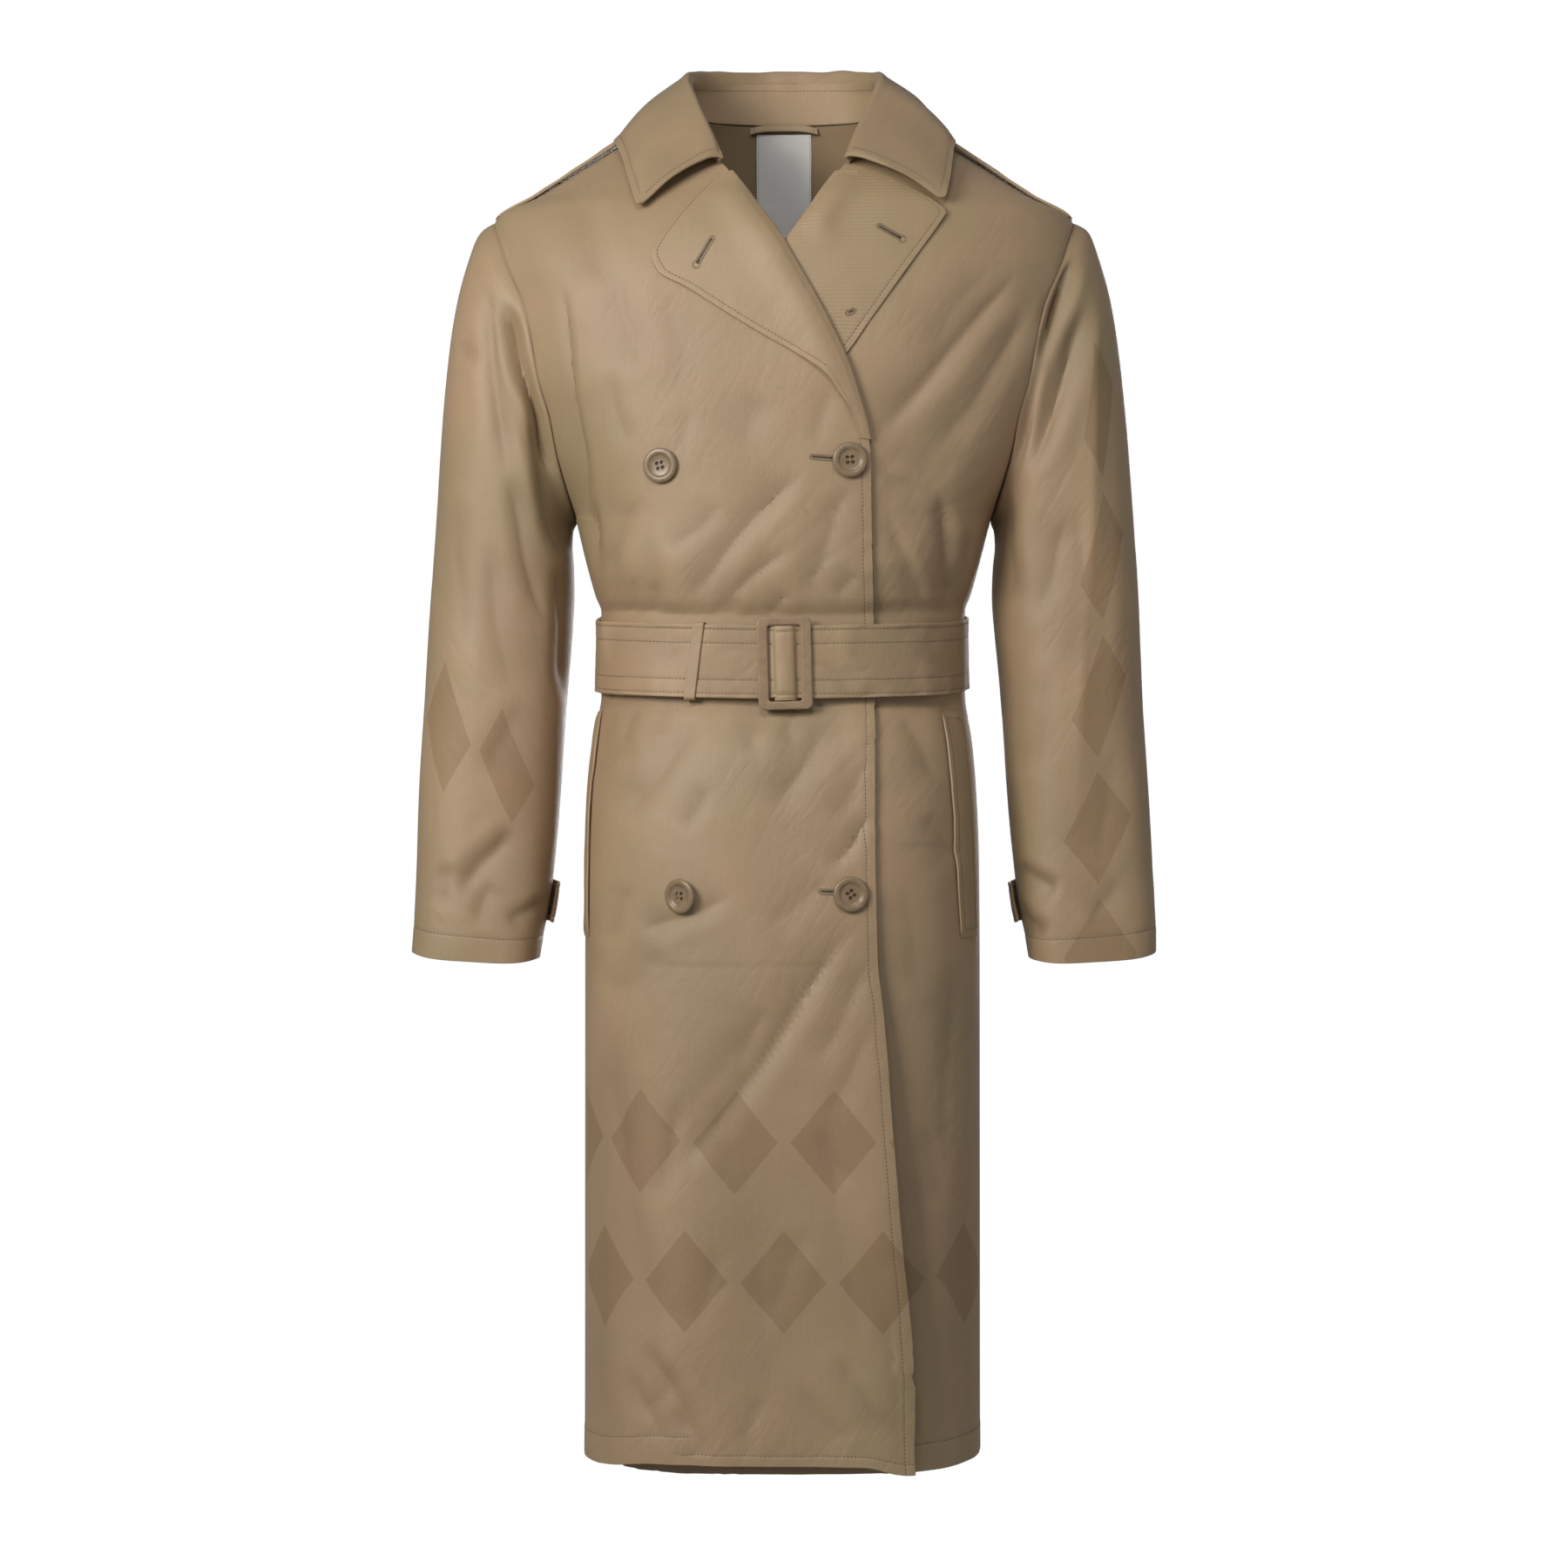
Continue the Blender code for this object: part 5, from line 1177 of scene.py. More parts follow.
def make_sleeves():
    phi = np.linspace(0, 2 * math.pi, 117)[None, :-1]
    cuff = stitched_steps([CUFF_LINE])
    head = np.array([0, 0.0006, 0.0014, 0.0026, 0.0042, 0.0065])
    even = np.arange(0.009, SLEEVE_LENGTH - cuff[-1] - 0.003, CELL)
    along = np.concatenate([head, even, SLEEVE_LENGTH - cuff[::-1]])[:, None]
    from_cuff = SLEEVE_LENGTH - along
    line = nearest(from_cuff[:, 0], CUFF_LINE)
    pieces = []
    for (word, side), finish in zip(SIDES, (SLEEVE_RIGHT, SLEEVE_LEFT)):
        height = -0.0006 * bell(along, 0.0016) - 0.00034 * bell(from_cuff - CUFF_LINE, 0.0010)
        height = height + 0.0002 * smooth((CUFF_LINE + 0.001 - from_cuff) / 0.002)
        # puckers at the cuff, and the head eased into the armhole
        around = CUFF_RADIUS * np.cos(phi), CUFF_RADIUS * np.sin(phi)
        puckers, easing = (ripple(*around, 0.012, shift=shift) for shift in (side, 3 + side))
        height = height + 0.0005 * puckers * bell(from_cuff, 0.024)
        height = height + 0.0008 * easing * bell(along - 0.009, 0.008)
        # painted highlight on the cuff's turn, painted shade in its sewn line and the armhole seam,
        # painted light and shade on the creases
        tone = painted_edge_shading(from_cuff, [CUFF_LINE]) - 0.6 * bell(along, 0.0012)
        tone = tone + painted_relief_shading(sleeve(side, phi, along, True))
        normal = sleeve_normal(side, phi, along)
        base = sleeve(side, phi, along)
        outer, inner = two_faces(base, normal, height - CLOTH / 2, CLOTH, edge_round(from_cuff))
        far = distances(np.concatenate([outer, outer[:, :1]], axis=1), 1)
        girth, far = far[:, -1:], far[:, :-1]
        uv = np.where(far > girth / 2, far - girth, far), along
        piece = shell(f"coat_{word}_sleeve", outer, inner, uv, finish, tone, tube=True)
        pieces.append(dressed(piece, f"{word}_sleeve"))
        run(outer, normal, line, np.append(np.arange(outer.shape[1]), 0))
    make_stitches("sleeve_stitches", THREAD)
    return pieces


# ---------------------------------------------------------------- lapels

ROLL_RADIUS = 0.0024
LAPEL_LINE, LAPEL_LENGTH = 0.0053, 0.265


def lapel(name, table, is_top, finish):
    """A facing turned back over its front in a soft roll, then lying on it. Gives the piece,
    its outer points and their normals."""
    front_outer = top_outer if is_top else under_outer
    last_shares = 1 - 0.07 * np.array([0.8, 0.6, 0.42, 0.28, 0.16, 0.08, 0.03, 0])
    share = np.concatenate([np.linspace(0, 0.93, 92), last_shares])[:, None]
    roll_x, roll_z, edge_x, edge_z = spline(counted(table), share)
    width = np.hypot(edge_x - roll_x, edge_z - roll_z)
    toward_x, toward_z = (edge_x - roll_x) / width, (edge_z - roll_z) / width
    radius = ROLL_RADIUS * smooth(share / 0.10 + 0.45)

    # distances from the roll: three columns inside it, the roll's turn, then the flat part
    from_edge = stitched_steps([LAPEL_LINE])[::-1]
    scale = np.minimum(1, 0.6 * width / from_edge[0])
    limit = from_edge[0] * scale
    wide = (width - 0.003 - limit) * (1 - np.linspace(0, 1, 24)[:-1]) + limit
    flat = width - np.concatenate([wide, from_edge * scale], axis=1)
    angles = np.radians(np.linspace(-90, 78, 12))
    inside = np.array([0.010, 0.007, 0.004]) * np.minimum(1, width / 0.02)
    distance = np.concatenate([inside, -radius * np.cos(angles), flat], axis=1)
    x, z = roll_x + toward_x * distance, roll_z + toward_z * distance
    before_flat = inside.shape[1] + len(angles)
    edge = np.pad(from_edge, (distance.shape[1] - len(from_edge), 0), constant_values=1.0)

    flat_x, flat_z, flat_edge = x[:, before_flat:], z[:, before_flat:], edge[before_flat:]
    puff = (0.0052 if is_top else 0.0044) * bell(flat - 0.013, 0.014)
    puff = puff * smooth(share / 0.25) * smooth((1 - share) / 0.2)
    if not is_top:
        puff = puff * smooth((flat_x - spline(TOP_EDGE, flat_z)[0] - 0.018) / 0.03)
    outward = smooth(flat / 0.028)
    up = (radius - CLOTH / 2) * (1 - outward) + (0.0009 + CLOTH / 2) * outward + puff
    up = up + 0.0016 * smooth((share - 0.55) / 0.3) * smooth((flat - 0.02) / 0.04)
    up = up + 0.00006 * smooth((0.0062 - flat_edge) / 0.002)
    up = up - 0.00020 * bell(flat_edge - LAPEL_LINE, 0.0010)
    up = up + 0.00050 * ripple(share * 0.25, 0.0, 0.011, shift=6) * bell(flat_edge, 0.010)
    up = up + smooth(share / 0.1) * 0.0007 * ripple(flat_x, flat_z, 0.034)
    turned = np.concatenate([-radius + 0 * inside, radius * np.sin(angles)], axis=1) - CLOTH / 2
    up = np.concatenate([turned, up], axis=1)

    theta = theta_at(x, z)
    centre = on_body(theta, z, front_outer(theta, z) + up)
    normal = unit(np.cross(np.gradient(centre, axis=1), np.gradient(centre, axis=0)))
    if normal[:, -6:, 1].mean() > 0:
        normal = -normal
    from_end = (1 - share) * LAPEL_LENGTH
    thin = np.maximum(edge_round(edge), edge_round(from_end))
    outer, inner = two_faces(centre, normal, 0.0, CLOTH, thin)
    # painted shade in the sewn line, painted highlights on the turned edge and the end
    tone = painted_edge_shading(edge, [LAPEL_LINE]) + 0.4 * bell(from_end, 0.0011)
    piece = dressed(shell("coat_" + name, outer, inner, (x, z), finish, tone), name)
    rows = (share[:, 0] < 0.985) & (width[:, 0] > 0.020)
    run(outer, normal, rows, nearest(edge, LAPEL_LINE))
    return piece, outer, normal


def make_lapels():
    right = lapel("right_lapel", RIGHT_LAPEL, True, PLAIN)
    left = lapel("left_lapel", LEFT_LAPEL, False, FACING)
    make_stitches("lapel_stitches", THREAD)
    return right, left


# ---------------------------------------------------------------- collar

STAND_END = 2 / 6
COLLAR_THICK, COLLAR_LINE = 0.0020, 0.0075


def collar_profile(side, along, share):
    """Points of the collar: share runs from the neck seam, over the fold, to the outer edge."""
    seam_x, seam_z, fold_x, fold_y, fold_z, edge_x, edge_z, edge_lift = spline(COLLAR, along)
    if side > 0:
        edge_x = edge_x + LEFT_TIP_SHIFT[0] * smooth((along - 0.6) / 0.4)
        edge_z = edge_z + LEFT_TIP_SHIFT[1] * smooth((along - 0.6) / 0.4)
    behind = along < COLLAR[COLLAR_BACK_ROWS][0]

    def on_coat(x, z, offset):
        return on_body(np.where(behind, behind_theta(x, z), theta_at(x, z)), z, offset)

    seam = on_coat(seam_x, seam_z, -0.0012) + (0, 0, 0.0008)
    edge = on_coat(edge_x, edge_z, edge_lift)
    fold = stacked(fold_x, fold_y, fold_z)
    # even out the turn from the back to the front
    turn = (smooth((along - 0.30) / 0.1) * smooth((0.80 - along) / 0.1))[:, None]
    for points in (seam, edge):
        even = points.copy()
        for _ in range(8):
            even[1:-1] = even[1:-1] * 0.5 + (even[:-2] + even[2:]) * 0.25
        points[:] = points * (1 - turn) + even * turn
    outward = unit((edge - fold) * (1, 1, 0))
    upward = np.array([0, 0, 1.0])
    height = np.clip((fold[..., 2:] - seam[..., 2:]) / 0.045, 0.12, 1)
    knots = np.stack([
        seam,
        (seam + fold) / 2,
        fold - outward * 0.0030 - upward * 0.009 * height,
        fold,
        fold + outward * 0.0060 - upward * 0.006 * height,
        (fold + edge) / 2 + (outward + upward) * 0.004,
        edge,
    ])
    keys = np.linspace(0, 1, len(knots))
    values = spline(np.column_stack([keys, knots.reshape(len(knots), -1)]), share)
    points = values.reshape(len(along), 3, len(share)).transpose(0, 2, 1)
    return points * (side, 1, 1)


def rounded_points(grid, from_edge, from_front, radius):
    """The grid with its two corners turned on an arc of that radius."""
    p, q = radius - from_front, radius - from_edge
    inside = (p > 0) & (q > 0)
    shrink = np.maximum(p, q) / np.maximum(np.hypot(p, q), 1e-9)
    down = unit(np.gradient(grid, axis=0))
    down[len(grid) // 2:] *= -1
    over = unit(np.gradient(grid, axis=1))
    moved_p, moved_q = (np.where(inside, part * (1 - shrink), 0)[..., None] for part in (p, q))
    return grid + down * moved_p - over * moved_q


def leaf_relief(shares, from_edge, from_front):
    """Height and tone of the leaf: a soft rim inside its sewn line, puckers and wrinkles. Its tone
    is painted shade all over, painted light and shade at its sewn lines and wrinkles, and random
    blotches.
    """
    rim = np.minimum(from_edge, from_front)
    fold_u = np.linspace(0, 0.6, len(from_edge))[:, None]
    height = 0.0010 * ripple(fold_u, from_edge, 0.055, 0.060, 1)
    height = height - 0.00026 * bell(from_edge - COLLAR_LINE, 0.0010)
    height = height - 0.00026 * bell(from_front - COLLAR_LINE, 0.0010) * (from_edge > 0.007)
    height = height + 0.00012 * smooth((COLLAR_LINE - rim) / 0.002)
    height = height + 0.00055 * ripple(fold_u, 0.0, 0.012, shift=5) * bell(from_edge, 0.012)
    fine = crumple(fold_u, from_edge, 0.5, 0.05, 0.022, 6)
    height = height + 0.0006 * fine * smooth(from_edge / 0.02)
    wrinkle = 0.0013 * ripple(fold_u, from_edge, 0.026, 0.034, 2)
    wrinkle = wrinkle * smooth(from_edge / 0.012) * smooth((shares - STAND_END) / 0.12)
    # painted shade over the whole leaf, painted light and shade on its wrinkles, and random
    # blotches
    tone = painted_edge_shading(rim, [COLLAR_LINE]) - 0.28 + painted_relief_shading(0.9 * wrinkle)
    return height + wrinkle, tone + 0.30 * ripple(fold_u, from_edge, 0.05, 0.07, 4)


def sew_leaf(outer, normal, from_edge, from_front):
    """The stitches along the leaf's outer edge and up its two front ends."""
    rows = np.where(from_front[:, -1] > COLLAR_LINE)[0]
    run(outer, normal, rows, [nearest(from_edge[row], COLLAR_LINE) for row in rows])
    columns = np.arange(8, outer.shape[1])
    middle = len(outer) // 2
    for start, end in ((0, middle), (middle, len(outer))):
        rows = [start + nearest(from_front[start:end, c], COLLAR_LINE) for c in columns]
        keep = from_edge[rows, columns] > 0.0070
        run(outer, normal, np.array(rows)[keep], columns[keep])


def make_collar():
    first_rows = [1.0, 0.9985, 0.996, 0.992, 0.986, 0.978]
    along = np.concatenate([first_rows, np.linspace(0.965, 0, 60)])

    def whole(shares):
        left = collar_profile(1, along, shares)[::-1][1:]
        return np.concatenate([collar_profile(-1, along, shares), left])

    last_shares = [0.105, 0.09, 0.078, 0.070, 0.062, 0.045, 0.028, 0.016, 0.009, 0.004, 0.0015, 0]
    leaf_shares = np.concatenate([
        np.linspace(STAND_END, 0.62, 20), np.linspace(0.62, 0.88, 12)[1:], 1 - np.array(last_shares)
    ])
    stand_shares, step = np.linspace(0, STAND_END, 16), 0.004
    pieces = []
    for word, shares in (("stand", stand_shares), ("leaf", leaf_shares)):
        base = whole(shares)
        across = whole(np.minimum(shares + step, 1)) - whole(np.maximum(shares - step, 0))
        normal = -unit(np.cross(across, np.gradient(base, axis=0)))
        from_edge = distances(base[:, ::-1], 1)[:, ::-1]
        from_front = np.minimum(distances(base, 0), distances(base[::-1], 0)[::-1])
        thin = edge_round(from_front)
        if word == "leaf":
            base = rounded_points(base, from_edge, from_front, 0.0085)
            thin = np.maximum(edge_round(from_edge), thin)
            height, tone = leaf_relief(shares, from_edge, from_front)
        else:
            # the stand: painted shade along its neck seam
            height, tone = 0, -0.5 * bell(from_edge - from_edge[:, :1], 0.0015)
        centre = height + COLLAR_THICK / 2
        outer, inner = two_faces(base, normal, centre, COLLAR_THICK, thin)
        far = distances(base, 0)
        uv = far - far[len(base) // 2], from_edge
        piece = shell(f"coat_collar_{word}", outer, inner, uv, PLAIN, tone)
        pieces.append(dressed(piece, f"collar_{word}"))
        if word == "leaf":
            sew_leaf(outer, normal, from_edge, from_front)
        else:
            # the arc of stitches inside the stand, seen through the neck
            rows = slice(14, len(base) - 14)
            run(inner, -normal, rows, 11)
            run(outer, normal, rows, 11)
    make_stitches("collar_stitches", THREAD)
    return pieces


# ---------------------------------------------------------------- epaulettes, welts

EPAULETTE_HALF, EPAULETTE_THICK, EPAULETTE_LENGTH = 0.024, 0.0022, 0.130
EPAULETTE_BACK_Z, EPAULETTE_POINT_Z = -0.0760, 0.0040
STRAP_LINE, STRAP_RIM = 0.0055, 0.0062

# share of the length, share of the half width, height over the shoulder
EPAULETTE = (
    (0.00, 1.00, -0.0011),
    (0.25, 0.96, 0.0018),
    (0.50, 0.92, 0.0026),
    (0.75, 0.88, 0.0032),
    (0.90, 0.84, 0.0034),
    (1.00, 0.30, 0.0034),
)


def epaulette_points(side, share, aside, lift):
    """Points of an epaulette: share runs along it from the armhole, aside from -1 to 1."""
    half_width, lifted = spline(EPAULETTE, share)
    z = EPAULETTE_BACK_Z + (EPAULETTE_POINT_Z - EPAULETTE_BACK_Z) * share
    y = aside * EPAULETTE_HALF * half_width
    # the angle on the shoulder's ridge at that y
    _, _, _, front, back, square, _ = section(z)
    ratio = np.clip(np.abs(y) / np.where(y < 0, front, back), 0, 0.95)
    theta = math.pi / 2 + np.sign(y) * turn_at(ratio, square)
    return on_body(theta, z, lifted + lift) * (side, 1, 1)


def make_epaulettes():
    point = [0.972, 0.983, 0.992, 0.998, 1.0]
    share = np.concatenate([np.linspace(0, 0.96, 44), point])[:, None]
    steps = stitched_steps([STRAP_LINE]) / EPAULETTE_HALF
    aside = spread(steps[steps < 0.62], -1, 1, 7)[None, :]
    edge = (1 - np.abs(aside)) * EPAULETTE_HALF
    thin = np.maximum(edge_round(edge), edge_round((1 - share) * EPAULETTE_LENGTH))
    half = EPAULETTE_THICK / 2
    wall = half_wall(EPAULETTE_THICK, thin)
    uv = share * EPAULETTE_LENGTH, aside * EPAULETTE_HALF
    pieces = []
    for word, side in SIDES:
        lift = sewn_lift(edge, STRAP_LINE, STRAP_RIM)
        lift = lift + 0.0004 * ripple(share * EPAULETTE_LENGTH, side, 0.014)
        outer = epaulette_points(side, share, aside, half + lift + wall)
        inner = epaulette_points(side, share, aside, half - wall - 0.0002)
        # painted highlight on the turned edges, painted shade in the sewn lines
        tone = painted_edge_shading(edge, [STRAP_LINE])
        piece = shell(f"coat_{word}_epaulette", outer, inner, uv, PLAIN, tone)
        pieces.append(dressed(piece, f"{word}_epaulette"))
        for sign in (-1, 1):
            column = nearest(aside[0], sign * (1 - STRAP_LINE / EPAULETTE_HALF))
            run(outer, unit(outer - inner), slice(44), column)
    make_stitches("epaulette_stitches", THREAD)
    return pieces


WELT_WIDTH, WELT_LENGTH, WELT_THICK = 0.038, 0.181, 0.0018
WELT_LINE, WELT_RIM = 0.0060, 0.0068

# z, x of a welt's front edge
LEFT_WELT = ((-0.6640, 0.1414), (-0.6107, 0.1372), (-0.5414, 0.1325), (-0.4830, 0.1262))
RIGHT_WELT = ((-0.6640, 0.1520), (-0.5834, 0.1509), (-0.5204, 0.1478), (-0.4830, 0.1440))


def make_welts():
    steps = stitched_steps([WELT_LINE])
    up = spread(steps, 0, WELT_LENGTH, 40)[:, None]
    across = spread(steps[steps < 0.016], 0, WELT_WIDTH, 6)[None, :]
    z = LEFT_WELT[0][0] + up
    edge_u = np.minimum(across, WELT_WIDTH - across)
    edge_v = np.minimum(up, WELT_LENGTH - up)
    edge = np.minimum(edge_u, edge_v)
    thin = np.maximum(edge_round(edge_u), edge_round(edge_v))
    # it gapes at its front edge, and is sewn flat at its back edge and its ends
    flatten = np.maximum(smooth((across - 0.012) / 0.020), smooth((0.008 - edge_v) / 0.007))
    thick = WELT_THICK * (1 - 0.72 * flatten)
    gape = bell(across, 0.010) * np.sin(math.pi * np.clip(up / WELT_LENGTH, 0, 1)) ** 0.6
    low, high = nearest(up[:, 0], WELT_LINE), nearest(up[:, 0], WELT_LENGTH - WELT_LINE)
    front_column = nearest(across[0], WELT_LINE)
    back_column = nearest(across[0], WELT_WIDTH - WELT_LINE)
    rows, columns = slice(low, high + 1), slice(front_column, back_column + 1)
    pieces = []
    for (word, side), table, front_outer in zip(
        SIDES, (RIGHT_WELT, LEFT_WELT), (top_outer, under_outer)
    ):
        front = theta_at(spline(table, z)[0], z)
        turn = 0.1 / np.linalg.norm(body(front + 0.1, z) - body(front, z), axis=-1)
        theta = side * (front + turn * across)
        lift = sewn_lift(edge, WELT_LINE, WELT_RIM) + 0.0008 * gape
        lift = lift + 0.0004 * ripple(across, up, 0.014, 0.018, side) * (1 - thin)
        centre = front_outer(theta, z) + 0.0004 + thick / 2 + lift * (1 - 0.5 * flatten)
        normal = body_normal(theta, z)
        outer, inner = two_faces(body(theta, z), normal, centre, thick, thin)
        # painted highlight on the turned edges, painted shade in the sewn lines
        tone = painted_edge_shading(edge, [WELT_LINE])
        piece = shell(f"coat_{word}_welt", outer, inner, (across, z), PLAIN, tone)
        pieces.append(dressed(piece, f"{word}_pocket_welt"))
        run(outer, normal, rows, front_column)
        run(outer, normal, rows, back_column)
        run(outer, normal, low, columns)
        run(outer, normal, high, columns)
    make_stitches("welt_stitches", THREAD)
    return pieces


# ---------------------------------------------------------------- belt, buckle, keeper

BELT_OVER = BELT_BASE + BELT_THICK + GAP
BUCKLE_SEAT, BUCKLE_LAYER = 0.0098, 0.0016  # the coat's height under it, and a layer of belt
BUCKLE_SHIFT, BUCKLE_DEGREES = (0.0006, -0.0004, -0.0008), -360

# degrees round the waist, height of the belt's inner face; its free end is at the top
BELT_PATH = (
    (-456, 0.0010 + BELT_THICK),
    (-440, 0.0015 + BELT_THICK),
    (-425, 0.0060 + BELT_THICK),
    (-415, BELT_OVER),
    (-368, BELT_OVER),
    (-364.6, BELT_OVER),
    (-361.5, BELT_OVER + 0.0034),
    (-360, BELT_OVER + 0.0037),
    (-358.5, BELT_OVER + 0.0034),
    (-355.4, BELT_OVER),
    (-352, BELT_OVER),
    (-325, BELT_BASE),
    (-300, 0.0020),
    (-285, 0.0010),
    (-270, 0.0008),
    (-180, 0.0008),
    (-100, 0.0008),
    (-85, 0.0012),
    (-70, 0.0050),
    (-57, BELT_BASE),
    (-20, BELT_BASE),
    (0, BELT_BASE),
)
BELT_START, BELT_END = -0.5, -448
BELT_LINES = (0.0035, 0.0145)


def waist_point(theta, offset, height):
    """Points of the belt: its band stands straight up, square to the waist's section."""
    x, y, out_x, out_y, _ = ring(theta, np.full(np.shape(theta), WAIST_Z))
    z = WAIST_Z - WAIST_SAG * np.cos(theta)
    return stacked(x + offset * out_x, y + offset * out_y, z + height)


def make_belt():
    degrees = np.concatenate([
        np.linspace(BELT_START, -345, 330), np.linspace(-346, -374, 57),
        np.linspace(-375.5, BELT_END + 0.4, 56), [BELT_END + 0.15, BELT_END],
    ])[:, None]
    theta = np.radians(degrees)
    steps = stitched_steps(BELT_LINES)
    steps = steps[steps < BELT_WIDTH / 2 - 0.002]
    height = spread(steps, -BELT_WIDTH / 2, BELT_WIDTH / 2, 13)[None, :]
    edge = BELT_WIDTH / 2 - np.abs(height)
    # it is drawn together in the buckle, and lies flat there
    narrowed = 1 - 0.05 * bell(degrees - BUCKLE_DEGREES, 4.5)
    calm = 1 - bell(degrees - BUCKLE_DEGREES, 14)
    far = theta * BELT_RADIUS
    lift = 0.0001 * smooth((0.004 - edge) / 0.0015)
    for line in BELT_LINES:
        lift = lift - 0.00030 * bell(edge - line, 0.0009)
    waves = 0.0013 * ripple(far, height * 0.6, 0.034) + 0.0009 * ripple(far, height, 0.012, 0.03, 2)
    waves = waves + 0.0014 * crumple(far, height, 0.45, 0.040, 0.018, 8)
    puckers = np.abs(ripple(far, np.sign(height) * 9.0, 0.010))
    waves = waves + 0.0006 * puckers * bell(edge, 0.008)
    lift = lift + waves * calm
    sway = height * narrowed + 0.0007 * ripple(far, 0.0, 0.060) * calm
    half = half_wall(BELT_THICK, edge_round(edge))
    centre = spline(BELT_PATH, degrees)[0] + BELT_THICK / 2 + np.maximum(lift, -0.0005)
    outer = waist_point(theta, centre + half, sway)
    inner = waist_point(theta, centre - half, sway)
    # painted shade in the sewn lines and troughs, painted highlights on the turned edges and ridges
    tone = painted_edge_shading(edge, BELT_LINES) + painted_relief_shading(1.6 * (lift - 0.0004))
    piece = dressed(shell("coat_belt", outer, inner, (far, height), PLAIN, tone), "belt")
    for sign in (-1, 1):
        for line in BELT_LINES:
            column = nearest(height[0], sign * (BELT_WIDTH / 2 - line))
            run(outer, unit(outer - inner), slice(3, -3), column, pitch=0.0032)
    make_stitches("belt_stitches", THREAD)
    return piece


BUCKLE_SIZE, BUCKLE_CORNER = (0.0430, 0.0735), 0.0055
WINDOW_SIZE, WINDOW_CORNER = (0.0262, 0.0600), 0.0022
BUCKLE_THICK, BUCKLE_RIM, BUCKLE_TURN = 0.0034, 0.0012, math.radians(-1.5)


def rounded_outline(size, corner, inset, depth):
    """Points round a rectangle with round corners, made smaller by the inset."""
    radius = corner - inset
    points = []
    for turn, (sign_x, sign_z) in enumerate(((1, 1), (-1, 1), (-1, -1), (1, -1))):
        for step in range(9):
            angle = math.radians(90 * turn + 90 * step / 8)
            x = sign_x * (size[0] / 2 - inset - radius) + radius * math.cos(angle)
            z = sign_z * (size[1] / 2 - inset - radius) + radius * math.sin(angle)
            points.append((x, -depth, z))
    return points


def in_buckle(points):
    """Points beside the buckle's middle, placed on the belt and turned as the buckle is."""
    cosine, sine = math.cos(BUCKLE_TURN), math.sin(BUCKLE_TURN)
    turn = np.array([[cosine, 0, sine], [0, 1, 0], [-sine, 0, cosine]])
    back = waist_point(np.array(0.0), BUCKLE_SEAT + 2 * BUCKLE_LAYER + 2 * GAP, 0.0)
    return points @ turn.T + back + BUCKLE_SHIFT


def make_buckle():
    """A moulded slide with softly rounded edges."""
    profile = []
    for step in range(7):
        angle = math.radians(90 * step / 6)
        profile.append((BUCKLE_RIM * (1 - math.sin(angle)), BUCKLE_RIM * (1 - math.cos(angle))))
    profile += [(inset, BUCKLE_THICK - depth) for inset, depth in reversed(profile)]
    rings = [rounded_outline(BUCKLE_SIZE, BUCKLE_CORNER, *row) for row in profile]
    for inset, depth in reversed(profile):
        rings.append(rounded_outline(WINDOW_SIZE, WINDOW_CORNER, -inset, depth))
    points = np.array(rings)
    ids = np.arange(points.shape[0] * points.shape[1]).reshape(points.shape[:2])
    after = np.roll(ids, -1, axis=0)
    quads = stacked(ids, np.roll(ids, -1, axis=1), np.roll(after, -1, axis=1), after)
    points = in_buckle(points.reshape(-1, 3))
    piece = quad_mesh("coat_buckle", points, quads.reshape(-1, 4), BUCKLE_PLASTIC, 60)
    dressed(piece, "belt_buckle")


def make_bar_roll():
    """The belt's end turned over the buckle's bar and sewn: a soft roll in the window."""
    half_width, length, line = 0.0090, WINDOW_SIZE[1] - 0.0012, 0.0045
    across = np.linspace(-1, 1, 25)[None, :]
    steps = stitched_steps([line])
    tall = spread(steps[steps < 0.012], 0, length, 20)[:, None]
    from_end = np.minimum(tall, length - tall)
    z = tall - length / 2
    arch = np.sqrt(np.clip(1 - (across * 0.985) ** 2, 0, 1)) ** 0.8
    depth = 0.0062 * arch * (1 - 0.16 * bell(from_end - line, 0.0014))
    depth = depth * (0.86 + 0.14 * smooth(from_end / 0.004))
    depth = depth + 0.00035 * ripple(across * 0.01, z, 0.006, 0.016, 4) * arch
    x = across * half_width * (0.97 + 0.03 * smooth(from_end / 0.006))
    outer = in_buckle(stacked(x, 0.0010 - depth, z))
    inner = in_buckle(stacked(x * 0.90, 0.0023 - depth, z * 0.995))
    piece = dressed(shell("coat_bar_roll", outer, inner, (x, z), PLAIN))
    normal = in_buckle(stacked(across * 0.6, -arch - 0.05, 0 * z)) - in_buckle(np.zeros(3))
    for target in (line, length - line):
        run(outer, normal, nearest(tall[:, 0], target), slice(2, -2), pitch=0.0024)
    make_stitches("bar_roll_stitches", THREAD)
    return piece


KEEPER_WIDTH, KEEPER_THICK, KEEPER_THETA = 0.0090, 0.0014, math.radians(-25.6)
KEEPER_LEAN = 0.0075 / BELT_WIDTH


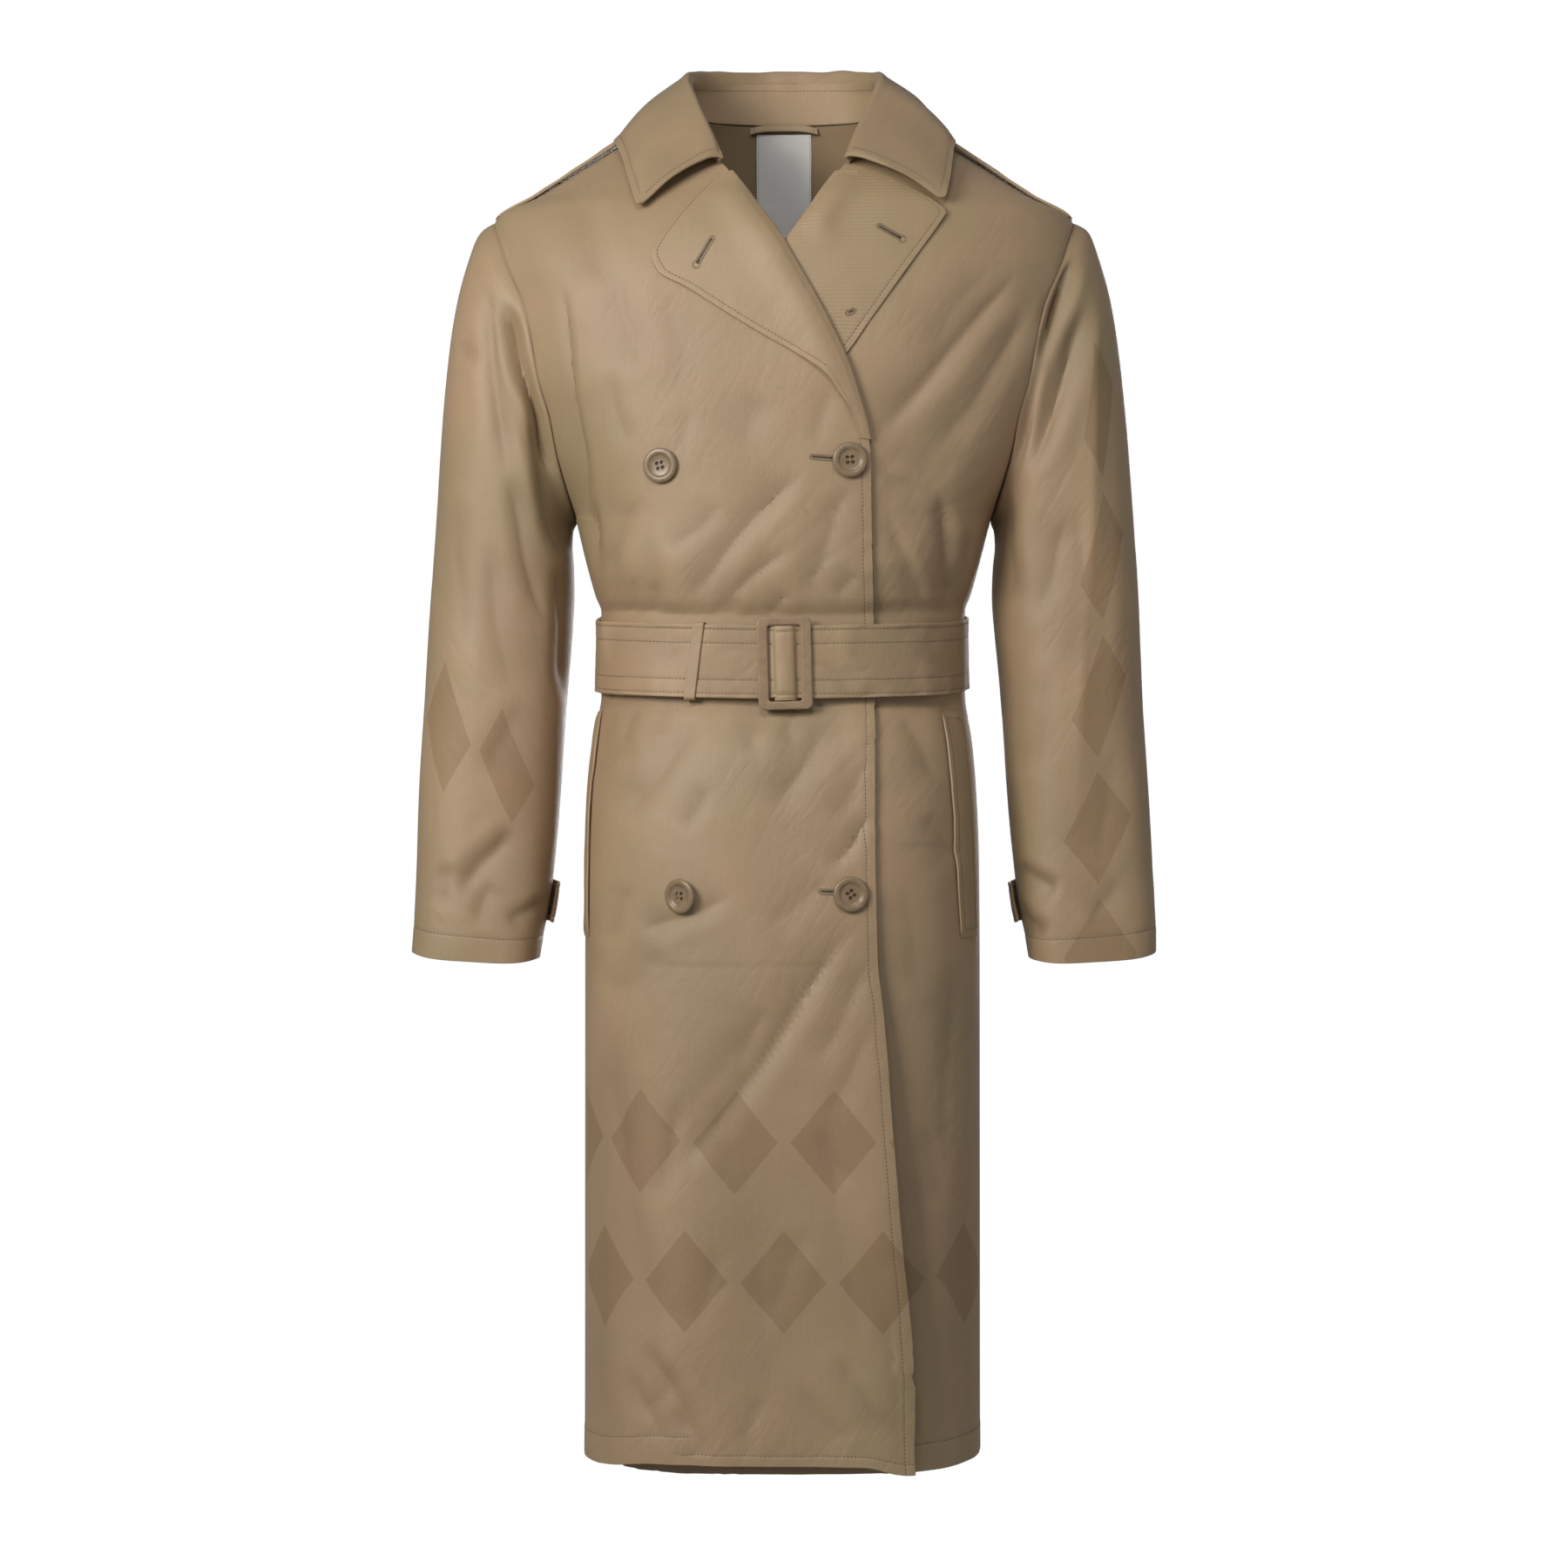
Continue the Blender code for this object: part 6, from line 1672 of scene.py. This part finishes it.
def make_keeper():
    """A narrow loop round both layers of the belt."""
    inside = BUCKLE_SEAT - 3 * GAP - KEEPER_THICK / 2
    outside = BELT_BASE + 2 * BELT_THICK + 4 * GAP + KEEPER_THICK / 2
    corner = 0.0022
    tall = BELT_WIDTH / 2 + 0.0006 + KEEPER_THICK / 2 - corner
    path = []
    for middle_out, middle_z, start in (
        (outside - corner, tall, 0),
        (inside + corner, tall, 90),
        (inside + corner, -tall, 180),
        (outside - corner, -tall, 270),
    ):
        for step in range(9):
            angle = math.radians(start + 90 * step / 8)
            out = middle_out + corner * math.cos(angle)
            path.append((out, middle_z + corner * math.sin(angle)))
        if start in (90, 270):
            out, height = path[-1]
            way = -1 if start == 90 else 1
            path += [(out, height + way * step / 20 * 2 * tall) for step in range(1, 20)]
    path = np.array(path)
    onwards = np.roll(path, -1, axis=0) - np.roll(path, 1, axis=0)
    away = unit(stacked(onwards[:, 1], -onwards[:, 0]))
    base = waist_point(KEEPER_THETA, 0.0, 0.0)
    out = unit(waist_point(KEEPER_THETA, 1.0, 0.0) - base)
    upward = np.array([0, 0, 1.0])
    along = np.cross(out, upward)
    shares = np.array([-1, -0.97, -0.90, -0.75, -0.5, 0, 0.5, 0.75, 0.90, 0.97, 1])
    across = (shares * KEEPER_WIDTH / 2)[:, None]
    half = half_wall(KEEPER_THICK, edge_round(KEEPER_WIDTH / 2 - np.abs(across)))
    faces = []
    for wall in (half, -half):
        offset, height = path[:, 0] + wall * away[:, 0], path[:, 1] + wall * away[:, 1]
        sideways = along * (across - KEEPER_LEAN * height)[..., None]
        faces.append(base + out * offset[..., None] + upward * height[..., None] + sideways)
    uv = across, distances(path, 0)
    return dressed(shell("coat_keeper", *faces, uv, PLAIN, tube=True), "belt_keeper")


# ---------------------------------------------------------------- cuff straps

STRAP_ALONG, STRAP_WIDTH, STRAP_THICK = 0.4275, 0.042, 0.0022

# degrees round the sleeve, height over it, share of the half width
STRAP = (
    (172, 0.0036, 0.92),
    (180, 0.0042, 1.00),
    (192, 0.0040, 1.00),
    (215, 0.0026, 1.00),
    (250, 0.0010, 1.00),
    (272, 0.0008, 1.00),
    (284, 0.0008, 0.90),
    (291, 0.0008, 0.20),
)
STRAP_START, STRAP_END = STRAP[0][0], STRAP[-1][0]


def make_cuff_straps():
    degrees = np.concatenate([
        [172, 172.15, 172.5, 173.2, 174.5], np.linspace(176, 284, 56),
        [285.5, 287, 288.3, 289.4, 290.3, 290.8, 291],
    ])[:, None]
    offset, half_width = spline(STRAP, degrees)
    steps = stitched_steps([STRAP_LINE]) / (STRAP_WIDTH / 2)
    aside = spread(steps[steps < 0.7], -1, 1, 5)[None, :]
    edge = (1 - np.abs(aside)) * STRAP_WIDTH / 2
    ends = np.minimum(degrees - STRAP_START, STRAP_END - degrees) * 0.0012
    thin = np.maximum(edge_round(edge), edge_round(ends))
    centre = offset + STRAP_THICK / 2 + sewn_lift(edge, STRAP_LINE, STRAP_RIM)
    # painted highlight on the turned edges, painted shade in the sewn lines
    tone = painted_edge_shading(edge, [STRAP_LINE])
    along = STRAP_ALONG + aside * half_width * STRAP_WIDTH / 2
    phi = np.radians(degrees)
    pieces = []
    for word, side in SIDES:
        normal = sleeve_normal(side, phi, along)
        outer, inner = two_faces(sleeve(side, phi, along), normal, centre, STRAP_THICK, thin)
        uv = phi * SLEEVE_RADIUS, along
        piece = shell(f"coat_{word}_cuff_strap", outer, inner, uv, PLAIN, tone)
        pieces.append(dressed(piece, f"{word}_cuff_strap"))
        for sign in (-1, 1):
            column = nearest(aside[0], sign * (1 - STRAP_LINE / (STRAP_WIDTH / 2)))
            run(outer, normal, slice(5, 61), column)
    make_stitches("strap_stitches", THREAD)
    return pieces


# ---------------------------------------------------------------- inside the neck

LABEL_HALF, LABEL_THICK = 0.0235, 0.0006
LOOP_HALF, LOOP_HALF_WIDTH, LOOP_THICK = 0.0290, 0.0030, 0.0018


def make_label():
    z = np.linspace(-0.104, 0.0095, 60)[:, None]
    shares = np.concatenate([[-1, -0.985, -0.95], np.linspace(-0.88, 0.88, 19), [0.95, 0.985, 1]])
    x = shares[None, :] * LABEL_HALF + 0 * z
    edge = LABEL_HALF - np.abs(x)
    near = -CLOTH - 0.0005 - 0.0022 * smooth(-z / 0.10) + 0.0005 * ripple(x, z, 0.02)
    near = near - 0.0005 * bell(edge, 0.003)
    half = LABEL_THICK / 2 * (1 - 0.9 * edge_round(edge))
    outer, inner = (on_body(behind_theta(x, z), z, near + wall) for wall in (half, -half))
    piece = shell("coat_label", outer, inner, (x, z), LABEL)
    for column in (2, -3):
        run(inner, unit(inner - outer), slice(None), column, pitch=0.0026, radius=0.00022)
    return dressed(piece, "neck_label")


def make_hanger_loop():
    across = np.linspace(-LOOP_HALF, LOOP_HALF, 60)[:, None]
    share = np.abs(across) / LOOP_HALF
    sides = np.array([-1, -0.97, -0.9, -0.7, -0.35, 0, 0.35, 0.7, 0.9, 0.97, 1])[None, :]
    z = 0.0135 - 0.0030 * share**3 + sides * LOOP_HALF_WIDTH
    stand_off = -CLOTH - 0.0016 - 0.0030 * (1 - share**4)
    seat_z = np.full(z.shape, 0.0120)
    loop = on_body(behind_theta(across, seat_z), seat_z, stand_off)
    loop[..., 2] = z
    thin = edge_round((1 - np.abs(sides)) * LOOP_HALF_WIDTH)
    half = half_wall(LOOP_THICK, thin)[..., None] * (0, 1, 0)
    front = loop - half
    piece = shell("coat_hanger_loop", front, loop + half, (across, z), PLAIN)
    forward = np.broadcast_to((0, -1.0, 0), front.shape)
    for column in (2, 8):
        run(front, forward, slice(None), column, pitch=0.0026, radius=0.00024)
    for end in (-0.0262, 0.0262):
        row = nearest(across[:, 0], end)
        run(front, forward, row, slice(1, -1), pitch=0.0012, radius=0.00030)
    return dressed(piece, "hanger_loop")


# ---------------------------------------------------------------- buttons

# radius, thickness
LARGE_BUTTON, SMALL_BUTTON = (0.0140, 0.0034), (0.0092, 0.0028)
SPINS = (0.22, 0.10, 0.4, 0.3, 0.05, 0.62)  # how far each front button is turned
HOLE_APART, HOLE_RADIUS = 0.200, 0.112  # shares of a button's radius

# share of the radius, share of the thickness, from the middle of the face to that of the back
BUTTON_PROFILE = (
    (0.00, 0.46), (0.30, 0.47), (0.50, 0.50), (0.585, 0.58), (0.63, 0.72), (0.675, 0.90),
    (0.73, 0.985), (0.79, 1.00), (0.86, 0.985), (0.92, 0.92), (0.965, 0.79), (0.99, 0.60),
    (1.00, 0.42), (0.985, 0.22), (0.93, 0.07), (0.84, 0.0), (0.5, 0.0), (0.0, 0.0),
)


def turned_disc(name, radius, thick):
    """A button before its holes are cut, face up, with its back at 0."""
    segments = 64
    points, rings = [], []
    for share, height in BUTTON_PROFILE:
        if share == 0:
            rings.append([len(points)] * segments)
            points.append((0, 0, height * thick))
            continue
        rings.append(list(range(len(points), len(points) + segments)))
        for i in range(segments):
            angle = 2 * math.pi * i / segments
            x, y = radius * share * math.cos(angle), radius * share * math.sin(angle)
            points.append((x, y, height * thick))
    faces = []
    for first, second in zip(rings, rings[1:]):
        for i in range(segments):
            j = (i + 1) % segments
            faces.append(list(dict.fromkeys([first[i], first[j], second[j], second[i]])))
    mesh = bpy.data.meshes.new(name)
    mesh.from_pydata(points, [], faces)
    turn_faces_out(mesh)
    return new_object(name, mesh)


def button_mesh(name, radius, thick):
    """A turned button: rounded rim, a step, a dished middle and four holes cut through."""
    disc = turned_disc(name, radius, thick)
    for i in range(4):
        angle = math.pi / 4 + i * math.pi / 2
        hole = radius * HOLE_RADIUS
        cutter = bmesh.new()
        bmesh.ops.create_cone(
            cutter, cap_ends=True, segments=20, radius1=hole, radius2=hole, depth=thick * 3)
        x, y = (radius * HOLE_APART * part for part in (math.cos(angle), math.sin(angle)))
        bmesh.ops.translate(cutter, verts=cutter.verts, vec=(x, y, thick * 0.5))
        tool_mesh = bpy.data.meshes.new("hole")
        cutter.to_mesh(tool_mesh)
        cutter.free()
        tool = new_object("hole", tool_mesh)
        cut = disc.modifiers.new("hole", "BOOLEAN")
        cut.operation, cut.object, cut.solver = "DIFFERENCE", tool, "EXACT"
        graph = bpy.context.evaluated_depsgraph_get()
        cut_mesh = bpy.data.meshes.new_from_object(disc.evaluated_get(graph))
        disc.modifiers.clear()
        disc.data = cut_mesh
        bpy.data.objects.remove(tool, do_unlink=True)
    mesh = disc.data
    mesh.materials.clear()
    mesh.materials.append(PLASTIC)
    mesh.shade_smooth()
    mesh.set_sharp_from_angle(angle=math.radians(38))
    bpy.data.objects.remove(disc, do_unlink=True)
    return mesh


def sew_on(centre, out, radius, thick, spin):
    """Thread through a button's holes: two bars of two threads."""
    across = unit(np.cross((0, 0, 1.0), out))
    up = np.cross(out, across)
    corners = []
    for i in range(4):
        angle = math.pi / 4 + i * math.pi / 2 + spin
        corner = across * math.cos(angle) + up * math.sin(angle)
        corners.append(centre + out * thick * 0.52 + corner * radius * HOLE_APART)
    for start, end in ((corners[0], corners[3]), (corners[1], corners[2])):
        middle = (start + end) / 2 + out * 0.0003
        sideways = unit(np.cross(end - start, out))
        path = np.array([
            start - out * 0.0006, start + out * 0.0001, middle,
            end + out * 0.0001, end - out * 0.0006,
        ])
        for shift in (-0.00022, 0.00022):
            stitch(path + sideways * shift, [out] * 5, pitch=None, radius=0.00024, lift=0)


def put_button(node, mesh, size, centre, out, spin):
    """The mesh copied with its +Z along out and its back face at the centre, and sewn on."""
    out = unit(out)
    forward = Vector(out)
    across = Vector((0, 0, 1)).cross(forward).normalized()
    turn = Matrix((across, forward.cross(across), forward)).transposed().to_4x4()
    copy = mesh.copy()
    copy.transform(Matrix.Translation(Vector(centre)) @ turn @ Matrix.Rotation(spin, 4, "Z"))
    dressed(new_object("coat_" + node, copy), node)
    sew_on(centre, out, *size, spin)


def make_buttons():
    large = button_mesh("button_large", *LARGE_BUTTON)
    small = button_mesh("button_small", *SMALL_BUTTON)
    for (name, x, z), spin in zip(FRONT_BUTTONS, SPINS):
        z = np.array(z)
        theta = theta_at(np.array(x), z)
        normal = body_normal(theta, z)
        centre = body(theta, z) + normal * (top_outer(theta, z) + 0.0009)
        if name == "button_skirt_right":
            # this one hangs a little askew
            normal = unit(normal + (-0.42, 0.0, -0.10))
        put_button(name, large, LARGE_BUTTON, centre, normal, spin)
    for word, side in SIDES:
        place = side, np.array(0.91), np.array(0.0)
        seat = epaulette_points(*place, EPAULETTE_THICK + 0.0005)
        out = epaulette_points(*place, EPAULETTE_THICK + 0.01) - seat
        put_button("button_epaulette_" + word, small, SMALL_BUTTON, seat, out, 0.3)
    for word, side in SIDES:
        phi, along = np.radians(276.0), np.array(STRAP_ALONG)
        normal = sleeve_normal(side, phi, along)
        seat = sleeve(side, phi, along) + normal * (0.0008 + STRAP_THICK + 0.0008)
        put_button("button_cuff_" + word, small, SMALL_BUTTON, seat, normal, 0.2)
    make_stitches("button_threads", THREAD)


def hole_outline(start, end, along, aside, eyelet):
    """Points round a buttonhole: down one side, round its end, back, and round its eyelet."""
    points = []
    sides = 26
    for i in range(sides):
        points.append(start + (end - start) * i / sides + aside * 0.0006)
    for i in range(5):
        angle = math.pi / 2 - math.pi * (i + 0.5) / 5
        points.append(end + 0.0008 * (along * math.cos(angle) + aside * math.sin(angle)))
    for i in range(sides, 0, -1):
        points.append(start + (end - start) * i / sides - aside * 0.0006)
    for i in range(13):
        angle = math.pi * (0.2 + 1.6 * i / 12)
        turned = along * math.cos(angle) - aside * math.sin(angle)
        points.append(start - along * eyelet * 0.6 + eyelet * turned)
    return np.array(points)


def buttonhole(name, surface, start, end, eyelet=0.0018, slit=0.0013):
    """A keyhole buttonhole: a slit painted as shade by a near-black sheet, with overcast stitches
    round it. surface(x, z) gives points and normals on the cloth; the eyelet is at the start,
    and the slit is wider there."""
    start, end = np.array(start), np.array(end)
    length = np.linalg.norm(end - start)
    along = (end - start) / length
    aside = np.array([-along[1], along[0]])
    outline = hole_outline(start, end, along, aside, eyelet)
    for i, point in enumerate(outline):
        onwards = outline[(i + 1) % len(outline)] - outline[i - 1]
        away = unit(np.array([onwards[1], -onwards[0]]))
        middle = start + along * np.clip(np.dot(point - start, along), -eyelet * 0.6, length)
        if np.dot(away, point - middle) < 0:
            away = -away
        path = point + np.outer([0, 0.5, 1], away * 0.0021)
        points, normals = surface(path[:, 0], path[:, 1])
        points = points + normals * [[0.0], [0.00025], [0.0]]
        stitch(points, normals, pitch=None, radius=0.00040, lift=0.00018)
    rows = np.linspace(0, 1, 14)
    width = np.outer(np.where(rows < 0.12, slit, 0.00045), aside)
    middle = start + np.outer(rows, end - start)
    grid = np.stack([middle + width, middle - width], axis=1)
    x, z = grid[..., 0], grid[..., 1]
    points, normals = surface(x, z)
    dressed(shell(name, points + normals * 0.00028, points - normals * 0.0004, (x, z), SLIT_SHADE))


def lapel_surface(outer, normal):
    """A surface(x, z) read off a grid of points, by interpolation in its front view."""
    flat, facing = outer.reshape(-1, 3), normal.reshape(-1, 3)

    def surface(x, z):
        points, normals = np.zeros((*x.shape, 3)), np.zeros((*x.shape, 3))
        for index in np.ndindex(x.shape):
            gap = (flat[:, 0] - x[index]) ** 2 + (flat[:, 2] - z[index]) ** 2
            gap = np.where(facing[:, 1] < 0, gap, 1.0)
            best = np.argpartition(gap, 4)[:4]
            weight = 1 / (gap[best] + 1e-10)
            weight = weight / weight.sum()
            points[index] = (x[index], weight @ flat[best, 1], z[index])
            normals[index] = unit(weight @ facing[best])
        return points, normals

    return surface


def top_surface(x, z):
    theta = theta_at(x, z)
    return on_body(theta, z, top_outer(theta, z)), body_normal(theta, z)


def make_buttonholes(right_lapel, left_lapel):
    buttonhole("buttonhole_chest", top_surface, (0.0391, -0.2843), (0.0219, -0.2832))
    buttonhole("buttonhole_skirt", top_surface, (0.0405, -0.6263), (0.0295, -0.6263))
    on_right, on_left = lapel_surface(*right_lapel), lapel_surface(*left_lapel)
    buttonhole("buttonhole_right_lapel", on_right, (-0.0690, -0.1290), (-0.0573, -0.1085))
    buttonhole("buttonhole_left_lapel", on_left, (0.0930, -0.1072), (0.0755, -0.0972))
    buttonhole(
        "buttonhole_small", on_left, (0.0512, -0.1683), (0.0548, -0.1669), 0.0009, 0.0005)
    make_stitches("buttonhole_stitches", HOLE_THREAD)


# ---------------------------------------------------------------- stage, light, camera


def make_stage():
    """A pale floor that turns up into a wall all round, far below and behind the coat."""
    finish = Material(
        "pale_floor", Roughness=0.9, Specular_IOR_Level=0.1, Emission_Strength=0.76,
        Emission_Color=(1, 1, 1, 1),
    )
    finish.mottled((0.93, 0.93, 0.93), 3.0, 2.0, 0.985, 1.0)
    flat, turn, top, floor_z, segments = 3.0, 4.0, 9.0, -1.75, 96
    profile = [(0.0, 0.0), (flat / 2, 0.0), (flat, 0.0)]
    for step in range(1, 17):
        angle = math.radians(90 * step / 16)
        profile.append((flat + turn * math.sin(angle), turn - turn * math.cos(angle)))
    profile.append((flat + turn, top))
    radius, height = np.array(profile).T[..., None]
    angle = np.linspace(0, 2 * math.pi, segments + 1)[:-1]
    points = stacked(radius * np.cos(angle), radius * np.sin(angle), floor_z + height)
    ids = np.arange(len(profile) * segments).reshape(-1, segments)
    beside = np.roll(ids, -1, axis=1)
    quads = stacked(ids[:-1], beside[:-1], beside[1:], ids[1:]).reshape(-1, 4)
    mesh = bpy.data.meshes.new("floor")
    mesh.from_pydata(points.reshape(-1, 3).tolist(), [], quads.tolist())
    mesh.materials.append(finish.made)
    mesh.shade_smooth()
    floor = new_object("floor", mesh)
    floor.visible_shadow = False
    floor.visible_diffuse = False
    floor.visible_glossy = False


def area_light(name, place, aim, size, power, color):
    light = bpy.data.lights.new(name, "AREA")
    light.shape, light.size, light.size_y = "RECTANGLE", size[0], size[1]
    light.energy, light.color = power, color
    lamp = new_object(name, light)
    lamp.location = place
    lamp.rotation_euler = (Vector(aim) - Vector(place)).to_track_quat("-Z", "Y").to_euler()
    lamp.visible_camera = False


def make_light():
    world = bpy.data.worlds.new("studio")
    world.use_nodes = True
    backdrop = world.node_tree.nodes["Background"]
    backdrop.inputs[0].default_value = (1.0, 1.0, 1.0, 1)
    backdrop.inputs[1].default_value = 0.22
    bpy.context.scene.world = world
    area_light("key", (-1.35, -1.75, 0.30), (0, 0, -0.34), (0.9, 0.9), 37, (1.0, 0.985, 0.955))
    area_light("fill", (2.4, -2.2, 0.2), (0, 0, -0.5), (1.6, 2.2), 7, (0.97, 0.985, 1.0))
    area_light("neck", (-0.1, -1.7, 0.75), (0, 0.1, -0.08), (0.5, 0.5), 8, (1.0, 1.0, 1.0))
    area_light("rim", (0.5, 3.0, -0.1), (0, 0, -0.5), (1.2, 1.4), 34, (1.0, 1.0, 1.0))


def make_camera():
    lens = bpy.data.cameras.new("view")
    distance, height_seen, middle_z = 3.0, 1.296, -0.5414
    lens.sensor_width = 36.0
    lens.lens = 36.0 * distance / height_seen
    lens.clip_end = 40
    camera = new_object("view", lens)
    camera.location = (0, -distance, middle_z)
    camera.rotation_euler = (math.radians(90), 0, 0)
    bpy.context.scene.camera = camera


# ---------------------------------------------------------------- the coat


def main():
    make_camera()
    top, under, back = make_panels()
    sleeves = make_sleeves()
    (right_lapel, *right_grids), (left_lapel, *left_grids) = make_lapels()
    stand, leaf = make_collar()
    epaulettes = make_epaulettes()
    welts = make_welts()
    belt = make_belt()
    make_buckle()
    roll = make_bar_roll()
    keeper = make_keeper()
    straps = make_cuff_straps()
    label = make_label()
    hanger = make_hanger_loop()
    make_stitches("neck_stitches", THREAD)
    make_buttons()
    make_buttonholes(right_grids, left_grids)
    make_stage()
    make_light()
    bpy.context.scene.view_settings.view_transform = "Standard"


main()
